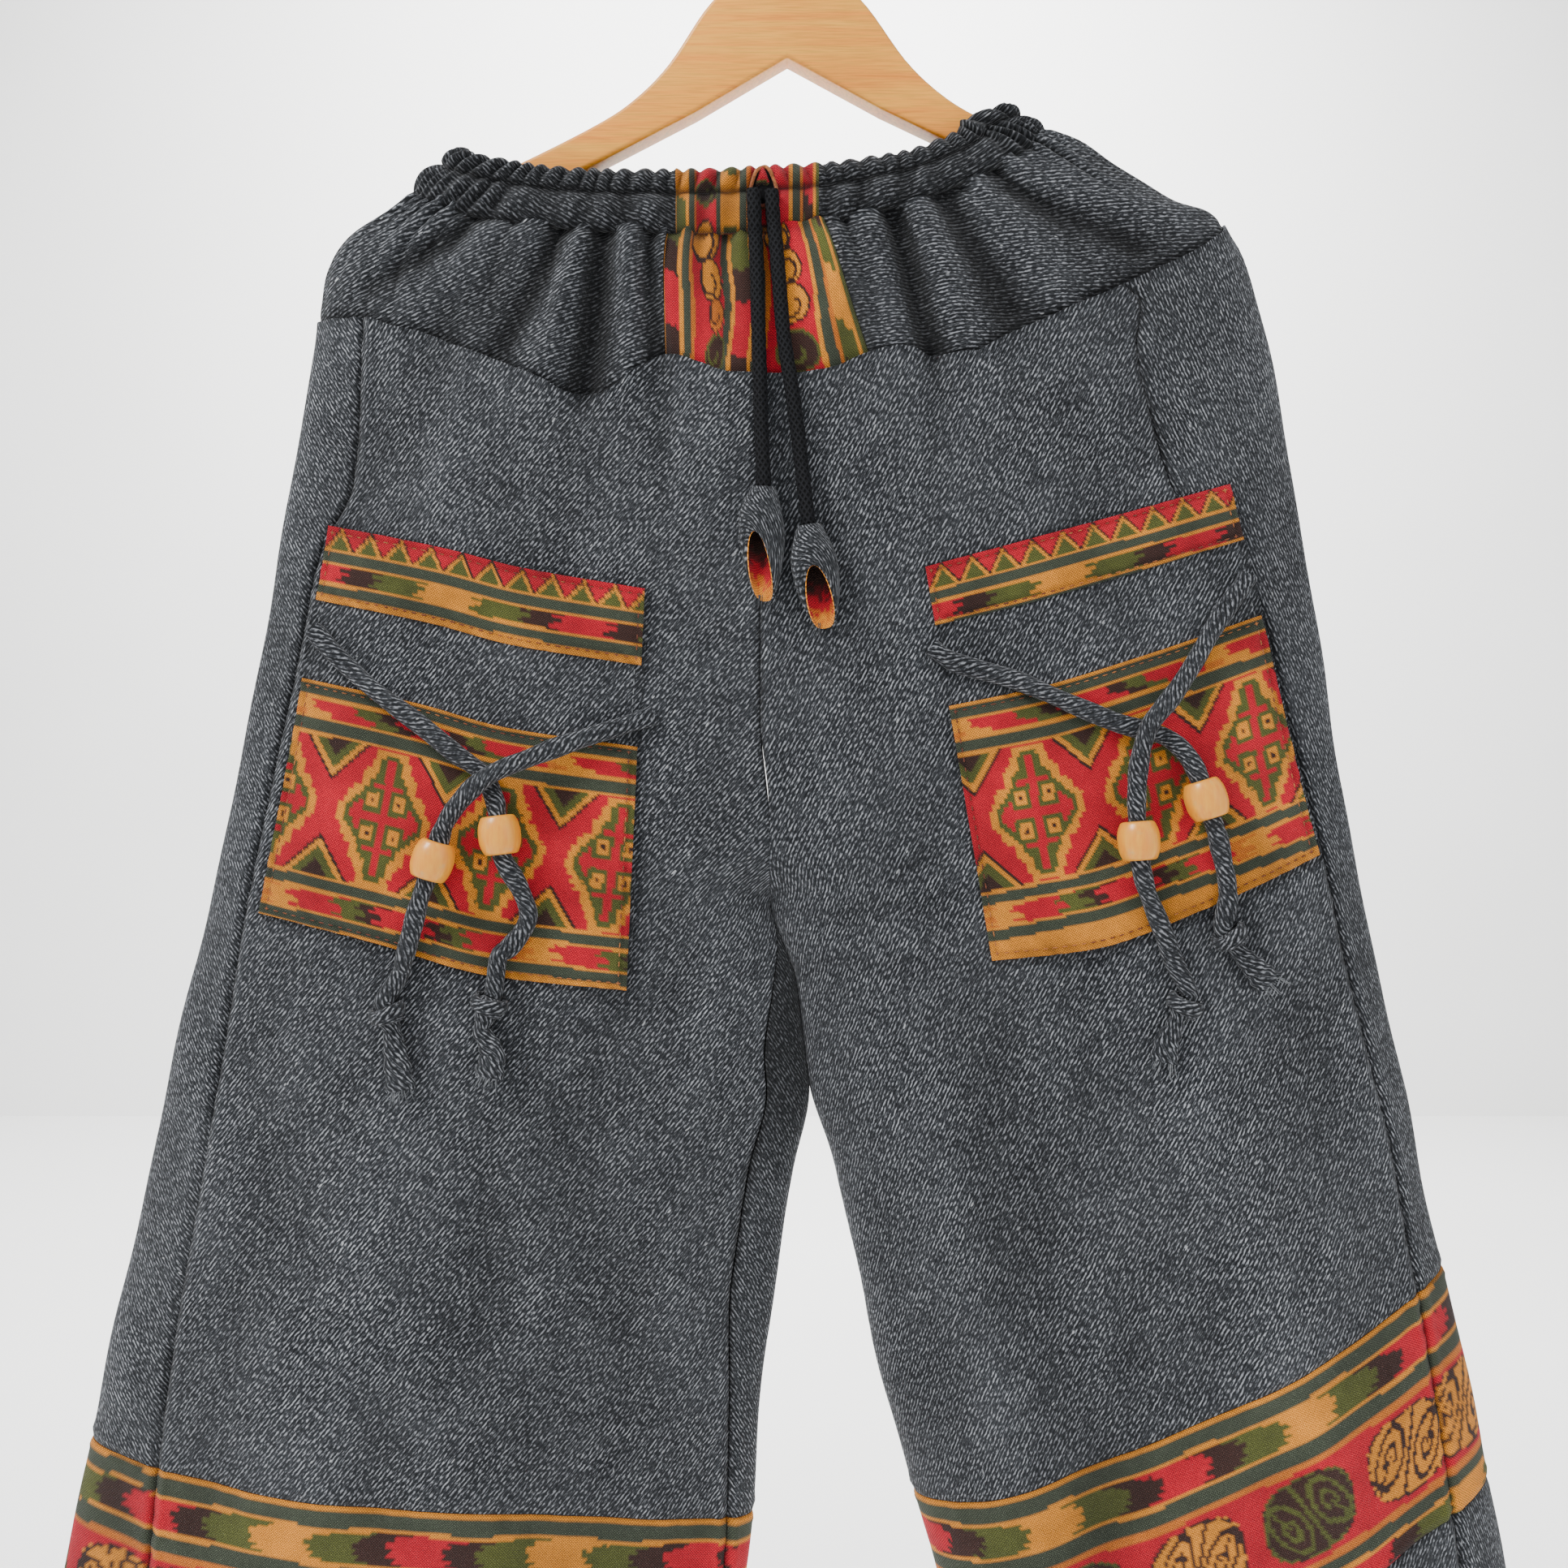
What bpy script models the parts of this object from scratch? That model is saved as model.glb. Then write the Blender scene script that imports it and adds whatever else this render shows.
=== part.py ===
# Wool trousers with a gathered drawstring waist, hanging on a wooden hanger.
# Metres, +Z up. The origin is the inner top of the hanger's hook, and the front faces -Y.
# Left and right are the viewer's. A place round a section is an angle in degrees:
# 90 is the centre front, 180 the outer side, 270 the centre back and 0 the inner leg.

import math

import bpy
import bmesh
import numpy as np
from mathutils import Vector
from mathutils.bvhtree import BVHTree

# Cloth
CLOTH = 0.0018
POCKET_CLOTH = 0.0013
SEAM_GAP = 0.0003
SIDES = ("left", "right")

# Heights
CROTCH_Z = -0.520
CROTCH_CURVE = 0.060
BORDER_HEIGHT = 0.112
LOWER_LEG = 0.233

# Cells of the panels
CENTRE_CELLS = 4
FRONT_CELLS = 15
BACK_CELLS = 16
YOKE_ROWS = 6
HIP_ROWS = 4
FORK_ROWS = 4
LEG_ROWS = (0.0, 0.06, 0.14, 0.30, 0.52, 0.76, 1.0)
BORDER_ROWS = 2
LOWER_ROWS = 2

# Outline seen from the front: z, left edge, right edge
OUTLINE = (
    (-0.1200, -0.1200, 0.0880),
    (-0.1300, -0.1320, 0.1040),
    (-0.1400, -0.1430, 0.1210),
    (-0.1458, -0.1490, 0.1300),
    (-0.1534, -0.1580, 0.1516),
    (-0.1620, -0.1710, 0.1670),
    (-0.1700, -0.1797, 0.1805),
    (-0.1780, -0.1886, 0.1950),
    (-0.1840, -0.1970, 0.2098),
    (-0.1900, -0.2055, 0.2155),
    (-0.1980, -0.2150, 0.2220),
    (-0.2060, -0.2215, 0.2267),
    (-0.2160, -0.2260, 0.2300),
    (-0.2300, -0.2280, 0.2330),
    (-0.2600, -0.2325, 0.2392),
    (-0.3200, -0.2423, 0.2520),
    (-0.4000, -0.2590, 0.2641),
    (-0.4800, -0.2739, 0.2775),
    (-0.5600, -0.2920, 0.2943),
    (-0.6500, -0.3115, 0.3135),
    (-0.7600, -0.3348, 0.3375),
    (-0.8480, -0.3544, 0.3548),
    (-1.0000, -0.3860, 0.3860),
    (-1.1800, -0.4220, 0.4180),
)

# Centre seam down to the crotch, and each leg's inner edge below it: z, left leg, right leg
INNER_EDGE = (
    (-0.1200, -0.0100, -0.0100),
    (-0.3400, -0.0115, -0.0115),
    (-0.4300, -0.0115, -0.0115),
    (-0.4750, -0.0075, -0.0075),
    (-0.5200, -0.0070, -0.0070),
    (-0.5400, -0.0012, -0.0005),
    (-0.5600, 0.0056, 0.0064),
    (-0.6000, 0.0104, 0.0115),
    (-0.6500, 0.0048, 0.0246),
    (-0.7000, -0.0026, 0.0368),
    (-0.7600, -0.0108, 0.0489),
    (-0.8480, -0.0192, 0.0752),
    (-1.0000, -0.0340, 0.1130),
    (-1.1800, -0.0500, 0.1550),
)

# Section from front to back: z, depth of the left half, depth of the right half, squareness (2 is an oval)
SECTION = (
    (-0.1200, 0.0370, 0.0370, 10.0),
    (-0.1700, 0.0370, 0.0370, 10.0),
    (-0.2000, 0.0400, 0.0400, 9.0),
    (-0.2500, 0.0430, 0.0430, 7.0),
    (-0.3200, 0.0440, 0.0440, 5.0),
    (-0.5200, 0.0460, 0.0460, 4.0),
    (-0.6500, 0.0500, 0.0520, 3.5),
    (-0.7600, 0.0530, 0.0620, 3.0),
    (-0.8480, 0.0560, 0.0700, 3.0),
    (-1.1800, 0.0600, 0.0820, 3.0),
)

# Side seams, as the front view's x: z, left, right
SIDE_SEAM = (
    (-0.1900, -0.1960, 0.1500),
    (-0.2160, -0.2005, 0.1563),
    (-0.2320, -0.2022, 0.1720),
    (-0.2500, -0.2040, 0.1700),
    (-0.2900, -0.2060, 0.1780),
    (-0.3200, -0.2095, 0.1865),
    (-0.3400, -0.2200, 0.2030),
    (-0.3600, -0.2280, 0.2190),
    (-0.3850, -0.2325, 0.2335),
    (-0.4200, -0.2400, 0.2420),
    (-0.4800, -0.2517, 0.2576),
    (-0.5600, -0.2657, 0.2749),
    (-0.6500, -0.2792, 0.2950),
    (-0.7600, -0.2979, 0.3139),
    (-0.8480, -0.3060, 0.3243),
    (-1.0000, -0.3330, 0.3520),
    (-1.1800, -0.3650, 0.3820),
)

# Inseams, as places in degrees past the inner edge, towards the front: z, left, right
INSEAM = (
    (-0.5200, 0.0, 0.0),
    (-0.5400, 12.0, -3.0),
    (-0.5600, 23.0, -6.0),
    (-0.6000, 30.0, -10.0),
    (-0.7000, 30.0, -12.0),
    (-0.7600, 25.0, -12.0),
    (-0.8480, 20.0, -12.0),
    (-1.1800, 22.0, -14.0),
)

# Waist casing: place, z of its top on the left and right, z of its stitching on the left and right
CASING_EDGE = (
    (90.0, -0.1655, -0.1655, -0.1968, -0.1968),
    (98.0, -0.1670, -0.1640, -0.1978, -0.1935),
    (105.0, -0.1672, -0.1610, -0.1975, -0.1880),
    (112.0, -0.1672, -0.1574, -0.1970, -0.1825),
    (121.0, -0.1665, -0.1510, -0.1950, -0.1740),
    (129.0, -0.1650, -0.1458, -0.1925, -0.1662),
    (136.0, -0.1632, -0.1420, -0.1895, -0.1597),
    (151.0, -0.1590, -0.1368, -0.1815, -0.1500),
    (165.0, -0.1545, -0.1335, -0.1755, -0.1465),
    (180.0, -0.1510, -0.1318, -0.1714, -0.1452),
    (195.0, -0.1545, -0.1335, -0.1755, -0.1465),
    (209.0, -0.1590, -0.1368, -0.1815, -0.1500),
    (224.0, -0.1625, -0.1425, -0.1885, -0.1605),
    (231.0, -0.1640, -0.1465, -0.1910, -0.1660),
    (240.0, -0.1655, -0.1520, -0.1935, -0.1732),
    (250.0, -0.1668, -0.1580, -0.1953, -0.1811),
    (270.0, -0.1680, -0.1680, -0.1970, -0.1970),
)

# Yoke seam: place, z on the left, z on the right
YOKE_SEAM = (
    (90.0, -0.2660, -0.2665),
    (94.0, -0.2655, -0.2660),
    (98.0, -0.2605, -0.2630),
    (102.0, -0.2565, -0.2560),
    (106.0, -0.2655, -0.2535),
    (110.0, -0.2750, -0.2565),
    (114.0, -0.2750, -0.2560),
    (118.0, -0.2690, -0.2480),
    (124.0, -0.2610, -0.2390),
    (131.0, -0.2530, -0.2290),
    (138.0, -0.2460, -0.2200),
    (144.0, -0.2430, -0.2130),
    (150.0, -0.2385, -0.2070),
    (162.0, -0.2375, -0.1970),
    (180.0, -0.2365, -0.1890),
    (200.0, -0.2400, -0.2020),
    (235.0, -0.2500, -0.2360),
    (270.0, -0.2560, -0.2560),
)
CENTRE_EDGE_TOP = (103.0, 97.5)
CENTRE_EDGE_BOTTOM = (102.0, 102.0)

# Top of the woven border: front view's x, z
BORDER_TOP = {
    "left": ((-0.360, -0.778), (-0.300, -0.792), (-0.200, -0.807), (-0.080, -0.8145), (0.000, -0.822)),
    "right": ((0.050, -0.812), (0.094, -0.806), (0.152, -0.785), (0.200, -0.764), (0.267, -0.7325),
              (0.310, -0.706), (0.345, -0.689)),
}

# Large folds: face, x and z of the upper end, x and z of the lower end, width, rise (a dent is below zero)
FOLDS = (
    ("front", -0.1579, -0.1788, -0.2100, -0.2200, 0.009, 0.0035),
    ("front", -0.1423, -0.1893, -0.1980, -0.2230, 0.006, -0.0035),
    ("front", -0.1267, -0.1905, -0.1734, -0.2320, 0.009, 0.0035),
    ("front", -0.1073, -0.1983, -0.1326, -0.2507, 0.007, -0.0040),
    ("front", -0.0970, -0.2020, -0.1150, -0.2600, 0.006, 0.0040),
    ("front", -0.0870, -0.2000, -0.0950, -0.2733, 0.007, -0.0065),
    ("front", -0.0735, -0.2000, -0.0743, -0.2702, 0.006, 0.0045),
    ("front", -0.0640, -0.1990, -0.0610, -0.2600, 0.004, -0.0030),
    ("front", -0.0450, -0.2000, -0.0450, -0.2450, 0.006, 0.0022),
    ("front", -0.0270, -0.2000, -0.0250, -0.2500, 0.006, -0.0028),
    ("front", 0.0130, -0.1960, 0.0250, -0.2450, 0.007, 0.0022),
    ("front", 0.0420, -0.1900, 0.0540, -0.2520, 0.008, 0.0030),
    ("front", 0.0552, -0.1930, 0.0708, -0.2560, 0.006, -0.0065),
    ("front", 0.0657, -0.1850, 0.0851, -0.2450, 0.007, 0.0040),
    ("front", 0.0813, -0.1850, 0.1065, -0.2352, 0.008, -0.0040),
    ("front", 0.0930, -0.1800, 0.1299, -0.2236, 0.009, 0.0035),
    ("front", 0.1073, -0.1770, 0.1687, -0.2041, 0.007, -0.0035),
    ("front", 0.1143, -0.1680, 0.1880, -0.1900, 0.008, 0.0030),
    ("front", -0.1900, -0.5900, -0.2250, -0.8000, 0.030, 0.0030),
    ("front", -0.0750, -0.5900, -0.1050, -0.8300, 0.028, -0.0035),
    ("front", 0.0950, -0.5900, 0.1500, -0.8300, 0.028, -0.0035),
    ("front", 0.1900, -0.5800, 0.2450, -0.7800, 0.030, 0.0030),
    ("front", 0.1640, -0.2300, 0.1700, -0.3050, 0.010, -0.0025),
    ("back", -0.1600, -0.1900, -0.2050, -0.2500, 0.012, 0.0035),
    ("back", -0.1250, -0.1950, -0.1500, -0.2600, 0.011, -0.0040),
    ("back", -0.0900, -0.2000, -0.1050, -0.2700, 0.012, 0.0040),
    ("back", -0.0500, -0.2000, -0.0550, -0.2700, 0.012, -0.0040),
    ("back", 0.0250, -0.2000, 0.0300, -0.2700, 0.012, 0.0035),
    ("back", 0.0600, -0.1950, 0.0750, -0.2600, 0.012, -0.0040),
    ("back", 0.0950, -0.1850, 0.1250, -0.2500, 0.012, 0.0040),
    ("back", 0.1250, -0.1750, 0.1750, -0.2300, 0.012, -0.0035),
    ("back", -0.1700, -0.5600, -0.2100, -0.9500, 0.030, 0.0040),
    ("back", -0.0800, -0.5800, -0.1100, -0.9500, 0.028, -0.0040),
    ("back", 0.1100, -0.5800, 0.1800, -0.9500, 0.028, -0.0040),
    ("back", 0.2000, -0.5600, 0.2700, -0.9000, 0.030, 0.0040),
)

# Waist casing: share of its height up from the stitching, distance out, share of the gathers
CASING_FRONT = ((0.00, 0.0000, 0.0), (0.30, 0.0022, 1.0), (0.64, 0.0004, 0.5), (0.86, 0.0020, 1.0), (1.00, -0.0012, 1.0))
CASING_INSIDE = ((0.93, -0.0036, 0.0), (0.00, -0.0032, 0.0))
GATHERS = {"front": 11, "centre": 4, "back": 15}
GATHER_RISE = 0.0013
# The casing is upright this many degrees from the side, and comes to lean with the shoulder within the second
UPRIGHT_BEYOND = 70.0
LEAN_BLEND = 30.0
COLUMNS_A_GATHER = 4

# Pockets: each edge as x, z points seen from the front, and the heights of the border pieces
POCKETS = {
    "left": {
        "top": ((-0.2205, -0.3371), (-0.1606, -0.3495), (-0.1259, -0.3584), (-0.0649, -0.3688)),
        "bottom": ((-0.2533, -0.5255), (-0.1954, -0.5398), (-0.1413, -0.5553), (-0.0737, -0.5630)),
        "band": (0.006, 0.195),
        "patch": (0.395, 0.994),
    },
    "right": {
        "top": ((0.0664, -0.3584), (0.1050, -0.3480), (0.1600, -0.3330), (0.2158, -0.3171)),
        "bottom": ((0.0988, -0.5514), (0.1483, -0.5456), (0.2000, -0.5270), (0.2602, -0.5001)),
        "band": (0.006, 0.152),
        "patch": (0.350, 0.980),
    },
}
POCKET_COLUMNS = 8
POCKET_INSET = 0.008
POCKET_BAND_ROWS = 2
POCKET_PATCH_ROWS = 4
FAR_FRONT = 0.5

CONTACT_DIRECTIONS = 12

# Ties: x, z and how far the tie rises off what it lies on, from the fixed end
TIE_RADIUS = 0.0037
BEAD_RADIUS = 0.0100
IN_BEAD = BEAD_RADIUS - TIE_RADIUS
TIE_ROUTES = {
    "left_outer": ((-0.2256, -0.3890, 0.0), (-0.2160, -0.3996, 0.0), (-0.1969, -0.4168, 0.0), (-0.1740, -0.4340, 0.0),
                   (-0.1550, -0.4493, 0.0), (-0.1430, -0.4580, 0.0), (-0.1367, -0.4700, 0.0035),
                   (-0.1348, -0.4775, IN_BEAD), (-0.1326, -0.4965, IN_BEAD), (-0.1265, -0.5090, 0.0020),
                   (-0.1210, -0.5250, 0.0), (-0.1270, -0.5370, 0.0), (-0.1350, -0.5450, 0.0015)),
    "left_inner": ((-0.0615, -0.4302, 0.0), (-0.0786, -0.4359, 0.0), (-0.1015, -0.4435, 0.0), (-0.1206, -0.4512, 0.0062),
                   (-0.1378, -0.4588, 0.0108), (-0.1500, -0.4690, 0.0084), (-0.1585, -0.4800, 0.0062),
                   (-0.1622, -0.4895, IN_BEAD), (-0.1680, -0.5083, IN_BEAD), (-0.1735, -0.5230, 0.0014),
                   (-0.1779, -0.5390, 0.0), (-0.1820, -0.5530, 0.0)),
    "right_inner": ((0.0702, -0.3977, 0.0), (0.0817, -0.4054, 0.0), (0.1084, -0.4130, 0.0004), (0.1351, -0.4245, 0.0004),
                    (0.1600, -0.4345, 0.0), (0.1800, -0.4400, 0.0), (0.1905, -0.4490, 0.0030),
                    (0.1962, -0.4610, IN_BEAD), (0.2018, -0.4795, IN_BEAD), (0.2065, -0.4930, 0.0014),
                    (0.2100, -0.5080, 0.0), (0.2105, -0.5190, 0.0)),
    "right_outer": ((0.2229, -0.3634, 0.0), (0.2076, -0.3844, 0.0), (0.1962, -0.4035, 0.0), (0.1830, -0.4220, 0.0048),
                    (0.1725, -0.4345, 0.0086), (0.1680, -0.4490, 0.0062), (0.1664, -0.4650, 0.0056),
                    (0.1661, -0.4800, IN_BEAD), (0.1675, -0.4995, IN_BEAD), (0.1710, -0.5120, 0.0014),
                    (0.1775, -0.5280, 0.0), (0.1855, -0.5480, 0.0)),
}
TIE_ENDS = {
    "left_outer": ((-0.1397, -0.5676), (-0.1435, -0.5790), (-0.1378, -0.5905), (-0.1397, -0.6019)),
    "left_inner": ((-0.1874, -0.5714), (-0.1850, -0.5800), (-0.1836, -0.5900), (-0.1809, -0.6077)),
    "right_inner": ((0.2115, -0.5355), (0.2160, -0.5430), (0.2230, -0.5500), (0.2305, -0.5580)),
    "right_outer": ((0.1893, -0.5676), (0.1850, -0.5760), (0.1809, -0.5850), (0.1790, -0.5943)),
}
TIE_STRAIGHT = 0.0035
KNOT_TOP = -0.30
KNOT_HALF_DEPTH = 0.0060
BEAD_HALF_HEIGHT = 0.0092
BEAD_BORE = 0.0052
BEAD_STEPS = 14

# Knot and flat tail: share along its spots, half width, half depth
TIE_END_SECTIONS = ((KNOT_TOP, 0.0042, 0.0040), (-0.10, 0.0074, 0.0060), (0.12, 0.0078, 0.0060), (0.34, 0.0060, 0.0050),
                    (0.80, 0.0040, 0.0034), (1.60, 0.0052, 0.0030), (2.40, 0.0064, 0.0028), (3.00, 0.0072, 0.0022))

# Drawstrings: x, z and how far the cord rises off what it lies on, from the slit
DRAWSTRING_RADIUS = 0.0035
CORD_BEFORE_LEAF = 0.005
CORD_IN_LEAF = 0.004
DRAWSTRINGS = {
    "left": ((-0.0145, -0.1800, 0.0005), (-0.0140, -0.1950, 0.0005), (-0.0132, -0.2100, 0.0005),
             (-0.0122, -0.2470, 0.0001), (-0.0115, -0.2700, 0.0001), (-0.0108, -0.2950, 0.0005),
             (-0.0102, -0.3080, 0.0030)),
    "right": ((-0.0060, -0.1800, 0.0005), (-0.0050, -0.1950, 0.0005), (-0.0034, -0.2100, 0.0005),
              (-0.0004, -0.2470, 0.0001), (0.0030, -0.2700, 0.0001), (0.0065, -0.2950, 0.0001),
              (0.0085, -0.3130, 0.0005), (0.0102, -0.3270, 0.0030)),
}

# Cloth leaf on a drawstring: share down its length, half width, half depth
LEAF_SECTIONS = ((0.00, 0.0058, 0.0054), (0.22, 0.0090, 0.0064), (0.50, 0.0112, 0.0075),
                 (0.78, 0.0102, 0.0070), (1.00, 0.0072, 0.0055))
LEAF_LIFT = 0.0071
LEAVES = {
    "left": ((-0.0097, -0.3225), (-0.0115, -0.3760)),
    "right": ((0.0118, -0.3405), (0.0190, -0.3890)),
}
LEAF_WALL = 0.0014

# Hanger, before it tips: upper edge from the middle out, lower edge from the end in
HANGER_TIP = math.radians(1.0)
HOOK_INNER_RADIUS = 0.018
HOOK_WIRE = 0.0018
HANGER_THICKNESS = 0.0152
HANGER_UPPER = ((0.0000, -0.0660), (0.0150, -0.0668), (0.0270, -0.0715), (0.0400, -0.0840), (0.0580, -0.1100),
                (0.0750, -0.1268), (0.0940, -0.1390), (0.1300, -0.1565), (0.1550, -0.1670), (0.1800, -0.1791),
                (0.1960, -0.1910))
HANGER_END = ((0.2030, -0.1970), (0.2045, -0.2035), (0.1990, -0.2085))
HANGER_LOWER = ((0.1900, -0.2065), (0.1600, -0.1900), (0.0948, -0.1583), (0.0452, -0.1337), (0.0000, -0.1080))


def clear_scene():
    for thing in list(bpy.data.objects):
        bpy.data.objects.remove(thing, do_unlink=True)


def cloth_material(name, colour, roughness, metallic=0.0):
    material = bpy.data.materials.new(name)
    material.use_nodes = True
    shader = material.node_tree.nodes["Principled BSDF"]
    shader.inputs["Base Color"].default_value = (*colour, 1.0)
    shader.inputs["Roughness"].default_value = roughness
    shader.inputs["Metallic"].default_value = metallic
    return material


def add_mesh(name, verts, faces, material, collection, smooth_angle=60.0):
    shape = bmesh.new()
    corners = [shape.verts.new(tuple(map(float, v))) for v in verts]
    for face in faces:
        shape.faces.new([corners[i] for i in face])
    bmesh.ops.recalc_face_normals(shape, faces=shape.faces)
    mesh = bpy.data.meshes.new(name)
    shape.to_mesh(mesh)
    shape.free()
    mesh.shade_smooth()
    mesh.set_sharp_from_angle(angle=math.radians(smooth_angle))
    mesh.materials.append(material)
    piece = bpy.data.objects.new(name, mesh)
    collection.objects.link(piece)
    return piece


def smooth_value(places, values, at):
    # A cubic through the values that never swings past them.
    places = np.asarray(places, float)
    values = np.asarray(values, float)
    at = np.clip(np.asarray(at, float), places[0], places[-1])
    steps = np.diff(places)
    rises = np.diff(values) / steps
    slopes = np.empty_like(values)
    slopes[0] = rises[0]
    slopes[-1] = rises[-1]
    both = rises[:-1] * rises[1:]
    weights = steps[:-1] + steps[1:]
    harmonic = rises[:-1] * (steps[:-1] + 2 * steps[1:]) + rises[1:] * (2 * steps[:-1] + steps[1:])
    slopes[1:-1] = np.where(both > 0, 3 * weights * both / np.where(both > 0, harmonic, 1.0), 0.0)
    cell = np.clip(np.searchsorted(places, at, side="right") - 1, 0, len(steps) - 1)
    share = (at - places[cell]) / steps[cell]
    return (values[cell] * (1 + 2 * share) * (1 - share) ** 2
            + slopes[cell] * steps[cell] * share * (1 - share) ** 2
            + values[cell + 1] * share ** 2 * (3 - 2 * share)
            + slopes[cell + 1] * steps[cell] * share ** 2 * (share - 1))


def read_table(table, column, at):
    rows = sorted(table)
    return smooth_value([row[0] for row in rows], [row[column] for row in rows], at)


def side_column(side, left_column=1):
    return left_column + SIDES.index(side)


def outer_x(side, z):
    return read_table(OUTLINE, side_column(side), z)


def inner_x(side, z):
    shift = -SEAM_GAP / 2 if side == "left" else SEAM_GAP / 2
    return read_table(INNER_EDGE, side_column(side), z) + shift


def section_opening(z):
    # The place where the centre seam lies: 90 degrees on the hips, 0 at and under the crotch.
    share = np.clip((np.asarray(z, float) - CROTCH_Z) / CROTCH_CURVE, 0.0, 1.0)
    return np.radians(90.0) * np.sin(np.radians(90.0) * share)


def fold_relief(face, x, z):
    rise = np.zeros(np.broadcast(x, z).shape)
    for row_face, x0, z0, x1, z1, width, height in FOLDS:
        if row_face != face:
            continue
        along = np.array((x1 - x0, z1 - z0))
        length = np.hypot(*along)
        along = along / length
        share = ((x - x0) * along[0] + (z - z0) * along[1]) / length
        across = (x - x0) * -along[1] + (z - z0) * along[0]
        beyond = np.maximum(np.maximum(-share, share - 1.0), 0.0) * length
        rise = rise + height * np.exp(-(across / width) ** 2 - (beyond / (1.5 * width)) ** 2)
    return rise


def body_point(side, place, z, folded=True):
    # Outer surface of the cloth at a place in radians and a height.
    outer = outer_x(side, z)
    across = (1 + np.cos(place)) / (1 + np.cos(section_opening(z)))
    x = outer + (inner_x(side, z) - outer) * across
    half_depth = read_table(SECTION, side_column(side), z) / 2
    square = read_table(SECTION, 3, z)
    bulge = np.sign(np.sin(place)) * np.sqrt(1 - np.abs(np.cos(place)) ** square)
    y = -half_depth * bulge
    if folded:
        y = y - np.abs(np.sin(place)) * np.where(
            np.sin(place) > 0, fold_relief("front", x, z), -fold_relief("back", x, z))
    return np.stack(np.broadcast_arrays(x, y, z), axis=-1)


def body_normal(side, place, z, folded=True):
    turn = 0.004
    rise = 0.0008
    round_step = body_point(side, place + turn, z, folded) - body_point(side, place - turn, z, folded)
    up_step = body_point(side, place, z + rise, folded) - body_point(side, place, z - rise, folded)
    normal = np.cross(round_step, up_step)
    normal /= np.linalg.norm(normal, axis=-1, keepdims=True)
    # The left half runs round clockwise seen from above, the right half the other way.
    return -normal if side == "left" else normal


def place_at(side, x, z):
    # The front place that the front view shows at x and z, in radians.
    outer = outer_x(side, z)
    share = (x - outer) / (inner_x(side, z) - outer)
    return np.arccos(np.clip(share * (1 + np.cos(section_opening(z))) - 1, -1.0, 1.0))


def wall(name, outer, inner, material, collection):
    # A closed wall between two grids of points, with its four rims.
    rows, columns, _ = outer.shape
    count = rows * columns
    verts = list(outer.reshape(-1, 3)) + list(inner.reshape(-1, 3))
    faces = []
    for i in range(rows - 1):
        for j in range(columns - 1):
            a = i * columns + j
            for corner in ((a, a + 1, a + columns), (a + 1, a + columns + 1, a + columns)):
                faces.append(corner)
                faces.append(tuple(count + k for k in reversed(corner)))
    rim = [j for j in range(columns)]
    rim += [i * columns + columns - 1 for i in range(1, rows)]
    rim += [(rows - 1) * columns + j for j in range(columns - 2, -1, -1)]
    rim += [i * columns for i in range(rows - 2, 0, -1)]
    for a, b in zip(rim, rim[1:] + rim[:1]):
        low, high = min(a, b), max(a, b)
        faces.append((b, a, count + low))
        faces.append((count + a, count + b, high))
    return add_mesh(name, verts, faces, material, collection)


def loft(name, rings, material, collection, closed=False):
    # Skin over rings of equal count, with end caps, or joined last to first.
    size = len(rings[0])
    verts = [point for ring in rings for point in ring]
    spans = len(rings) if closed else len(rings) - 1
    faces = []
    for i in range(spans):
        start = i * size
        following = (i + 1) % len(rings) * size
        for j in range(size):
            k = (j + 1) % size
            faces.append((start + j, start + k, following + k, following + j))
    if not closed:
        faces.append(tuple(reversed(range(size))))
        faces.append(tuple(range(len(verts) - size, len(verts))))
    return add_mesh(name, verts, faces, material, collection)


def panel_wall(name, side, places, heights, material, collection, thickness=CLOTH):
    # The cloth's thickness lies across the unfolded surface, so that neighbours meet squarely.
    outer = body_point(side, places, heights)
    inner = outer - body_normal(side, places, heights, False) * thickness
    return wall(name, outer, inner, material, collection)


def side_place(side, z):
    seam_x = read_table(SIDE_SEAM, side_column(side), z)
    return place_at(side, seam_x, z)


def seam_step(side, z):
    # Half the seam gap as an angle at the inner leg, where the wall turns fastest.
    return SEAM_GAP / read_table(SECTION, side_column(side), z)


def front_limit(side, z):
    opening = section_opening(z)
    inseam = np.radians(read_table(INSEAM, side_column(side), z)) + seam_step(side, z)
    return np.where(z > CROTCH_Z, np.maximum(opening, seam_step(side, z)), inseam)


def back_limit(side, z):
    opening = section_opening(z)
    inseam = np.radians(read_table(INSEAM, side_column(side), z)) - seam_step(side, z)
    return 2 * math.pi + np.where(z > CROTCH_Z, -np.maximum(opening, seam_step(side, z)), inseam)


def side_gap(side, z):
    # Half the seam gap as an angle at the side seam.
    here = side_place(side, z)
    step = 0.001
    reach = body_point(side, here + step, z, False) - body_point(side, here - step, z, False)
    return SEAM_GAP / 2 * 2 * step / np.linalg.norm(reach, axis=-1)


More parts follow.
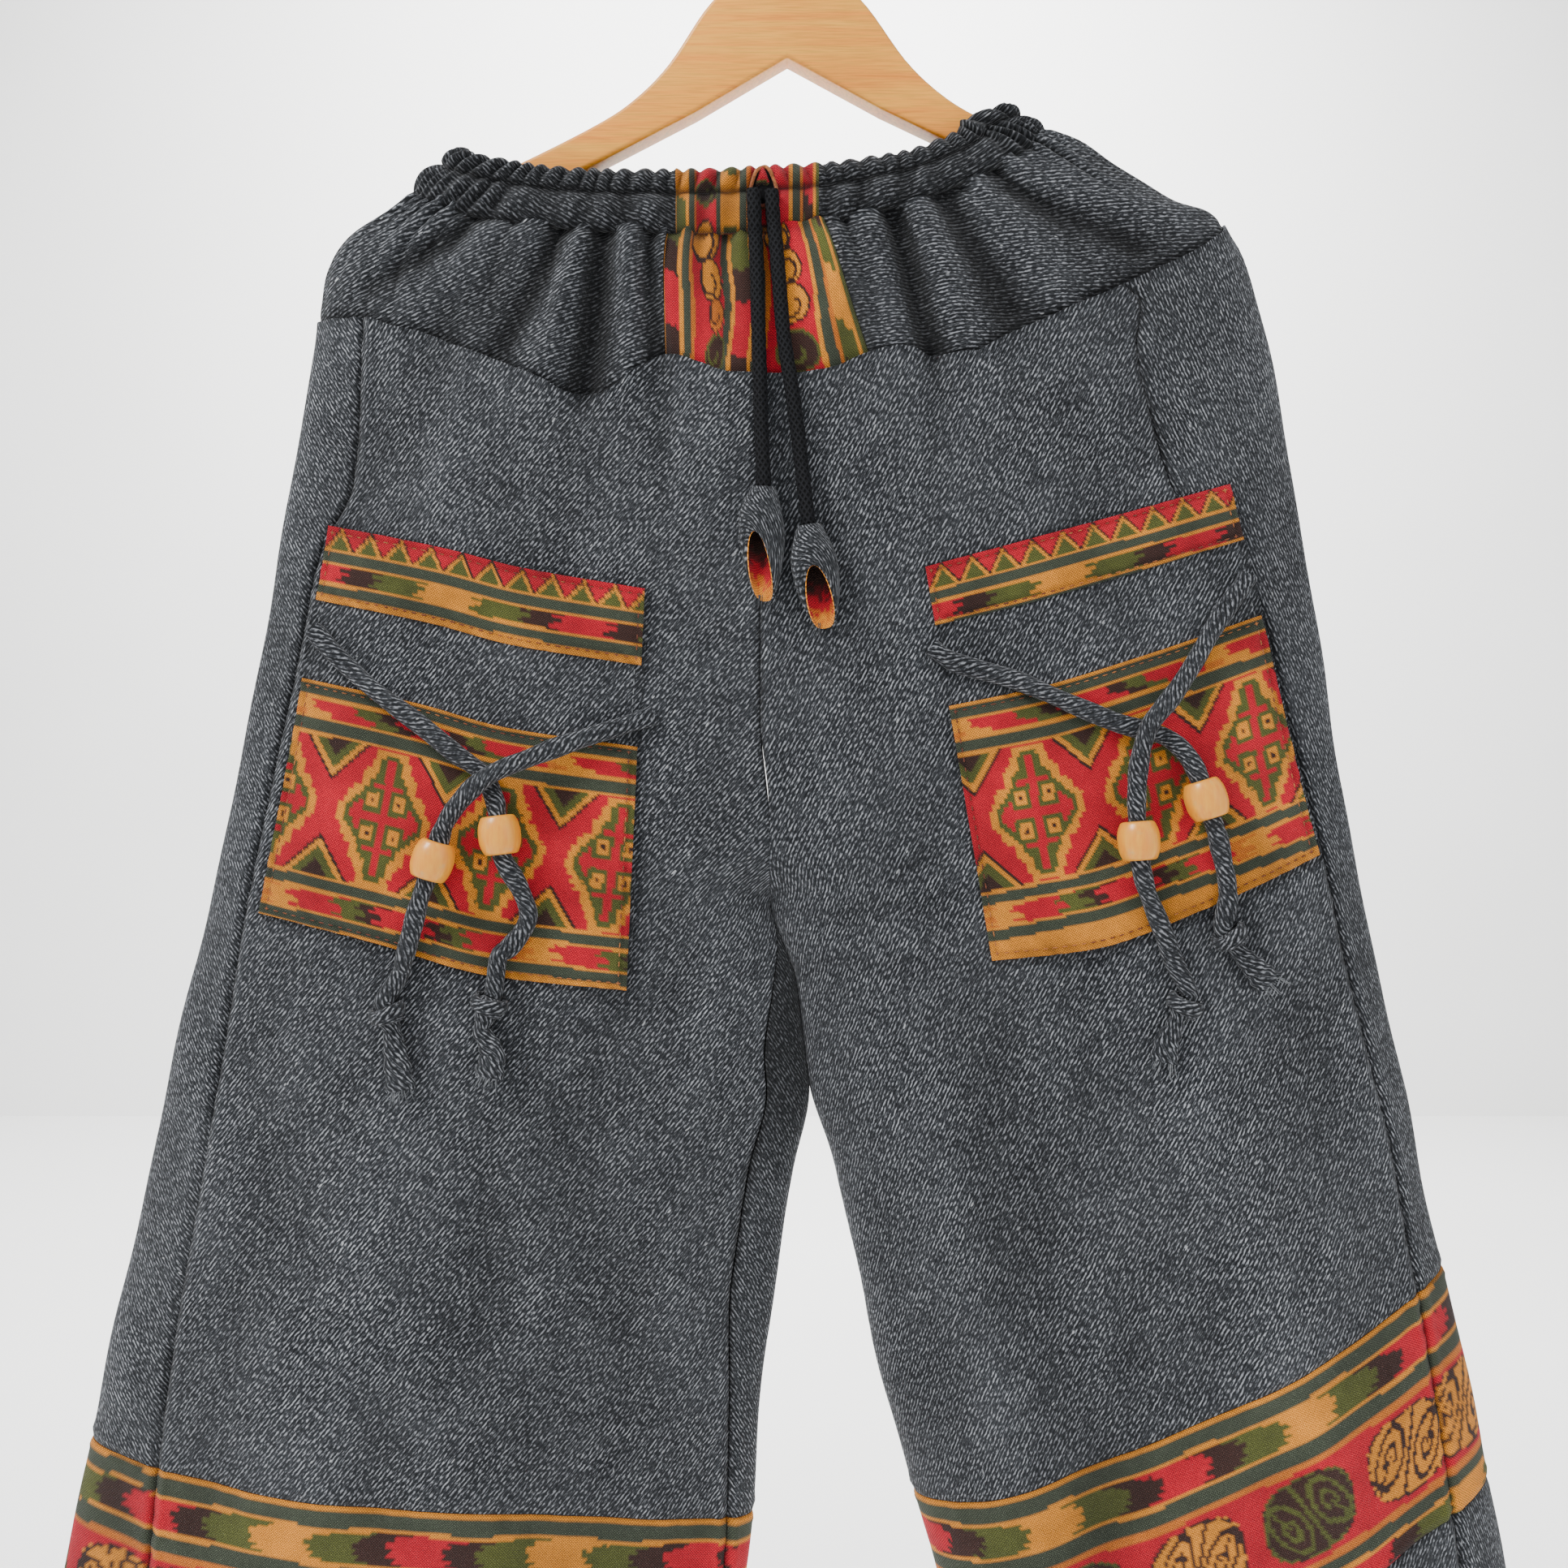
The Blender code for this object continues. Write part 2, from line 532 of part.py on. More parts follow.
def front_places(side, z):
    # Places of a leg front's columns at one height: centre first, side seam last.
    split = CENTRE_CELLS + FRONT_CELLS
    share = np.arange(split + 1) / split
    edge = math.radians(CENTRE_EDGE_BOTTOM[SIDES.index(side)])
    first = front_limit(side, z)
    last = side_place(side, z) - side_gap(side, z)
    top_seam = np.where(z > CROTCH_Z, (edge - math.radians(90)) / (last - math.radians(90)), CENTRE_CELLS / split)
    knee = np.clip(top_seam, 0.05, 0.6)
    centre_share = np.minimum(share * split / CENTRE_CELLS, 1.0) * knee
    rest_share = np.maximum(share * split - CENTRE_CELLS, 0.0) / FRONT_CELLS * (1 - knee)
    return first + (last - first) * (centre_share + rest_share)


def back_places(side, z):
    share = np.arange(BACK_CELLS + 1) / BACK_CELLS
    first = side_place(side, z) + side_gap(side, z)
    return first + (back_limit(side, z) - first) * share


def yoke_seam_z(side, places):
    return read_table(YOKE_SEAM, side_column(side), np.degrees(places))


def border_z(side, places, drop):
    # Height of a border line at each place: the line is read at its own x, found in a few turns.
    knots = BORDER_TOP[side]
    z = np.full(np.shape(places), -0.78)
    for _ in range(12):
        x = body_point(side, places, z, False)[..., 0]
        z = smooth_value([k[0] for k in knots], [k[1] for k in knots], x) - drop
    return z


def column_grid(side, place_reader, top_reader, bottom_reader, rows):
    # Places and heights of a panel whose columns keep their share of the way from seam to seam.
    edges = []
    for edge_reader in (top_reader, bottom_reader):
        z = np.full(place_reader(side, -0.3).shape, -0.3)
        for _ in range(12):
            z = edge_reader(side, place_reader(side, z))
        edges.append(z)
    top, bottom = edges
    heights = top + (bottom - top) * np.array(rows)[:, None]
    return place_reader(side, heights), heights


def even(count):
    return [i / count for i in range(count + 1)]


def level(z):
    return lambda side, places: np.full(np.shape(places), z)


def make_leg(side, materials, collection):
    grey = materials["grey"]
    border = materials["border"]
    hip_bottom = CROTCH_Z + CROTCH_CURVE
    for face, reader in (("front", front_places), ("back", back_places)):
        stretches = (
            (lambda s, p: yoke_seam_z(s, p) - SEAM_GAP / 2, level(hip_bottom), even(HIP_ROWS)),
            (level(hip_bottom), level(CROTCH_Z), even(FORK_ROWS)),
            (level(CROTCH_Z), lambda s, p: border_z(s, p, -SEAM_GAP / 2), LEG_ROWS),
        )
        grids = [column_grid(side, reader, *stretch) for stretch in stretches]
        places = np.concatenate([grids[0][0]] + [grid[0][1:] for grid in grids[1:]])
        heights = np.concatenate([grids[0][1]] + [grid[1][1:] for grid in grids[1:]])
        panel_wall(f"leg_{face}_{side}", side, places, heights, grey, collection)
        places, heights = column_grid(
            side, reader,
            lambda s, p: border_z(s, p, SEAM_GAP / 2),
            lambda s, p: border_z(s, p, BORDER_HEIGHT - SEAM_GAP / 2), even(BORDER_ROWS))
        panel_wall(f"border_{face}_{side}", side, places, heights, border, collection)
        places, heights = column_grid(
            side, reader,
            lambda s, p: border_z(s, p, BORDER_HEIGHT + SEAM_GAP / 2),
            lambda s, p: border_z(s, p, BORDER_HEIGHT + LOWER_LEG), even(LOWER_ROWS))
        panel_wall(f"lower_{face}_{side}", side, places, heights, grey, collection)


def casing_heights(side, places):
    degrees = np.degrees(places)
    top = read_table(CASING_EDGE, side_column(side), degrees)
    stitching = read_table(CASING_EDGE, side_column(side, 3), degrees)
    return top, stitching


def yoke_columns(side):
    # Places of the yoke's columns at its top and at its seam, from the centre panel to the centre back.
    index = SIDES.index(side)
    edge_bottom = math.radians(CENTRE_EDGE_BOTTOM[index])
    edge_top = math.radians(CENTRE_EDGE_TOP[index])
    seam, _ = column_grid(side, front_places, yoke_seam_z_reader, level(CROTCH_Z), [0.0])
    seam_back, _ = column_grid(side, back_places, yoke_seam_z_reader, level(CROTCH_Z), [0.0])
    front = seam[0][CENTRE_CELLS:]
    bottom = np.concatenate([front[:-1], (front[-1:] + seam_back[0][:1]) / 2, seam_back[0][1:]])
    share = (bottom - edge_bottom) / (math.radians(270) - edge_bottom)
    top = edge_top + (math.radians(270) - edge_top) * share
    return top, bottom


def yoke_seam_z_reader(side, places):
    return yoke_seam_z(side, places)


def gap_from_centre(side, places, z, gap):
    # The same places moved from the centre front or back by a gap in metres.
    reach = np.abs(outer_x(side, z) - inner_x(side, z))
    return places + gap / reach


def make_yoke(side, materials, collection):
    top, bottom = yoke_columns(side)
    _, stitching = casing_heights(side, top)
    top_z = stitching - SEAM_GAP
    bottom_z = yoke_seam_z(side, bottom) + SEAM_GAP / 2
    rows = even(YOKE_ROWS)
    share = np.array(rows)[:, None]
    places = top + (bottom - top) * share
    heights = top_z + (bottom_z - top_z) * share
    places[:, 0] = gap_from_centre(side, places[:, 0], heights[:, 0], SEAM_GAP / 2)
    places[:, -1] = gap_from_centre(side, places[:, -1], heights[:, -1], 0.0)
    panel_wall(f"yoke_{side}", side, places, heights, materials["grey"], collection)


def make_centre_panel(materials, collection):
    # The panel under the slit, from the left half's edge across the centre to the right half's.
    share = np.array(even(YOKE_ROWS))[:, None]
    halves = []
    for index, side in enumerate(SIDES):
        cells = np.array(even(CENTRE_CELLS))
        top = math.radians(90) + (math.radians(CENTRE_EDGE_TOP[index]) - math.radians(90)) * cells
        seam, _ = column_grid(side, front_places, yoke_seam_z_reader, level(CROTCH_Z), [0.0])
        bottom = seam[0][:CENTRE_CELLS + 1]
        _, stitching = casing_heights(side, top)
        top_z = stitching - SEAM_GAP
        bottom_z = yoke_seam_z(side, bottom) + SEAM_GAP / 2
        places = top + (bottom - top) * share
        heights = top_z + (bottom_z - top_z) * share
        places[:, -1] = gap_from_centre(side, places[:, -1], heights[:, -1], -SEAM_GAP / 2)
        outer = body_point(side, places, heights)
        inner = outer - body_normal(side, places, heights, False) * CLOTH
        halves.append((outer, inner))
    (left_outer, left_inner), (right_outer, right_inner) = halves
    middle_outer = (left_outer[:, :1] + right_outer[:, :1]) / 2
    middle_inner = (left_inner[:, :1] + right_inner[:, :1]) / 2
    outer = np.concatenate([left_outer[:, :0:-1], middle_outer, right_outer[:, 1:]], axis=1)
    inner = np.concatenate([left_inner[:, :0:-1], middle_inner, right_inner[:, 1:]], axis=1)
    wall("centre_panel", outer, inner, materials["border"], collection)


def casing_rings(side, places, phase, gaps):
    # Closed profiles of the casing, one at each place; the gathers rise and fall with the phase.
    # It stands upright in front and behind, and leans with the shoulder at its two ends.
    top, stitching = casing_heights(side, places)
    middle = (top + stitching) / 2
    lean = np.clip((UPRIGHT_BEYOND - np.abs(np.degrees(places) - 180)) / LEAN_BLEND, 0.0, 1.0)
    wave = np.sin(phase) * GATHER_RISE
    profile = []
    for height, out, gather in CASING_FRONT + CASING_INSIDE:
        heights = stitching + (top - stitching) * height
        shape_z = middle + (heights - middle) * lean
        stops = gap_from_centre(side, places, shape_z, gaps)
        normal = body_normal(side, stops, shape_z, False)
        points = body_point(side, stops, shape_z, False) + normal * (out + wave * gather)[:, None]
        points[:, 2] += heights - shape_z
        profile.append(points)
    return np.stack(profile, axis=1)


def make_casing(side, materials, collection):
    index = SIDES.index(side)
    edge = math.radians(CENTRE_EDGE_TOP[index])
    half = math.pi
    front_columns = GATHERS["front"] * COLUMNS_A_GATHER
    back_columns = GATHERS["back"] * COLUMNS_A_GATHER
    front = edge + (half - edge) * np.arange(front_columns + 1) / front_columns
    back = half + half / 2 * np.arange(1, back_columns + 1) / back_columns
    places = np.concatenate([front, back])
    phase = np.arange(len(places)) * 2 * math.pi / COLUMNS_A_GATHER
    gaps = np.zeros(len(places))
    gaps[0] = SEAM_GAP / 2
    rings = casing_rings(side, places, phase, gaps)
    loft(f"casing_{side}", list(rings), materials["grey"], collection)


def make_centre_casing(materials, collection):
    rings = []
    columns = GATHERS["centre"] * COLUMNS_A_GATHER
    for index, side in enumerate(SIDES):
        edge = math.radians(CENTRE_EDGE_TOP[index])
        first = math.radians(90)
        places = first + (edge - first) * np.arange(columns + 1) / columns
        phase = np.arange(columns + 1) * 2 * math.pi / COLUMNS_A_GATHER
        gaps = np.zeros(columns + 1)
        gaps[-1] = -SEAM_GAP / 2
        rings.append(casing_rings(side, places, phase, gaps))
    left, right = rings
    middle = (left[0] + right[0]) / 2
    loft("casing_centre", list(left[:0:-1]) + [middle] + list(right[1:]), materials["border"], collection)


def trim_centre_back(side, piece):
    # Each half stops half a seam gap short of the centre back.
    middle = float(read_table(INNER_EDGE, 1, -0.2))
    limit = middle + (-SEAM_GAP / 2 if side == "left" else SEAM_GAP / 2)
    for vert in piece.data.vertices:
        beyond = vert.co.x > limit if side == "left" else vert.co.x < limit
        if beyond and vert.co.y > 0:
            vert.co.x = limit


def support_tree(names):
    # The faces of some panels together, to rest another piece on.
    verts = []
    faces = []
    for name in names:
        mesh = bpy.data.objects[name].data
        first = len(verts)
        verts += [vert.co.copy() for vert in mesh.vertices]
        faces += [[first + k for k in face.vertices] for face in mesh.polygons]
    return BVHTree.FromPolygons(verts, faces)


def front_of(tree, x, z):
    # The foremost face at x and z; rays beside it see past a seam.
    fronts = []
    for beside in (-SEAM_GAP, 0.0, SEAM_GAP):
        hit = tree.ray_cast(Vector((x + beside, -FAR_FRONT, z)), Vector((0, 1, 0)))[0]
        fronts.append(hit.y if hit else FAR_FRONT)
    return min(fronts)


def pocket_lines(side):
    # Shares across and down a pocket where its rows and columns lie, the edges of the border pieces among them.
    pieces = POCKETS[side]
    columns = np.concatenate([[0.0], np.linspace(POCKET_INSET, 1 - POCKET_INSET, POCKET_COLUMNS), [1.0]])
    band = np.linspace(*pieces["band"], POCKET_BAND_ROWS + 1)
    patch = np.linspace(*pieces["patch"], POCKET_PATCH_ROWS + 1)
    middle = (pieces["band"][1] + pieces["patch"][0]) / 2
    return columns, np.concatenate([[0.0], band, [middle], patch, [1.0]])


def pocket_grid(side):
    # Front points of the pocket's back, resting on the leg's faces.
    edges = POCKETS[side]
    columns, rows = pocket_lines(side)
    share = np.linspace(0.0, 1.0, len(edges["top"]))
    lines = []
    for edge in ("top", "bottom"):
        points = np.array(edges[edge])
        lines.append(np.stack([smooth_value(share, points[:, k], columns) for k in (0, 1)], axis=1))
    flat = lines[0] + (lines[1] - lines[0]) * rows[:, None, None]
    tree = support_tree((f"leg_front_{side}", f"leg_back_{side}"))
    front = np.array([[front_of(tree, x, z) for x, z in line] for line in flat])
    front = cleared(tree, flat, front) - SEAM_GAP
    return np.stack([flat[..., 0], front, flat[..., 1]], axis=-1)


def cleared(tree, flat, front):
    # Moves the points forward where the support stands proud between them.
    moved = front.copy()
    parts = np.linspace(0.0, 1.0, 6)
    for i in range(flat.shape[0] - 1):
        for j in range(flat.shape[1] - 1):
            deepest = 0.0
            for down in parts:
                for across in parts:
                    shares = np.outer((1 - down, down), (1 - across, across))
                    x, z = np.tensordot(shares, flat[i:i + 2, j:j + 2], axes=2)
                    own = np.sum(shares * front[i:i + 2, j:j + 2])
                    deepest = max(deepest, own - front_of(tree, x, z))
            corners = moved[i:i + 2, j:j + 2]
            corners[:] = np.minimum(corners, front[i:i + 2, j:j + 2] - deepest)
    return moved


def pocket_wall(name, grid, lift, material, collection):
    forward = np.array((0.0, -1.0, 0.0))
    return wall(name, grid + forward * (lift + POCKET_CLOTH), grid + forward * lift, material, collection)


def make_pocket(side, materials, collection):
    grid = pocket_grid(side)
    over = POCKET_CLOTH + SEAM_GAP
    band = grid[1:POCKET_BAND_ROWS + 2, 1:-1]
    patch = grid[-POCKET_PATCH_ROWS - 2:-1, 1:-1]
    pocket_wall(f"pocket_{side}", grid, 0.0, materials["grey"], collection)
    pocket_wall(f"pocket_band_{side}", band, over, materials["border"], collection)
    pocket_wall(f"pocket_patch_{side}", patch, over, materials["border"], collection)


def curve_points(route, cuts=2):
    # Points of a smooth curve through the route, with the route's own points among them.
    points = [Vector(p) for p in route]
    ends = [2 * points[0] - points[1]] + points + [2 * points[-1] - points[-2]]
    result = []
    for before, first, second, after in zip(ends, ends[1:], ends[2:], ends[3:]):
        for step in range(cuts):
            t = step / cuts
            result.append(0.5 * (2 * first + (second - before) * t
                                 + (2 * before - 5 * first + 4 * second - after) * t ** 2
                                 + (3 * first - before - 3 * second + after) * t ** 3))
    return result + [points[-1]]


def cord(name, route, radius, material, collection, resolution=2):
    data = bpy.data.curves.new(name, "CURVE")
    data.dimensions = "3D"
    data.bevel_depth = radius
    data.bevel_resolution = resolution
    data.use_fill_caps = True
    spline = data.splines.new("POLY")
    spline.points.add(len(route) - 1)
    for point, place in zip(spline.points, route):
        point.co = (*place, 1.0)
    spline.use_smooth = True
    data.materials.append(material)
    piece = bpy.data.objects.new(name, data)
    collection.objects.link(piece)
    return piece


def laid_route(tree, rows, radius):
    # A smooth way through the rows that clears the faces halfway between its points too.
    fine = curve_points([(x, rise, z) for x, z, rise in rows], 4)
    laid = [laid_on(tree, point.x, point.z, radius, max(point.y, 0.0)) for point in fine]
    route = []
    for i in range(0, len(laid), 2):
        point = laid[i].copy()
        point.y = min(near.y for near in laid[max(i - 1, 0):i + 2])
        route.append(point)
    return route


def laid_on(tree, x, z, radius, rise=0.0):
    # The middle of a round thing of this radius that lies on the faces and then rises off them.
    reach = [front_of(tree, x, z) - radius]
    for step in range(CONTACT_DIRECTIONS):
        turn = 2 * math.pi * step / CONTACT_DIRECTIONS
        for share in (0.5, 0.85):
            beside = front_of(tree, x + radius * share * math.cos(turn), z + radius * share * math.sin(turn))
            reach.append(beside - radius * math.sqrt(1 - share ** 2))
    return Vector((x, min(reach) - SEAM_GAP - rise, z))


def make_bead(name, centre, direction, material, collection):
    # A barrel turned round Z, then laid along its cord.
    mesh = bpy.data.meshes.new(name)
    rounding = 0.0022
    top = BEAD_HALF_HEIGHT
    profile = [(BEAD_BORE, top), (BEAD_RADIUS - 2 * rounding, top), (BEAD_RADIUS - rounding * 0.7, top * 0.74),
               (BEAD_RADIUS, top * 0.28), (BEAD_RADIUS, -top * 0.28), (BEAD_RADIUS - rounding * 0.7, -top * 0.74),
               (BEAD_RADIUS - 2 * rounding, -top), (BEAD_BORE, -top)]
    shape = bmesh.new()
    corners = [shape.verts.new((radius, 0.0, height)) for radius, height in profile]
    for a, b in zip(corners, corners[1:] + corners[:1]):
        shape.edges.new((a, b))
    shape.to_mesh(mesh)
    shape.free()
    bead = bpy.data.objects.new(name, mesh)
    collection.objects.link(bead)
    turned = bead.modifiers.new("turned", "SCREW")
    turned.steps = BEAD_STEPS
    turned.render_steps = BEAD_STEPS
    turned.use_merge_vertices = True
    turned.merge_threshold = 0.00001
    turned.use_smooth_shade = True
    mesh.materials.append(material)
    bead.location = centre
    bead.rotation_euler = direction.to_track_quat("Z", "Y").to_euler()
    return bead


def ring_round(centre, direction, half_width, half_depth, sides=8):
    # An oval ring across a direction, wide in the front view and shallow from front to back.
    direction = direction.normalized()
    sideways = direction.cross(Vector((0, 1, 0))).normalized()
    forward = sideways.cross(direction).normalized()
    turns = [2 * math.pi * k / sides for k in range(sides)]
    return [centre + sideways * half_width * math.cos(t) + forward * half_depth * math.sin(t) for t in turns]


def tie_end_points(tree, spots):
    points = [laid_on(tree, x, z, KNOT_HALF_DEPTH) for x, z in spots]
    return [2 * points[0] - points[1]] + points


def knot_top(points):
    # The middle of the knot's top ring, and the way up from it.
    way_up = (points[0] - points[1]).normalized()
    return points[0].lerp(points[1], 1 + KNOT_TOP), way_up


def make_tie_end(name, points, material, collection):
    rings = []
    for share, half_width, half_depth in TIE_END_SECTIONS:
        index = min(int(share + 1), len(points) - 2)
        local = share + 1 - index
        centre = points[index].lerp(points[index + 1], local)
        rings.append(ring_round(centre, points[index + 1] - points[index], half_width, half_depth))
    return loft(name, rings, material, collection)


def make_ties(materials, collection):
    for name, rows in TIE_ROUTES.items():
        side = name.split("_")[0]
        under = (f"leg_front_{side}", f"leg_back_{side}", f"pocket_{side}", f"pocket_band_{side}",
                 f"pocket_patch_{side}")
        tree = support_tree(under)
        end = tie_end_points(tree, TIE_ENDS[name])
        top, way_up = knot_top(end)
        route = laid_route(tree, rows, TIE_RADIUS) + [top + way_up * TIE_STRAIGHT, top + way_up * SEAM_GAP]
        cord(f"tie_{name}", route, TIE_RADIUS, materials["grey"], collection)
        upper, lower = (laid_on(tree, *row[:2], TIE_RADIUS, IN_BEAD) for row in rows if row[2] == IN_BEAD)
        make_bead(f"bead_{name}", (upper + lower) / 2, upper - lower, materials["bead"], collection)
        make_tie_end(f"knot_{name}", end, materials["grey"], collection)


def make_drawstrings(materials, collection):
    tree = support_tree(("casing_centre", "centre_panel", "leg_front_left", "leg_front_right"))
    for side in SIDES:
        top, bottom = (laid_on(tree, x, z, LEAF_LIFT) for x, z in LEAVES[side])
        way_down = (bottom - top).normalized()
        route = laid_route(tree, DRAWSTRINGS[side], DRAWSTRING_RADIUS)
        route += [top - way_down * CORD_BEFORE_LEAF, top, top + way_down * CORD_IN_LEAF]
        cord(f"drawstring_{side}", route, DRAWSTRING_RADIUS, materials["cord"], collection)
        outer = []
        inner = []
        for share, half_width, half_depth in LEAF_SECTIONS:
            centre = top.lerp(bottom, share)
            outer.append(ring_round(centre, bottom - top, half_width, half_depth, 10))
            inner.append(ring_round(centre, bottom - top, half_width - LEAF_WALL, half_depth - LEAF_WALL, 10))
        loft(f"cord_leaf_{side}", outer + inner[::-1], materials["grey"], collection, closed=True)


def tipped(x, z):
    # A point of the hanger, turned about the middle of the hook's arc.
    pivot = Vector((0, -HOOK_INNER_RADIUS))
    flat = Vector((x, z)) - pivot
    cosine, sine = math.cos(HANGER_TIP), math.sin(HANGER_TIP)
    return (flat.x * cosine - flat.y * sine + pivot.x, flat.x * sine + flat.y * cosine + pivot.y)


def make_hanger(materials, collection):
    half = HANGER_UPPER + HANGER_END + HANGER_LOWER
    outline = [(x, z) for x, z in half] + [(-x, z) for x, z in half[-2:0:-1]]
    rounding = 0.0015
    data = bpy.data.curves.new("hanger", "CURVE")
    data.dimensions = "2D"
    data.fill_mode = "BOTH"
    data.extrude = HANGER_THICKNESS / 2 - rounding
    data.bevel_depth = rounding
    data.offset = -rounding
    data.bevel_resolution = 1
    spline = data.splines.new("POLY")
    spline.points.add(len(outline) - 1)
    for point, (x, z) in zip(spline.points, outline):
        point.co = (x, z + HOOK_INNER_RADIUS, 0.0, 1.0)
    spline.use_cyclic_u = True
    data.materials.append(materials["wood"])
    board = bpy.data.objects.new("hanger", data)
    board.location = (0.0, 0.0, -HOOK_INNER_RADIUS)
    board.rotation_euler = (math.radians(90), -HANGER_TIP, 0.0)
    collection.objects.link(board)
    return board


def make_hook(materials, collection):
    middle = HOOK_INNER_RADIUS + HOOK_WIRE
    arc = [math.radians(angle) for angle in range(205, -21, -15)]
    flat = [(middle * math.cos(a), middle * math.sin(a) - HOOK_INNER_RADIUS) for a in arc]
    top_of_wood = HANGER_UPPER[0][1]
    flat += [(0.0140, -0.0330), (0.0070, -0.0395), (0.0020, -0.0445), (0.0, -0.0510), (0.0, top_of_wood + 0.0003)]
    route = []
    for x, z in flat:
        x_tipped, z_tipped = tipped(x, z)
        route.append(Vector((x_tipped, 0.0, z_tipped)))
    return cord("hanger_hook", route, HOOK_WIRE, materials["steel"], collection)


def main():
    clear_scene()
    collection = bpy.data.collections.new("wool_trousers")
    bpy.context.scene.collection.children.link(collection)
    materials = {
        "grey": cloth_material("charcoal_twill", (0.075, 0.083, 0.095), 0.95),
        "border": cloth_material("border_cloth", (0.48, 0.14, 0.06), 0.9),
        "cord": cloth_material("black_cord", (0.015, 0.015, 0.017), 0.8),
        "bead": cloth_material("pale_bead", (0.85, 0.66, 0.36), 0.3),
        "wood": cloth_material("hanger_wood", (0.72, 0.43, 0.19), 0.4),
        "steel": cloth_material("hook_steel", (0.6, 0.6, 0.62), 0.3, 1.0),
    }
    for side in SIDES:
        make_casing(side, materials, collection)
        make_yoke(side, materials, collection)
        make_leg(side, materials, collection)
        make_pocket(side, materials, collection)
        for name in (f"casing_{side}", f"yoke_{side}"):
            trim_centre_back(side, bpy.data.objects[name])
    make_centre_casing(materials, collection)
    make_centre_panel(materials, collection)
    make_ties(materials, collection)
    make_drawstrings(materials, collection)
    make_hanger(materials, collection)
    make_hook(materials, collection)


main()
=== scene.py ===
# Wide wool trousers with a gathered drawstring waist and woven borders, on a wooden hanger.
# Metres, +Z up, the front faces -Y. Left and right are the viewer's.
# A place round a section is an angle: 90 degrees is the centre front, 180 the side, 270 the back.
import math

import bpy
import numpy as np
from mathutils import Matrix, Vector
from mathutils.bvhtree import BVHTree


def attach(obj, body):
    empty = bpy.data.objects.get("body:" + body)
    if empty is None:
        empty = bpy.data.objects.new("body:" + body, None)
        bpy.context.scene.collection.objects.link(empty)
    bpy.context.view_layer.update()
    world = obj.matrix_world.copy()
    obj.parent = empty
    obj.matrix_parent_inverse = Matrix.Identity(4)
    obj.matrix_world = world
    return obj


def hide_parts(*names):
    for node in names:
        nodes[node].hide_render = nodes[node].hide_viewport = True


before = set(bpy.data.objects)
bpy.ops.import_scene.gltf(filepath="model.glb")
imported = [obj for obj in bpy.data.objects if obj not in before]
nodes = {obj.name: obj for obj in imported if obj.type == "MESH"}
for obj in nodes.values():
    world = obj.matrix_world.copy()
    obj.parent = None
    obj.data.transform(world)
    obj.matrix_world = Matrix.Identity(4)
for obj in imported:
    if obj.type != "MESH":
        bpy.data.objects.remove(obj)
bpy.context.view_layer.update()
scene = bpy.context.scene
sides = ("left", "right")


def addObject(name, data):
    made = bpy.data.objects.new(name, data)
    scene.collection.objects.link(made)
    return made


# Camera, as the photograph was taken
cameraValues = {"distance": 0.78, "height": -0.463, "focalPixels": 1950.0, "framePixels": 1932.0}


def makeCamera(v):
    data = bpy.data.cameras.new("camera")
    data.sensor_width = 36.0
    data.lens = 36.0 * v["focalPixels"] / v["framePixels"]
    data.clip_start = 0.05
    data.clip_end = 30.0
    camera = addObject("camera", data)
    camera.location = (0.0, -v["distance"], v["height"])
    camera.rotation_euler = (math.radians(90), 0.0, 0.0)
    scene.camera = camera


makeCamera(cameraValues)


# The garment's measures, in metres
cloth = 0.0018
pocketCloth = 0.0013
wallShare = 0.8    # how much of the cloth's thickness the wall has between its grooves
seamGap = 0.0003
crotchZ = -0.520
crotchCurve = 0.060
borderHeight = 0.112
lowerLeg = 0.233
middlePlace = math.radians(90)    # the centre front
centreCells = 4
frontCells = 15
backCells = 16

# Outline seen from the front: z, left edge, right edge
outlineRows = (
    (-0.12, -0.12, 0.088), (-0.13, -0.132, 0.104), (-0.14, -0.143, 0.121), (-0.1458, -0.149, 0.13),
    (-0.1534, -0.158, 0.1516), (-0.162, -0.171, 0.167), (-0.17, -0.1797, 0.1805), (-0.178, -0.1886, 0.195),
    (-0.184, -0.197, 0.2098), (-0.19, -0.2055, 0.2155), (-0.198, -0.215, 0.222), (-0.206, -0.2215, 0.2267),
    (-0.216, -0.226, 0.23), (-0.23, -0.228, 0.233), (-0.26, -0.2325, 0.2392), (-0.32, -0.2423, 0.252),
    (-0.4, -0.259, 0.2641), (-0.48, -0.2739, 0.2775), (-0.56, -0.292, 0.2943), (-0.65, -0.3115, 0.3135),
    (-0.76, -0.3348, 0.3375), (-0.848, -0.3544, 0.3548), (-1.0, -0.386, 0.386), (-1.18, -0.422, 0.418),
)

# Centre seam and, below the crotch, each leg's inner edge: z, left, right
innerRows = (
    (-0.12, -0.01, -0.01), (-0.34, -0.0115, -0.0115), (-0.43, -0.0115, -0.0115), (-0.475, -0.0075, -0.0075),
    (-0.5, -0.0064, -0.008), (-0.52, -0.0062, -0.0078), (-0.54, 0.0001, -0.0012), (-0.56, 0.007, 0.0056),
    (-0.6, 0.012, 0.0106), (-0.612, 0.0132, 0.0124), (-0.65, 0.0048, 0.0246), (-0.7, -0.0026, 0.0368),
    (-0.76, -0.0108, 0.0489), (-0.848, -0.0192, 0.0752), (-1.0, -0.034, 0.113), (-1.18, -0.05, 0.155),
)

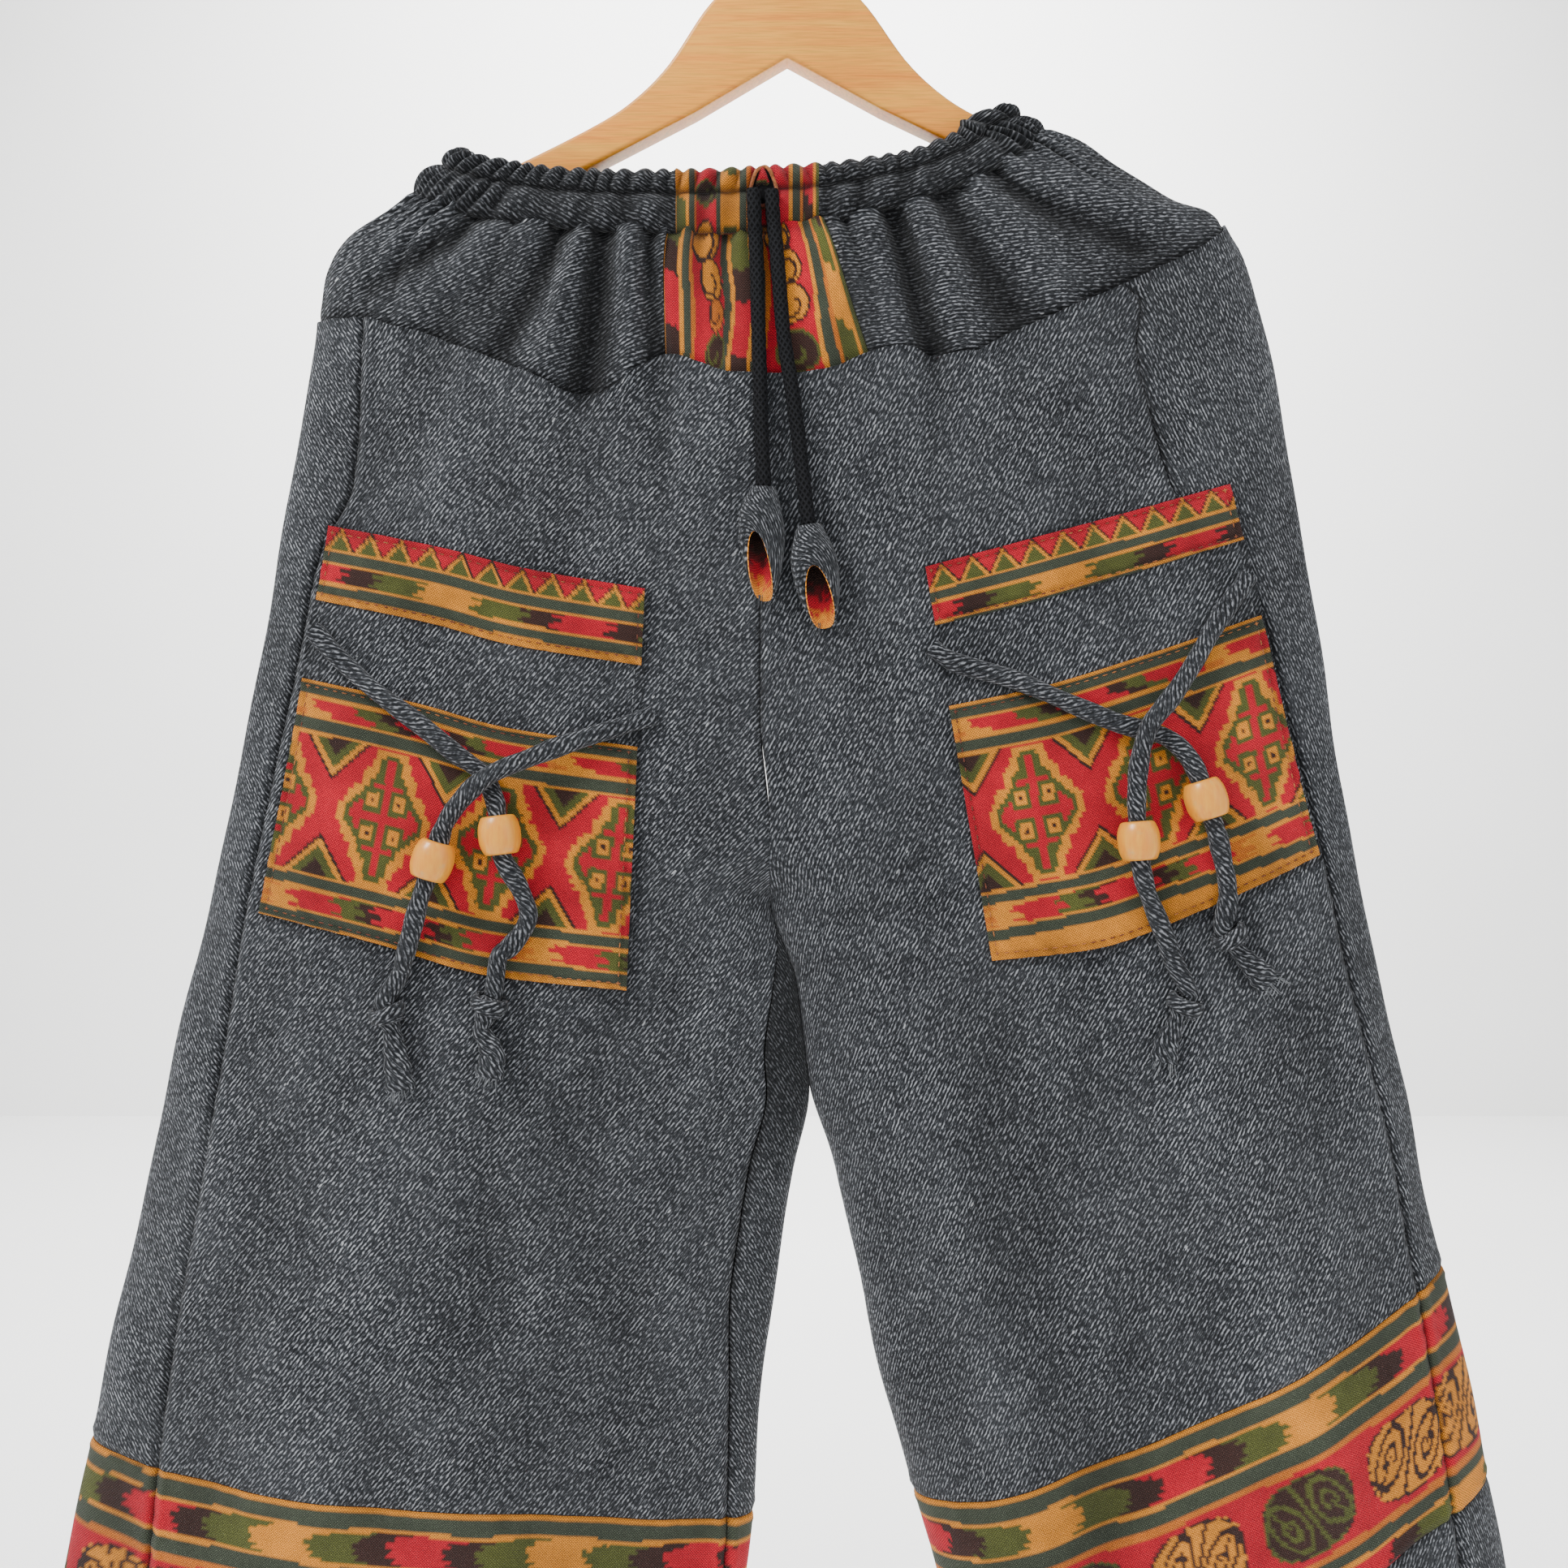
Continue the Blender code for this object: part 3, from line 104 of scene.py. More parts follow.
# Depth from front to back: z, left, right, squareness
sectionRows = (
    (-0.12, 0.037, 0.037, 10.0), (-0.17, 0.037, 0.037, 10.0), (-0.2, 0.04, 0.04, 9.0), (-0.25, 0.043, 0.043, 7.0),
    (-0.32, 0.044, 0.044, 5.0), (-0.52, 0.046, 0.046, 4.0), (-0.65, 0.05, 0.052, 3.5), (-0.76, 0.053, 0.062, 3.0),
    (-0.848, 0.056, 0.07, 3.0), (-1.18, 0.06, 0.082, 3.0),
)

# Side seams in the front view: z, left, right
sideSeamRows = (
    (-0.19, -0.196, 0.15), (-0.216, -0.2005, 0.1563), (-0.232, -0.2022, 0.172), (-0.25, -0.204, 0.17),
    (-0.29, -0.206, 0.178), (-0.32, -0.2095, 0.1865), (-0.34, -0.22, 0.203), (-0.36, -0.228, 0.219),
    (-0.385, -0.2325, 0.2335), (-0.42, -0.24, 0.242), (-0.48, -0.2517, 0.2576), (-0.56, -0.2657, 0.2749),
    (-0.65, -0.2792, 0.295), (-0.76, -0.2979, 0.3139), (-0.848, -0.306, 0.3243), (-1.0, -0.333, 0.352),
    (-1.18, -0.365, 0.382),
)

# Inner seams, degrees past the inner edge: z, left, right
inseamRows = (
    (-0.52, 0.0, 0.0), (-0.54, 12.0, -3.0), (-0.56, 23.0, -6.0), (-0.6, 30.0, -10.0), (-0.7, 30.0, -12.0),
    (-0.76, 25.0, -12.0), (-0.848, 20.0, -12.0), (-1.18, 22.0, -14.0),
)

# Waist casing: place, z of its top left and right, z of its stitching left and right
casingRows = (
    (90.0, -0.1655, -0.1655, -0.1968, -0.1968), (98.0, -0.167, -0.164, -0.1978, -0.1935),
    (105.0, -0.1672, -0.161, -0.1975, -0.188), (112.0, -0.1672, -0.1574, -0.197, -0.1825),
    (121.0, -0.1665, -0.151, -0.195, -0.174), (129.0, -0.165, -0.1458, -0.1925, -0.1662),
    (136.0, -0.1632, -0.142, -0.1895, -0.1597), (151.0, -0.159, -0.1368, -0.1815, -0.15),
    (165.0, -0.1545, -0.1335, -0.1755, -0.1465), (180.0, -0.151, -0.1318, -0.1714, -0.1452),
    (195.0, -0.1545, -0.1335, -0.1755, -0.1465), (209.0, -0.159, -0.1368, -0.1815, -0.15),
    (224.0, -0.1625, -0.1425, -0.1885, -0.1605), (231.0, -0.164, -0.1465, -0.191, -0.166),
    (240.0, -0.1655, -0.152, -0.1935, -0.1732), (250.0, -0.1668, -0.158, -0.1953, -0.1811),
    (270.0, -0.168, -0.168, -0.197, -0.197),
)

# Yoke seam: place, z left, z right
yokeSeamRows = (
    (90.0, -0.266, -0.2665), (94.0, -0.2655, -0.266), (98.0, -0.2605, -0.263), (102.0, -0.2565, -0.256),
    (106.0, -0.2655, -0.2535), (110.0, -0.275, -0.2565), (114.0, -0.275, -0.256), (118.0, -0.269, -0.248),
    (124.0, -0.261, -0.239), (131.0, -0.253, -0.229), (138.0, -0.246, -0.22), (144.0, -0.243, -0.213),
    (150.0, -0.2385, -0.207), (162.0, -0.2375, -0.197), (180.0, -0.2365, -0.189), (200.0, -0.24, -0.202),
    (235.0, -0.25, -0.236), (270.0, -0.256, -0.256),
)
centreEdgeTop = (103.0, 97.5)
centreEdgeBottom = (102.0, 102.0)

# Top of the leg borders: x, z in the front view
borderTopRows = {
    "left": ((-0.36, -0.778), (-0.3, -0.792), (-0.2, -0.807), (-0.08, -0.8145), (0.0, -0.822)),
    "right": ((0.05, -0.812), (0.094, -0.806), (0.152, -0.785), (0.2, -0.764), (0.267, -0.7325), (0.31, -0.706),
        (0.345, -0.689)),
}

# Large folds of each face: x and z of the upper and of the lower end, width, rise
foldRows = {
    "front": (
        (-0.1579, -0.1788, -0.21, -0.22, 0.009, 0.0035), (-0.1423, -0.1893, -0.198, -0.223, 0.006, -0.0035),
        (-0.1267, -0.1905, -0.1734, -0.232, 0.009, 0.0035), (-0.1073, -0.1983, -0.1326, -0.2507, 0.007, -0.004),
        (-0.097, -0.202, -0.115, -0.26, 0.006, 0.004), (-0.087, -0.2, -0.095, -0.2733, 0.007, -0.0065),
        (-0.0735, -0.2, -0.0743, -0.2702, 0.006, 0.0045), (-0.064, -0.199, -0.061, -0.26, 0.004, -0.003),
        (-0.045, -0.2, -0.045, -0.245, 0.006, 0.0022), (-0.027, -0.2, -0.025, -0.25, 0.006, -0.0028),
        (0.013, -0.196, 0.025, -0.245, 0.007, 0.0022), (0.042, -0.19, 0.054, -0.252, 0.008, 0.003),
        (0.0552, -0.193, 0.0708, -0.256, 0.006, -0.0065), (0.0657, -0.185, 0.0851, -0.245, 0.007, 0.004),
        (0.0813, -0.185, 0.1065, -0.2352, 0.008, -0.004), (0.093, -0.18, 0.1299, -0.2236, 0.009, 0.0035),
        (0.1073, -0.177, 0.1687, -0.2041, 0.007, -0.0035), (0.1143, -0.168, 0.188, -0.19, 0.008, 0.003),
        (-0.19, -0.59, -0.225, -0.8, 0.03, 0.003), (-0.075, -0.59, -0.105, -0.83, 0.028, -0.0035),
        (0.095, -0.59, 0.15, -0.83, 0.028, -0.0035), (0.19, -0.58, 0.245, -0.78, 0.03, 0.003),
        (0.164, -0.23, 0.17, -0.305, 0.01, -0.0025),
    ),
    "back": (
        (-0.16, -0.19, -0.205, -0.25, 0.012, 0.0035), (-0.125, -0.195, -0.15, -0.26, 0.011, -0.004),
        (-0.09, -0.2, -0.105, -0.27, 0.012, 0.004), (-0.05, -0.2, -0.055, -0.27, 0.012, -0.004),
        (0.025, -0.2, 0.03, -0.27, 0.012, 0.0035), (0.06, -0.195, 0.075, -0.26, 0.012, -0.004),
        (0.095, -0.185, 0.125, -0.25, 0.012, 0.004), (0.125, -0.175, 0.175, -0.23, 0.012, -0.0035),
        (-0.17, -0.56, -0.21, -0.95, 0.03, 0.004), (-0.08, -0.58, -0.11, -0.95, 0.028, -0.004),
        (0.11, -0.58, 0.18, -0.95, 0.028, -0.004), (0.2, -0.56, 0.27, -0.9, 0.03, 0.004),
    ),
}

# Gathers of the waist casing on each part
gathers = {"front": 11, "centre": 4, "back": 15}
casingGap = seamGap / 14    # the ruffles close over the rest of the gap
uprightBeyond = 70.0
leanWithin = 30.0

# Pockets: edges in the front view, and the heights of their border pieces
pocketRows = {
    "left": {
        "top": ((-0.2205, -0.3371), (-0.1606, -0.3495), (-0.1259, -0.3584), (-0.0649, -0.3688)),
        "bottom": ((-0.2533, -0.5255), (-0.1954, -0.5398), (-0.1413, -0.5553), (-0.0737, -0.563)),
        "band": (0.006, 0.195), "patch": (0.395, 0.994), "cross": 0.052,
    },
    "right": {
        "top": ((0.0664, -0.3584), (0.105, -0.348), (0.16, -0.333), (0.2158, -0.3171)),
        "bottom": ((0.0988, -0.5514), (0.1483, -0.5456), (0.2, -0.527), (0.2602, -0.5001)),
        "band": (0.006, 0.152), "patch": (0.35, 0.98), "cross": 0.033,
    },
}
pocketInset = 0.008
farFront = 0.5
contactDirections = 12

# Ties: x, z and how far each point rises off what it lies on
tieRadius = 0.0037
beadRadius = 0.01
inBead = beadRadius - tieRadius
tieRows = {
    "left_outer": ((-0.2256, -0.389, 0.0), (-0.216, -0.3996, 0.0), (-0.1969, -0.4168, 0.0), (-0.174, -0.434, 0.0),
        (-0.155, -0.4493, 0.0), (-0.143, -0.458, 0.0), (-0.1367, -0.47, 0.0035), (-0.1348, -0.4775, inBead),
        (-0.1326, -0.4965, inBead), (-0.1265, -0.509, 0.002), (-0.121, -0.525, 0.0), (-0.127, -0.537, 0.0),
        (-0.135, -0.545, 0.0015)),
    "left_inner": ((-0.0615, -0.4302, 0.0), (-0.0786, -0.4359, 0.0), (-0.1015, -0.4435, 0.0),
        (-0.1206, -0.4512, 0.0062), (-0.1378, -0.4588, 0.0108), (-0.15, -0.469, 0.0084), (-0.1585, -0.48, 0.0062),
        (-0.1622, -0.4895, inBead), (-0.168, -0.5083, inBead), (-0.1735, -0.523, 0.0014), (-0.1779, -0.539, 0.0),
        (-0.182, -0.553, 0.0)),
    "right_inner": ((0.0702, -0.3977, 0.0), (0.0817, -0.4054, 0.0), (0.1084, -0.413, 0.0004),
        (0.1351, -0.4245, 0.0004), (0.16, -0.4345, 0.0), (0.18, -0.44, 0.0), (0.1905, -0.449, 0.003),
        (0.1962, -0.461, inBead), (0.2018, -0.4795, inBead), (0.2065, -0.493, 0.0014), (0.21, -0.508, 0.0),
        (0.2105, -0.519, 0.0)),
    "right_outer": ((0.2229, -0.3634, 0.0), (0.2076, -0.3844, 0.0), (0.1962, -0.4035, 0.0), (0.183, -0.422, 0.0048),
        (0.1725, -0.4345, 0.0086), (0.168, -0.449, 0.0062), (0.1664, -0.465, 0.0056), (0.1661, -0.48, inBead),
        (0.1675, -0.4995, inBead), (0.171, -0.512, 0.0014), (0.1775, -0.528, 0.0), (0.1855, -0.548, 0.0)),
}
tieEndRows = {
    "left_outer": ((-0.1397, -0.5676), (-0.1435, -0.579), (-0.1378, -0.5905), (-0.1397, -0.6019)),
    "left_inner": ((-0.1874, -0.5714), (-0.185, -0.58), (-0.1836, -0.59), (-0.1809, -0.6077)),
    "right_inner": ((0.2115, -0.5355), (0.216, -0.543), (0.223, -0.55), (0.2305, -0.558)),
    "right_outer": ((0.1893, -0.5676), (0.185, -0.576), (0.1809, -0.585), (0.179, -0.5943)),
}
tieStraight = 0.0035

knotHalfDepth = 0.006
beadHalfHeight = 0.0092
beadBore = 0.0052
knotTopShare = -0.3
tieEndSections = ((knotTopShare, 0.0042, 0.004), (-0.1, 0.0074, 0.006), (0.12, 0.0078, 0.006), (0.34, 0.006, 0.005),
                    (0.8, 0.004, 0.0034), (1.6, 0.0052, 0.003), (2.4, 0.0064, 0.0028), (3.0, 0.0072, 0.0022))

# Drawstrings and their leaves
drawstringRadius = 0.0035
cordBeforeLeaf = 0.005
cordInLeaf = 0.004
drawstringRows = {
    "left": ((-0.0145, -0.18, 0.0005), (-0.014, -0.195, 0.0005), (-0.0132, -0.21, 0.0005),
        (-0.0122, -0.247, 0.0001), (-0.0115, -0.27, 0.0001), (-0.0108, -0.295, 0.0005), (-0.0102, -0.308, 0.003)),
    "right": ((-0.006, -0.18, 0.0005), (-0.005, -0.195, 0.0005), (-0.0034, -0.21, 0.0005),
        (-0.0004, -0.247, 0.0001), (0.003, -0.27, 0.0001), (0.0065, -0.295, 0.0001), (0.0085, -0.313, 0.0005),
        (0.0102, -0.327, 0.003)),
}
leafSections = ((0.0, 0.0058, 0.0054), (0.22, 0.009, 0.0064), (0.5, 0.0112, 0.0075),
                 (0.78, 0.0102, 0.007), (1.0, 0.0072, 0.0055))
leafLift = 0.0071
leafEnds = {
    "left": ((-0.0097, -0.3225), (-0.0115, -0.376)),
    "right": ((0.0118, -0.3405), (0.019, -0.389)),
}

# Hanger: upper edge from the middle out, its end, lower edge from the end in
hangerTip = math.radians(1.0)
hookInnerRadius = 0.018
hookWire = 0.0018
hangerThickness = 0.0152
hangerUpper = ((0.0, -0.066), (0.015, -0.0668), (0.027, -0.0715), (0.04, -0.084), (0.058, -0.11),
                (0.075, -0.1268), (0.094, -0.139), (0.13, -0.1565), (0.155, -0.167), (0.18, -0.1791),
                (0.196, -0.191))
hangerEnd = ((0.203, -0.197), (0.2045, -0.2035), (0.199, -0.2085))
hangerLower = ((0.19, -0.2065), (0.16, -0.19), (0.0948, -0.1583), (0.0452, -0.1337), (0.0, -0.108))


# Reading the tables, and the surface of the cloth

def smoothValue(places, values, at):
    # A cubic through the values that never swings past them.
    places = np.asarray(places, float)
    values = np.asarray(values, float)
    at = np.clip(np.asarray(at, float), places[0], places[-1])
    steps = np.diff(places)
    rises = np.diff(values) / steps
    slopes = np.empty_like(values)
    slopes[0] = rises[0]
    slopes[-1] = rises[-1]
    both = rises[:-1] * rises[1:]
    weights = steps[:-1] + steps[1:]
    harmonic = rises[:-1] * (steps[:-1] + 2 * steps[1:]) + rises[1:] * (2 * steps[:-1] + steps[1:])
    slopes[1:-1] = np.where(both > 0, 3 * weights * both / np.where(both > 0, harmonic, 1.0), 0.0)
    cell = np.clip(np.searchsorted(places, at, side="right") - 1, 0, len(steps) - 1)
    share = (at - places[cell]) / steps[cell]
    return (values[cell] * (1 + 2 * share) * (1 - share) ** 2
            + slopes[cell] * steps[cell] * share * (1 - share) ** 2
            + values[cell + 1] * share ** 2 * (3 - 2 * share)
            + slopes[cell + 1] * steps[cell] * share ** 2 * (share - 1))


def bell(distance, width, power=2):
    # 1 at no distance, and falling to 0 beyond the width.
    return np.exp(-(distance / width) ** power)


def readTable(table, column, at):
    rows = sorted(table)
    return smoothValue([row[0] for row in rows], [row[column] for row in rows], at)


def sideColumn(side, leftColumn=1):
    return leftColumn + sides.index(side)


def outerX(side, z):
    return readTable(outlineRows, sideColumn(side), z)


def innerX(side, z):
    shift = -seamGap / 2 if side == "left" else seamGap / 2
    return readTable(innerRows, sideColumn(side), z) + shift


def sectionOpening(z):
    # The place where the centre seam lies: 90 degrees on the hips, 0 at and under the crotch.
    share = np.clip((np.asarray(z, float) - crotchZ) / crotchCurve, 0.0, 1.0)
    return np.radians(90.0) * np.sin(np.radians(90.0) * share)


def foldRelief(face, x, z, rows=foldRows):
    rise = np.zeros(np.broadcast(x, z).shape)
    for x0, z0, x1, z1, width, height in rows[face]:
        along = np.array((x1 - x0, z1 - z0))
        length = np.hypot(*along)
        along = along / length
        share = ((x - x0) * along[0] + (z - z0) * along[1]) / length
        across = (x - x0) * -along[1] + (z - z0) * along[0]
        beyond = np.maximum(np.maximum(-share, share - 1.0), 0.0) * length
        rise = rise + height * np.exp(-(across / width) ** 2 - (beyond / (1.5 * width)) ** 2)
    return rise


def bodyPoint(side, place, z, folded=True):
    # Outer surface of the cloth at a place in radians and a height.
    outer = outerX(side, z)
    across = (1 + np.cos(place)) / (1 + np.cos(sectionOpening(z)))
    x = outer + (innerX(side, z) - outer) * across
    halfDepth = readTable(sectionRows, sideColumn(side), z) / 2
    square = readTable(sectionRows, 3, z)
    bulge = np.sign(np.sin(place)) * np.sqrt(1 - np.abs(np.cos(place)) ** square)
    y = -halfDepth * bulge
    if folded:
        y = y - np.abs(np.sin(place)) * np.where(
            np.sin(place) > 0, foldRelief("front", x, z), -foldRelief("back", x, z))
    return np.stack(np.broadcast_arrays(x, y, z), axis=-1)


def unit(vectors):
    return vectors / np.linalg.norm(vectors, axis=-1, keepdims=True)


def bodyNormal(side, place, z, folded=True):
    turn = 0.004
    rise = 0.0008
    roundStep = bodyPoint(side, place + turn, z, folded) - bodyPoint(side, place - turn, z, folded)
    upStep = bodyPoint(side, place, z + rise, folded) - bodyPoint(side, place, z - rise, folded)
    normal = unit(np.cross(roundStep, upStep))
    # The left half runs round clockwise seen from above, the right half the other way.
    return -normal if side == "left" else normal


def sidePlace(side, z):
    # The place of the side seam, in radians, from its x in the front view.
    outer = outerX(side, z)
    share = (readTable(sideSeamRows, sideColumn(side), z) - outer) / (innerX(side, z) - outer)
    return np.arccos(np.clip(share * (1 + np.cos(sectionOpening(z))) - 1, -1.0, 1.0))


def seamStep(side, z):
    # Half the seam gap as an angle at the inner leg, where the wall turns fastest.
    return seamGap / readTable(sectionRows, sideColumn(side), z)


def innerLimit(side, z, hand):
    # Where a panel ends at the middle: hand 1 for the front, -1 for the back, less a whole turn.
    step = seamStep(side, z)
    inseam = np.radians(readTable(inseamRows, sideColumn(side), z)) + hand * step
    return np.where(z > crotchZ, hand * np.maximum(sectionOpening(z), step), inseam)


def sideGap(side, z):
    # Half the seam gap as an angle at the side seam.
    here = sidePlace(side, z)
    step = 0.001
    reach = bodyPoint(side, here + step, z, False) - bodyPoint(side, here - step, z, False)
    return seamGap / 2 * 2 * step / np.linalg.norm(reach, axis=-1)


def frontPlaces(side, z, fine):
    # Places of a leg front's columns at one height: centre first, side seam last.
    split = centreCells + frontCells
    share = even(split * fine)
    edge = math.radians(centreEdgeBottom[sides.index(side)])
    first = innerLimit(side, z, 1)
    last = sidePlace(side, z) - sideGap(side, z)
    topSeam = np.where(z > crotchZ, (edge - middlePlace) / (last - middlePlace), centreCells / split)
    knee = np.clip(topSeam, 0.05, 0.6)
    centreShare = np.minimum(share * split / centreCells, 1.0) * knee
    restShare = np.maximum(share * split - centreCells, 0.0) / frontCells * (1 - knee)
    return first + (last - first) * (centreShare + restShare)


def backPlaces(side, z, fine):
    share = even(backCells * fine)
    first = sidePlace(side, z) + sideGap(side, z)
    return first + (2 * math.pi + innerLimit(side, z, -1) - first) * share


def yokeSeamZ(side, places):
    return readTable(yokeSeamRows, sideColumn(side), np.degrees(places))


def borderZ(side, places, drop):
    # Height of a border line at each place, read at its own x.
    z = np.full(np.shape(places), -0.78)
    for _ in range(12):
        x = bodyPoint(side, places, z, False)[..., 0]
        z = readTable(borderTopRows[side], 1, x) - drop
    return z


def columnGrid(side, placeReader, topReader, bottomReader, rows):
    # Places and heights of a panel; its columns keep their share from seam to seam.
    edges = []
    for edgeReader in (topReader, bottomReader):
        z = np.full(placeReader(side, -0.3).shape, -0.3)
        for _ in range(12):
            z = edgeReader(side, placeReader(side, z))
        edges.append(z)
    top, bottom = edges
    heights = top + (bottom - top) * np.array(rows)[:, None]
    return placeReader(side, heights), heights


def even(count):
    return np.arange(count + 1) / count


def level(z):
    return lambda side, places: np.full(np.shape(places), z)


def casingHeights(side, places):
    degrees = np.degrees(places)
    top = readTable(casingRows, sideColumn(side), degrees)
    stitching = readTable(casingRows, sideColumn(side, 3), degrees)
    return top, stitching


def yokeColumns(side, fine):
    # Places of the yoke's columns at its top and at its seam, from the centre panel back.
    index = sides.index(side)
    edgeBottom = math.radians(centreEdgeBottom[index])
    edgeTop = math.radians(centreEdgeTop[index])
    seam, _ = columnGrid(side, lambda s, z: frontPlaces(s, z, fine), yokeSeamZ, level(crotchZ), [0.0])
    seamBack, _ = columnGrid(side, lambda s, z: backPlaces(s, z, fine), yokeSeamZ, level(crotchZ), [0.0])
    front = seam[0][centreCells * fine:]
    bottom = np.concatenate([front[:-1], (front[-1:] + seamBack[0][:1]) / 2, seamBack[0][1:]])
    share = (bottom - edgeBottom) / (math.radians(270) - edgeBottom)
    top = edgeTop + (math.radians(270) - edgeTop) * share
    return top, bottom


def gapFromCentre(side, places, z, gap):
    # The same places moved from the centre front or back by a gap in metres.
    reach = np.abs(outerX(side, z) - innerX(side, z))
    return places + gap / reach


def frontOf(tree, x, z):
    # The foremost face at x and z; rays beside it see past a seam.
    fronts = []
    for beside in (-seamGap, 0.0, seamGap):
        hit = tree.ray_cast(Vector((x + beside, -farFront, z)), Vector((0, 1, 0)))[0]
        fronts.append(hit.y if hit else farFront)
    return min(fronts)


def curvePoints(route, cuts=2):
    # Points of a smooth curve through the route's own points.
    points = [Vector(p) for p in route]
    ends = [2 * points[0] - points[1]] + points + [2 * points[-1] - points[-2]]
    result = []
    for before, first, second, after in zip(ends, ends[1:], ends[2:], ends[3:]):
        for step in range(cuts):
            t = step / cuts
            result.append(0.5 * (2 * first + (second - before) * t
                                 + (2 * before - 5 * first + 4 * second - after) * t ** 2
                                 + (3 * first - before - 3 * second + after) * t ** 3))
    return result + [points[-1]]


def laidRoute(tree, rows, radius):
    # A smooth way through the rows that also clears the faces between them.
    fine = curvePoints([(x, rise, z) for x, z, rise in rows], 4)
    laid = [laidOn(tree, point.x, point.z, radius, max(point.y, 0.0)) for point in fine]
    route = []
    for i in range(0, len(laid), 2):
        point = laid[i].copy()
        point.y = min(near.y for near in laid[max(i - 1, 0):i + 2])
        route.append(point)
    return route


def laidOn(tree, x, z, radius, rise=0.0):
    # The middle of a round thing of this radius that lies on the faces and then rises off them.
    reach = [frontOf(tree, x, z) - radius]
    for step in range(contactDirections):
        turn = 2 * math.pi * step / contactDirections
        for share in (0.5, 0.85):
            beside = frontOf(tree, x + radius * share * math.cos(turn), z + radius * share * math.sin(turn))
            reach.append(beside - radius * math.sqrt(1 - share ** 2))
    return Vector((x, min(reach) - seamGap - rise, z))


def tieEndPoints(tree, spots):
    points = [laidOn(tree, x, z, knotHalfDepth) for x, z in spots]
    return [2 * points[0] - points[1]] + points


def knotTop(points):
    # The middle of the knot's top ring, and the way up from it.
    wayUp = (points[0] - points[1]).normalized()
    return points[0].lerp(points[1], 1 + knotTopShare), wayUp


def tipped(x, z):
    # A point of the hanger, turned about the middle of the hook's arc.
    pivot = Vector((0, -hookInnerRadius))
    flat = Vector((x, z)) - pivot
    cosine, sine = math.cos(hangerTip), math.sin(hangerTip)
    return (flat.x * cosine - flat.y * sine + pivot.x, flat.x * sine + flat.y * cosine + pivot.y)


# Meshes
def addPaintedShade(mesh, shadeAndWear):
    # Painted shade and light at each point, which the cloth materials multiply their colour by: 1 is even, less in
    # furrows and along seams, more on ridges.
    values = np.ones(len(mesh.vertices)) if shadeAndWear is None else np.clip(shadeAndWear, 0.30, 1.45)
    mesh.attributes.new("shadeAndWear", "FLOAT", "POINT").data.foreach_set("value", values.astype(np.float32))


def sheetMesh(name, outer, inner, uv, material, colour, shadeAndWear):
    # A closed wall between two grids of points, with a UV map in metres.
    rows, columns, _ = outer.shape
    count = rows * columns
    index = np.arange(count).reshape(rows, columns)
    a, b, c, d = index[:-1, :-1], index[:-1, 1:], index[1:, 1:], index[1:, :-1]
    front = np.stack([a, b, c, d], axis=-1).reshape(-1, 4)
    back = front[:, ::-1] + count
    rim = np.concatenate([index[0, :], index[1:, -1], index[-1, -2::-1], index[-2:0:-1, 0]])
    after = np.roll(rim, -1)
    edge = np.stack([after, rim, rim + count, after + count], axis=-1)
    faces = np.concatenate([front, back, edge])
    points = np.concatenate([outer.reshape(-1, 3), inner.reshape(-1, 3)])
    mesh = bpy.data.meshes.new(name)
    mesh.vertices.add(len(points))
    mesh.vertices.foreach_set("co", points.astype(np.float32).ravel())
    mesh.loops.add(faces.size)
    mesh.loops.foreach_set("vertex_index", faces.astype(np.int32).ravel())
    mesh.polygons.add(len(faces))
    mesh.polygons.foreach_set("loop_start", np.arange(0, faces.size, 4, dtype=np.int32))
    mesh.update(calc_edges=True)
    mesh.shade_smooth()
    both = np.concatenate([uv.reshape(-1, 2)] * 2)
    mesh.uv_layers.new(name="cloth").data.foreach_set("uv", both[faces.ravel()].astype(np.float32).ravel())
    if colour is not None:
        addPattern(mesh, np.concatenate([colour.reshape(-1, 3)] * 2))
    addPaintedShade(mesh, np.tile(shadeAndWear.ravel(), 2))
    mesh.set_sharp_from_angle(angle=math.radians(70))
    mesh.materials.append(material)
    return addObject(name, mesh)


def plainMesh(piece):
    return bpy.data.meshes.new_from_object(piece.evaluated_get(bpy.context.evaluated_depsgraph_get()))


def addPattern(mesh, colour):
    layer = mesh.color_attributes.new("pattern", "FLOAT_COLOR", "POINT")
    layer.data.foreach_set("color", np.c_[colour, np.ones(len(colour))].astype(np.float32).ravel())


def lengthsAlong(points):
    return np.concatenate([[0.0], np.cumsum(np.linalg.norm(np.diff(points, axis=0), axis=1))])


def gridArcs(points):
    # Lengths along the rows and down the columns of a grid, in metres.
    across = np.linalg.norm(np.diff(points, axis=1), axis=-1)
    down = np.linalg.norm(np.diff(points, axis=0), axis=-1)
    return (np.pad(np.cumsum(across, axis=1), ((0, 0), (1, 0))),
            np.pad(np.cumsum(down, axis=0), ((1, 0), (0, 0))))


def legUv(points, side, face):
    # True x and z on the flats, and the depth added round both edges.
    x, y, z = points[..., 0], points[..., 1], points[..., 2]
    middle = (outerX(side, z) + innerX(side, z)) / 2
    edge = np.tanh((x - middle) / 0.03)
    half = readTable(sectionRows, sideColumn(side), z) / 2
    u = x + edge * (half - np.abs(y))
    return np.stack([u if face == "front" else -u, z], axis=-1)


def clothUv(points, along):
    # The column at this share keeps its true x, the rest is measured from it along the cloth.
    across, _ = gridArcs(points * np.array((1.0, 1.0, 0.0)))
    middle = int(points.shape[1] * along)
    hand = np.sign((points[:, middle, 0] - points[:, 0, 0]).mean())
    u = points[:, middle:middle + 1, 0] + hand * (across - across[:, middle:middle + 1])
    return np.stack([u, points[..., 2]], axis=-1)


def seamDip(distance, depth, width):
    # A groove at a seam with a soft roll of cloth beside it.
    return depth * (0.75 * bell(distance - 2.6 * width, 1.2 * width) - bell(distance, width))


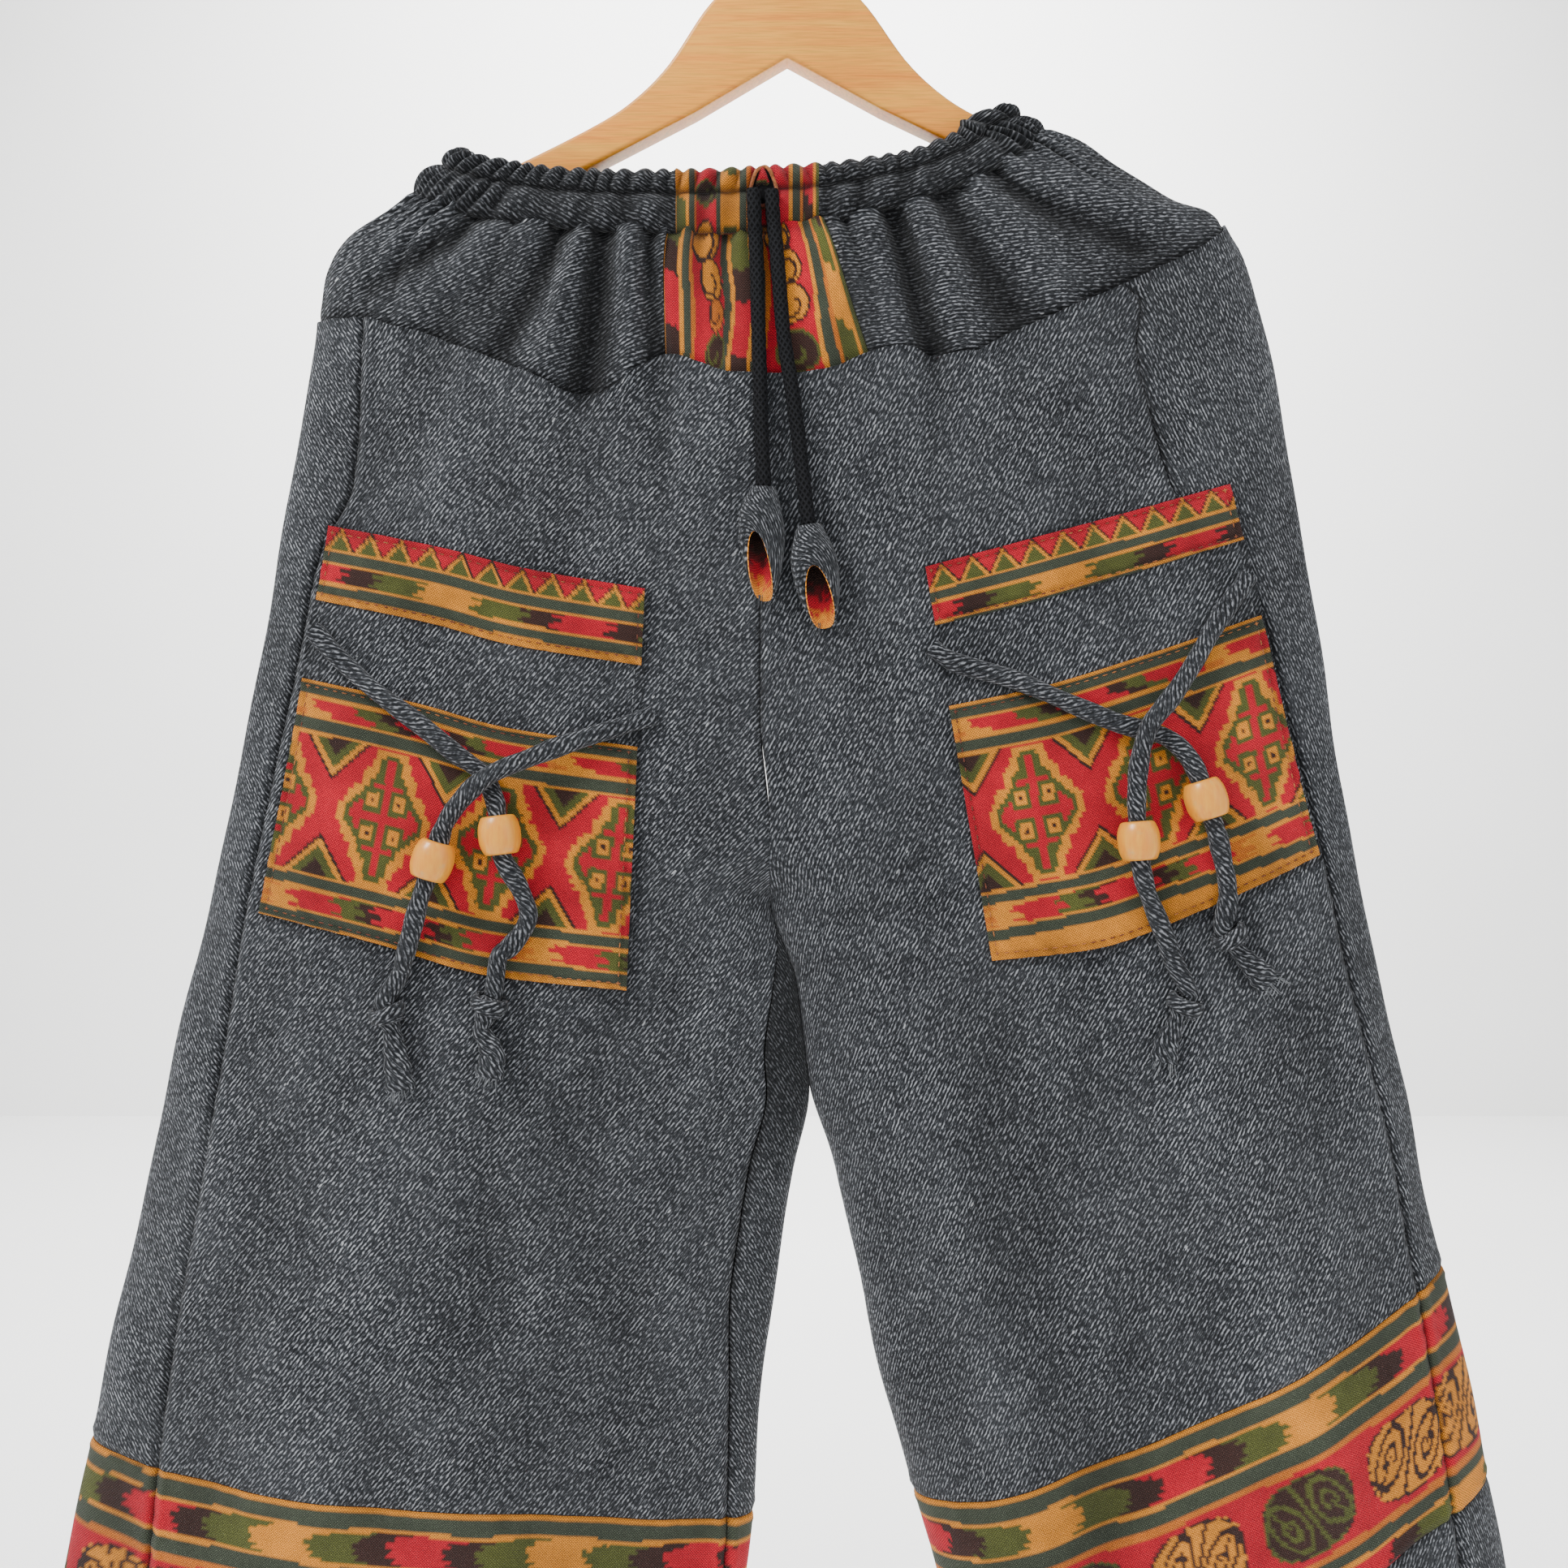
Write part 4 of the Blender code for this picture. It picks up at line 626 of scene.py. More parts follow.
def puckers(along, distance, pitch, height, reach):
    # Small uneven waves that run out from a seam.
    turn = 2 * math.pi * along / pitch
    wave = np.sin(turn + 1.3 * np.sin(turn * 0.37 + 1.0)) * (0.65 + 0.35 * np.sin(turn * 0.23))
    return height * wave * np.exp(-distance / reach)


softWaveRows = (    # x and z of one wave's way, phase, rise: slow unevenness of the hanging cloth
    (0.070, 0.230, 0.3, 0.00055), (0.115, -0.260, 1.9, 0.00060), (-0.090, 0.150, 4.1, 0.00045),
    (0.047, 0.120, 2.2, 0.00030), (-0.061, 0.095, 5.2, 0.00028), (0.039, -0.300, 0.9, 0.00030))


def softWaves(x, z):
    rise = np.zeros(np.shape(x))
    for wayX, wayZ, phase, height in softWaveRows:
        rise = rise + height * np.sin(2 * math.pi * (x / wayX + z / wayZ) + phase)
    return rise


# Small creases of each face: x and z of one end and of the other, width, rise
creaseRows = {
    "front": (
        (-0.0284, -0.397, -0.0552, -0.439, 0.0035, 0.0011), (-0.03, -0.393, -0.057, -0.435, 0.004, -0.0009),
        (0.0206, -0.527, 0.089, -0.516, 0.006, -0.0018), (0.022, -0.52, 0.09, -0.508, 0.006, 0.0014),
        (0.013, -0.552, 0.062, -0.549, 0.005, -0.0015), (0.013, -0.545, 0.064, -0.541, 0.005, 0.0011),
        (0.06, -0.506, 0.068, -0.501, 0.006, -0.002), (-0.056, -0.256, -0.057, -0.332, 0.006, -0.0016),
        (-0.048, -0.26, -0.049, -0.33, 0.006, 0.0012), (0.074, -0.256, 0.0727, -0.335, 0.006, -0.0016),
        (0.064, -0.256, 0.064, -0.33, 0.006, 0.0012), (0.14, -0.228, 0.1545, -0.23, 0.0035, -0.0014),
        (0.112, -0.236, 0.154, -0.241, 0.004, -0.0013), (0.176, -0.233, 0.193, -0.229, 0.0035, -0.0013),
        (0.172, -0.25, 0.193, -0.244, 0.0035, -0.0012), (-0.215, -0.25, -0.223, -0.33, 0.006, -0.0014),
        (-0.1, -0.27, -0.108, -0.33, 0.008, -0.0014), (-0.15, -0.26, -0.168, -0.325, 0.009, 0.0014),
        (0.11, -0.26, 0.118, -0.32, 0.008, -0.0014), (-0.035, -0.49, -0.008, -0.535, 0.007, -0.0014),
        (-0.07, -0.59, -0.015, -0.565, 0.008, 0.0013), (-0.15, -0.6, -0.13, -0.77, 0.012, -0.0016),
        (-0.26, -0.62, -0.285, -0.76, 0.012, 0.0014), (0.145, -0.6, 0.17, -0.73, 0.012, -0.0015),
        (0.07, -0.6, 0.1, -0.76, 0.011, 0.0014), (0.25, -0.57, 0.275, -0.68, 0.012, -0.0014),
    ),
    "back": (
        (-0.035, -0.49, -0.11, -0.53, 0.009, -0.0022), (0.035, -0.495, 0.1, -0.54, 0.009, -0.0022),
        (-0.025, -0.44, -0.09, -0.46, 0.008, 0.0018), (0.025, -0.445, 0.095, -0.47, 0.008, 0.0018),
        (-0.14, -0.27, -0.15, -0.36, 0.009, -0.0018), (0.125, -0.265, 0.14, -0.35, 0.009, -0.0018),
        (-0.07, -0.275, -0.075, -0.37, 0.009, 0.0016), (0.06, -0.275, 0.062, -0.36, 0.009, -0.0016),
        (0.18, -0.3, 0.215, -0.39, 0.011, -0.0018), (-0.19, -0.3, -0.215, -0.39, 0.011, 0.0016),
    ),
}


def clothRelief(face, x, z):
    return foldRelief(face, x, z, creaseRows) + softWaves(x, z)


def clothSurface(side, places, heights, relief):
    # Outer points of the cloth with its small forms, and the way out of it.
    points = bodyPoint(side, places, heights)
    normals = bodyNormal(side, places, heights, False)
    return points + normals * relief[..., None], normals


# Finishing a piece: attaching it to the root body, hiding the CAD nodes it replaces, and listing its cut
def finishPiece(piece, slot, *replaced):
    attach(piece, "root")
    if replaced:
        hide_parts(*replaced)


def declareSheet(piece, points):
    # The cut is the cloth's own size laid flat; the area is measured on the outer face.
    across, down = gridArcs(points)
    a = points[1:, 1:] - points[:-1, :-1]
    b = points[1:, :-1] - points[:-1, 1:]
    area = float(np.linalg.norm(np.cross(a, b), axis=-1).sum() / 2)
    width = float(across[:, -1].max())
    length = float(down[-1].max())
    cuts.append((piece.name, round(width, 4), round(length, 4), round(area, 5)))


cuts = []


# Materials
class Nodes:
    # Short hand for a material's node tree.
    def __init__(self, name):
        self.material = bpy.data.materials.new(name)
        self.material.use_nodes = True
        self.tree = self.material.node_tree
        self.shader = self.tree.nodes["Principled BSDF"]

    def add(self, kind, inputs=None, **settings):
        node = self.tree.nodes.new("ShaderNode" + kind)
        for key, value in settings.items():
            setattr(node, key, value)
        for key, value in (inputs or {}).items():
            self.feed(node.inputs[key], value)
        return node

    def feed(self, socket, value):
        if isinstance(value, bpy.types.NodeSocket):
            self.tree.links.new(value, socket)
        else:
            socket.default_value = value

    def maths(self, operation, a, b=0.0):
        return self.add("Math", {0: a, 1: b}, operation=operation).outputs[0]

    def times(self, a, b):
        return self.maths("MULTIPLY", a, b)

    def plus(self, a, b):
        return self.maths("ADD", a, b)

    def mix(self, share, a, b, blend="MIX"):
        node = self.add("Mix", data_type="RGBA", blend_type=blend)
        for socket, value in ((node.inputs[0], share), (node.inputs[6], a), (node.inputs[7], b)):
            self.feed(socket, value)
        return node.outputs[2]

    def ramp(self, value, *stops):
        node = self.add("ValToRGB", {0: value})
        points = node.color_ramp.elements
        while len(points) < len(stops):
            points.new(0.5)
        for point, (place, colour) in zip(points, stops):
            point.position = place
            point.color = colour if len(colour) == 4 else (*colour, 1.0)
        return node.outputs[0]

    def noise(self, vector, scale, detail=2.0, roughness=0.5, distortion=0.0):
        inputs = {"Vector": vector, "Scale": scale, "Detail": detail, "Roughness": roughness,
                  "Distortion": distortion}
        return self.add("TexNoise", inputs).outputs[0]

    def stretch(self, vector, turn, scale):
        inputs = {"Vector": vector, "Rotation": (0.0, 0.0, math.radians(turn)), "Scale": scale}
        return self.add("Mapping", inputs, vector_type="POINT").outputs[0]

    def bump(self, height, depth, normal=None):
        node = self.add("Bump", {"Height": height, "Distance": depth, "Strength": 1.0})
        if normal is not None:
            self.feed(node.inputs["Normal"], normal)
        return node.outputs[0]

    def between(self, value, low, high, top=1.0):
        return self.ramp(value, (low, (0, 0, 0)), (high, (top, top, top)))

    def tinted(self, colour, value, low, high, upper=0.7):
        # The colour made darker where the value is low and lighter where it is high.
        low, high = ((c, c, c) if isinstance(c, float) else c for c in (low, high))
        return self.mix(1.0, colour, self.ramp(value, (0.3, low), (upper, high)), "MULTIPLY")

    def withPaintedShade(self, colour):
        # Multiplies the colour by the per-point attribute of painted shade and painted light laid on the cloth pieces.
        shade = self.add("Attribute", attribute_name="shadeAndWear").outputs["Fac"]
        return self.mix(1.0, colour, self.add("CombineXYZ", {0: shade, 1: shade, 2: shade}).outputs[0], "MULTIPLY")

    def clothMap(self):
        return self.add("UVMap", uv_map="cloth").outputs[0]

    def place(self):
        return self.add("TexCoord").outputs["Object"]

    def finish(self, colour, normal=None, roughness=0.8, **constants):
        self.feed(self.shader.inputs["Base Color"], colour)
        self.feed(self.shader.inputs["Roughness"], roughness)
        if normal is not None:
            self.feed(self.shader.inputs["Normal"], normal)
        for key, value in constants.items():
            self.shader.inputs[key.replace("_", " ")].default_value = value
        return self.material


twillValues = {
    "wale": 0.0018,        # metres from one wale of the twill to the next
    "dark": (0.0050, 0.0058, 0.0072, 1.0),
    "middle": (0.030, 0.033, 0.038, 1.0),
    "light": (0.450, 0.465, 0.500, 1.0),
    "bump": 0.00045,
}


def twillMaterial(name, v, turn, shade=1.0):
    # Charcoal wool twill: dark furrows, pale broken wales, white slubs and a felted haze.
    n = Nodes(name)
    uv = n.clothMap()
    sway = n.noise(uv, 55.0, 3.0)
    shift = n.times(n.maths("SUBTRACT", sway, 0.5), 0.0012)
    turned = n.stretch(uv, -turn, (1.0, 1.0, 1.0))
    parts = n.add("SeparateXYZ", {0: turned}).outputs
    across = n.plus(parts[1], shift)
    wave = n.maths("SINE", n.times(across, 2 * math.pi / v["wale"]))
    wales = n.plus(n.times(wave, 0.5), 0.5)
    dashes = n.noise(n.stretch(turned, 0.0, (400.0, 1150.0, 1.0)), 1.0, 1.0)
    fibres = n.noise(n.stretch(turned, 12.0, (1500.0, 500.0, 1.0)), 1.0, 2.0)
    haze = n.noise(uv, 16.0, 5.0, 0.65)
    mottle = n.noise(uv, 70.0, 4.0, 0.65)
    ridge = n.mix(wales, v["dark"], v["middle"])
    pale = n.times(wales, n.between(dashes, 0.475, 0.625))
    colour = n.mix(n.times(pale, 0.78), ridge, v["light"])
    felt = n.times(n.between(haze, 0.36, 0.70), 0.20)
    colour = n.mix(felt, colour, (0.080, 0.085, 0.093, 1.0))
    colour = n.tinted(colour, mottle, (0.72, 0.72, 0.73), (1.22, 1.22, 1.21))
    colour = n.tinted(colour, fibres, 0.80 * shade, 1.20 * shade)
    slubs = n.noise(n.stretch(turned, 0.0, (170.0, 420.0, 1.0)), 1.0, 1.0)
    colour = n.mix(n.between(slubs, 0.755, 0.80, 0.8), colour, (0.50, 0.51, 0.52, 1.0))
    height = n.plus(n.times(wales, 0.6), n.times(fibres, 0.5))
    normal = n.bump(height, v["bump"])
    # Painted shade and light from the per-point attribute: darker in folds, seams and between the legs, lighter on
    # ridges.
    colour = n.withPaintedShade(colour)
    return n.finish(colour, normal, 0.92, Sheen_Weight=0.10, Sheen_Roughness=0.6, Specular_IOR_Level=0.12)


borderValues = {"thread": 0.0013, "bump": 0.0004}


def borderMaterial(name, v):
    # Woven border cloth: the piece's own pattern, broken up by its threads.
    n = Nodes(name)
    uv = n.clothMap()
    pattern = n.add("VertexColor", layer_name="pattern").outputs[0]
    parts = n.add("SeparateXYZ", {0: uv}).outputs
    weftWave = n.maths("SINE", n.times(parts[1], 2 * math.pi / v["thread"]))
    stagger = n.times(n.maths("SIGN", weftWave), 0.25 * v["thread"])
    warpWave = n.maths("SINE", n.times(n.plus(parts[0], stagger), 2 * math.pi / v["thread"]))
    thread = n.times(n.maths("ABSOLUTE", weftWave), n.plus(n.times(warpWave, 0.5), 0.5))
    fluff = n.noise(uv, 1400.0, 2.0)
    shadeAndWear = n.noise(uv, 60.0, 3.0, 0.6)
    # The pattern is the cloth's own colour; the darker gaps between threads are painted shade and the lighter thread
    # crowns a painted highlight.
    dark = n.mix(1.0, pattern, (0.16, 0.11, 0.10, 1.0), "MULTIPLY")
    light = n.mix(1.0, pattern, (1.30, 1.30, 1.28, 1.0), "MULTIPLY")
    colour = n.mix(n.ramp(thread, (0.02, (0.22, 0.22, 0.22)), (0.45, (1, 1, 1))), dark, light)
    colour = n.tinted(colour, fluff, 0.72, 1.25)
    colour = n.tinted(colour, shadeAndWear, 0.82, 1.15)
    # Painted shade and light from the per-point attribute: darker in furrows and at seams, lighter on ridges.
    colour = n.withPaintedShade(colour)
    height = n.plus(thread, n.times(fluff, 0.5))
    return n.finish(colour, n.bump(height, v["bump"]), 0.88, Sheen_Weight=0.12, Specular_IOR_Level=0.2)


strandsRound = 4
strandPitch = 0.0075


def cordMaterial(name):
    # Black braided cord: strands crossing in chevrons, on a UV map of turns and metres.
    n = Nodes(name)
    uv = n.clothMap()
    parts = n.add("SeparateXYZ", {0: uv}).outputs
    waves = []
    for lean in ("ADD", "SUBTRACT"):
        turned = n.maths(lean, n.times(parts[0], strandsRound * 2 * math.pi),
                         n.times(parts[1], 2 * math.pi / strandPitch))
        waves.append(n.maths("ABSOLUTE", n.maths("SINE", turned)))
    strands = n.maths("MAXIMUM", *waves)
    fibre = n.noise(n.place(), 1800.0, 2.0)
    shade = n.times(n.maths("POWER", strands, 4.0), n.plus(fibre, 0.35))
    colour = n.mix(shade, (0.0010, 0.0010, 0.0012, 1.0), (0.016, 0.0165, 0.019, 1.0))
    return n.finish(colour, n.bump(strands, 0.0006), 0.8, Specular_IOR_Level=0.15)


def beadMaterial(name):
    # Pale varnished wood with a faint grain.
    n = Nodes(name)
    place = n.place()
    grain = n.noise(n.stretch(place, 20.0, (500.0, 500.0, 60.0)), 1.0, 3.0, 0.6)
    spots = n.noise(place, 170.0, 2.0)
    colour = n.mix(n.between(grain, 0.35, 0.7), (0.90, 0.31, 0.018, 1.0), (0.97, 0.43, 0.036, 1.0))
    colour = n.mix(n.between(spots, 0.62, 0.78, 0.55), colour, (0.62, 0.40, 0.15, 1.0))
    normal = n.bump(grain, 0.0001)
    return n.finish(colour, normal, 0.34, Coat_Weight=0.35, Coat_Roughness=0.22, Specular_IOR_Level=0.5)


def woodMaterial(name):
    # Hanger wood: long grain with a few darker lines, satin lacquer.
    n = Nodes(name)
    place = n.place()
    grain = n.noise(n.stretch(place, 0.0, (9.0, 60.0, 170.0)), 1.0, 5.0, 0.62, 0.6)
    fine = n.noise(n.stretch(place, 0.0, (60.0, 500.0, 1400.0)), 1.0, 3.0)
    cloud = n.noise(place, 9.0, 2.0)
    colour = n.ramp(grain, (0.30, (0.90, 0.26, 0.013)), (0.48, (1.0, 0.37, 0.025)), (0.70, (1.0, 0.46, 0.042)))
    colour = n.tinted(colour, fine, (0.84, 0.82, 0.78), 1.08, 0.65)
    colour = n.tinted(colour, cloud, (0.90, 0.88, 0.85), 1.06)
    return n.finish(colour, n.bump(fine, 0.00008), 0.38, Coat_Weight=0.3, Coat_Roughness=0.25)


def steelMaterial(name):
    # Bright hook wire with drawing lines.
    n = Nodes(name)
    place = n.place()
    lines = n.noise(n.stretch(place, 0.0, (2500.0, 2500.0, 200.0)), 1.0, 2.0)
    colour = n.ramp(lines, (0.3, (0.52, 0.52, 0.54)), (0.7, (0.72, 0.72, 0.74)))
    rough = n.plus(n.times(lines, 0.12), 0.22)
    return n.finish(colour, n.bump(lines, 0.00003), rough, Metallic=1.0)


def threadMaterial(name, colour, other):
    n = Nodes(name)
    place = n.place()
    twist = n.noise(place, 900.0, 1.0)
    mixed = n.mix(n.between(n.noise(place, 25.0, 1.0), 0.42, 0.58), colour, other)
    mixed = n.tinted(mixed, twist, 0.6, 1.3)
    return n.finish(mixed, n.bump(twist, 0.0002), 0.8, Sheen_Weight=0.1)


def twillPair(name, turns, shade=1.0):
    return {side: twillMaterial(name + side.title(), twillValues, turn, shade) for side, turn in zip(sides, turns)}


twill = twillPair("charcoalTwill", (50.0, 62.0))
# The yoke and casing twill is a darker copy of the same cloth: painted shade of the deep gathers under the casing and
# of the casing band.
twillYoke = twillPair("yokeTwill", (26.0, 5.0), 0.62)
twillStrip = twillMaterial("charcoalTwillStrip", twillValues, 62.0, 0.9)
border = borderMaterial("borderCloth", borderValues)
black = cordMaterial("blackCord")
beadWood = beadMaterial("paleBead")
wood = woodMaterial("hangerWood")
steel = steelMaterial("hookSteel")
redThread = threadMaterial("stitchThread", (0.16, 0.035, 0.015, 1.0), (0.42, 0.14, 0.035, 1.0))
greyThread = threadMaterial("greyThread", (0.05, 0.055, 0.062, 1.0), (0.22, 0.23, 0.24, 1.0))
print("materials made")


# Patterns of the border cloth, charted in metres along and down it
inks = {
    "yellow": (0.88, 0.325, 0.028), "orange": (0.72, 0.20, 0.022), "crimson": (0.64, 0.009, 0.028),
    "olive": (0.105, 0.118, 0.024), "green": (0.060, 0.074, 0.048), "brown": (0.050, 0.020, 0.015),
    "darkred": (0.17, 0.012, 0.016), "rose": (0.56, 0.035, 0.045),
}
inkNames = list(inks)
inkColours = np.array([inks[name] for name in inkNames])


def ink(name):
    return inkNames.index(name)


def scatter(number):
    # The same uneven value from 0 to 1 for the same whole number.
    value = np.sin(number * 12.9898 + 4.1) * 43758.5453
    return value - np.floor(value)


def stripeInks(down, rows):
    # Stripes from the top: where each ends, and its ink.
    ends = np.array([row[0] for row in rows])
    names = np.array([ink(row[1]) for row in rows])
    return names[np.clip(np.searchsorted(ends, down), 0, len(rows) - 1)]


def between(values, low, high, drawn, result):
    # The drawing where the values lie between two limits, the result elsewhere.
    return np.where((values > low) & (values < high), drawn, result)


pickHeight = 0.0016
clusterHeight = 0.0045
ikatRuns = (
    (0.026, "crimson"), (0.017, "brown"), (0.022, "olive"), (0.027, "yellow"), (0.024, "olive"), (0.016, "brown"))
patchRuns = (
    (0.026, "crimson"), (0.009, "brown"), (0.01, "olive"), (0.02, "crimson"), (0.01, "orange"), (0.013, "yellow"),
    (0.022, "crimson"), (0.012, "olive"), (0.008, "brown"))


def ikatInks(along, down, start, runs=ikatRuns):
    # Runs of colour whose ends are jagged from one pick to the next.
    jag = (scatter(np.floor(down / pickHeight) + start) - 0.5) * 0.009
    jag = jag + (scatter(np.floor(down / clusterHeight) + 7) - 0.5) * 0.013
    ends = np.cumsum([run[0] for run in runs])
    place = np.mod(along + jag + start * 0.037, ends[-1])
    names = np.array([ink(run[1]) for run in runs])
    return names[np.clip(np.searchsorted(ends, place), 0, len(names) - 1)]


# Upper right quarter of a stepped cross, from the middle out and up; one letter is a block of stitches
crossChart = (
    "rrrrrrrrroyy", "rooooorrooyy", "royyyorooyy.", "roybyoooyy..", "royyyooyyy..", "roooooyyy...", "rrrroyy.....",
    "rooooyy.....", "roooyyy.....", "rooyyy......", "rooyy.......", "rooyy.......", "ooyy........", "yyyy........",
    "............", "............", "............", "............")
chartInks = {"r": "crimson", "o": "olive", "y": "yellow", "b": "brown", ".": "crimson"}
crossValues = {"wide": 0.0019, "high": 0.0023, "pitch": 0.0565, "triangle": 0.0178, "slope": 0.82}
crossGrid = np.array([[ink(chartInks[letter]) for letter in row] for row in crossChart])


def crossInks(along, down, height, v):
    # Stepped crosses in a row, with triangles pointing in between them.
    fromMiddle = np.abs(np.mod(along + v["pitch"] / 2, v["pitch"]) - v["pitch"] / 2)
    up = np.abs(down - height / 2)
    column = (fromMiddle / v["wide"]).astype(int)
    rows, columns = crossGrid.shape
    row = np.clip((up / v["high"]).astype(int), 0, rows - 1)
    result = np.where(column < columns, crossGrid[row, np.minimum(column, columns - 1)], ink("crimson"))
    aside = v["pitch"] / 2 - fromMiddle
    wide = (up - height / 2 + v["triangle"]) * v["slope"]
    for within, name in ((-0.0018, "brown"), (0.0, "yellow"), (0.0030, "olive"), (0.0080, "brown")):
        result = np.where(aside < wide - within, ink(name), result)
    return result


speckSize = 0.0017
scrollValues = {"pitch": 0.0575, "width": 0.0480, "height": 0.0385, "slant": 0.42}


def leafInks(x, z, v, ground, line):
    # An oval with two leaves, one turned half round, drawn in one ink on another.
    oval = (np.abs(x) / (v["width"] / 2)) ** 2.7 + (np.abs(z) / (v["height"] / 2)) ** 2.7
    slanted = x + v["slant"] * z
    result = np.full(np.shape(x), ink(ground))
    result = np.where(np.abs(slanted) < 0.0011, ink(line), result)
    for hand in (-1.0, 1.0):
        dx = (slanted - hand * 0.0118) * hand
        dz = (z - hand * 0.0030) * hand
        leaf = np.hypot(dx / (0.0088 - 0.10 * dz), dz / 0.0140)
        result = np.where((leaf > 0.80) & (leaf < 1.02), ink(line), result)
        result = np.where((leaf > 0.26) & (leaf < 0.48) & (dz > -0.004), ink(line), result)
        result = np.where((np.abs(dx + 0.3 * dz) < 0.0009) & (leaf < 0.8) & (dz < 0.0), ink(line), result)
    speck = scatter(np.floor(x / speckSize) + 31 * np.floor(z / speckSize))
    result = np.where((oval > 0.80) & (speck > 0.25), ink(line), result)
    return np.where(oval < 1.0, result, -1)


def scrollInks(along, down, height, v):
    # Ovals on crimson: yellow drawn in brown, then brown drawn in olive.
    cell = np.floor(along / v["pitch"])
    x = along - (cell + 0.5) * v["pitch"]
    z = down - height / 2
    result = np.full(np.shape(x), ink("crimson"))
    result = np.where(np.abs(z) > height / 2 - 0.0012, ink("orange"), result)
    pale = leafInks(x, z, v, "yellow", "brown")
    deep = leafInks(-x, z, v, "brown", "olive")
    drawn = np.where(np.mod(cell, 2) > 0.5, deep, pale)
    return np.where(drawn >= 0, drawn, result)


# Stripes of the leg border, the pocket's patch and its band: metres down to the end, and ink
legStripes = (
    (0.0022, "yellow"), (0.01, "green"), (0.0118, "yellow"), (0.027, "crimson"), (0.0288, "yellow"),
    (0.0368, "green"), (0.039, "orange"), (0.085, "crimson"), (0.087, "orange"), (0.0935, "green"),
    (0.0952, "yellow"), (0.1085, "crimson"), (0.1102, "yellow"), (0.114, "green"))
patchStripes = (
    (0.0015, "yellow"), (0.0068, "green"), (0.0082, "yellow"), (0.0162, "crimson"), (0.0178, "yellow"),
    (0.0236, "green"), (0.025, "yellow"), (0.0905, "crimson"), (0.092, "yellow"), (0.097, "green"),
    (0.0985, "yellow"), (0.108, "crimson"), (0.1092, "yellow"), (0.1146, "green"), (0.13, "yellow"))
bandStripes = (
    (0.011, "crimson"), (0.0124, "yellow"), (0.0172, "green"), (0.0186, "yellow"), (0.0266, "crimson"),
    (0.028, "yellow"), (0.033, "green"), (0.05, "yellow"))


def legPattern(along, down):
    result = stripeInks(down, legStripes)
    result = between(down, 0.0118, 0.0270, ikatInks(along, down, 0), result)
    result = between(down, 0.0952, 0.1085, ikatInks(along, down, 5), result)
    return between(down, 0.0390, 0.0850, scrollInks(along, down - 0.0390, 0.046, scrollValues), result)


def patchPattern(along, down, start):
    result = stripeInks(down, patchStripes)
    result = between(down, 0.0082, 0.0162, ikatInks(along, down, 2, patchRuns), result)
    result = between(down, 0.0985, 0.1080, ikatInks(along, down, 9, patchRuns), result)
    return between(down, 0.0250, 0.0905, crossInks(along - start, down - 0.0250, 0.0655, crossValues), result)


def bandPattern(along, down):
    result = stripeInks(down, bandStripes)
    tooth = np.abs(np.mod(along, 0.0150) / 0.0150 - 0.5) * 2
    rise = down / 0.0110
    teeth = np.where(tooth < rise, ink("yellow"), ink("crimson"))
    teeth = np.where(tooth < rise - 0.30, ink("olive"), teeth)
    teeth = np.where(np.abs(tooth - rise) < 0.07, ink("brown"), teeth)
    result = np.where(down < 0.0110, teeth, result)
    return between(down, 0.0186, 0.0266, ikatInks(along, down, 4), result)


# Stripes down the centre panel: the share of its width where each ends, and its ink
centreStripes = (
    (0.02, "yellow"), (0.08, "brown"), (0.1, "yellow"), (0.14, "green"), (0.158, "orange"), (0.3, "crimson"),
    (0.335, "green"), (0.355, "yellow"), (0.445, "brown"), (0.465, "yellow"), (0.51, "green"), (0.54, "orange"),
    (0.795, "crimson"), (0.82, "yellow"), (0.872, "green"), (0.89, "orange"), (0.958, "brown"), (0.976, "yellow"),
    (1.01, "olive"))
centreWidth = 0.098
patternAbovePanel = 0.030    # metres of the pattern that lie on the casing above the panel
centreRuns = ((0.000, 0.080, 3), (0.355, 0.445, 1), (0.890, 0.958, 6))
# Curls on it: share of the width, metres down, radius across, radius down, ground and line
centreCurls = (
    (0.222, 0.036, 0.0072, 0.0125, "yellow", "brown"), (0.245, 0.056, 0.0052, 0.0115, "yellow", "brown"),
    (0.262, 0.073, 0.0036, 0.009, "orange", "brown"), (0.27, 0.092, 0.0052, 0.01, "brown", "olive"),
    (0.62, 0.036, 0.0095, 0.0085, "yellow", "brown"), (0.648, 0.052, 0.01, 0.0095, "yellow", "brown"),
    (0.668, 0.07, 0.0105, 0.01, "yellow", "brown"), (0.69, 0.093, 0.0105, 0.0105, "brown", "olive"),
    (0.23, 0.01, 0.008, 0.0075, "brown", "olive"), (0.61, 0.012, 0.008, 0.008, "brown", "olive"))


def centrePattern(across, down):
    result = stripeInks(across, centreStripes)
    for first, last, start in centreRuns:
        result = between(across, first, last, ikatInks(down + start * 0.031, across * 0.05, start), result)
    for share, depth, wide, deep, ground, line in centreCurls:
        dx = (across - share) * centreWidth / wide
        dz = (down - depth) / deep
        radius = np.hypot(dx, dz)
        winding = np.mod(radius * 1.05 - np.arctan2(dz, dx) / (2 * math.pi) + share * 7, 1.0)
        drawn = np.where(((winding < 0.20) & (radius > 0.18)) | (radius > 0.86), ink(line), ink(ground))
        result = np.where(radius < 1.0, drawn, result)
    return result


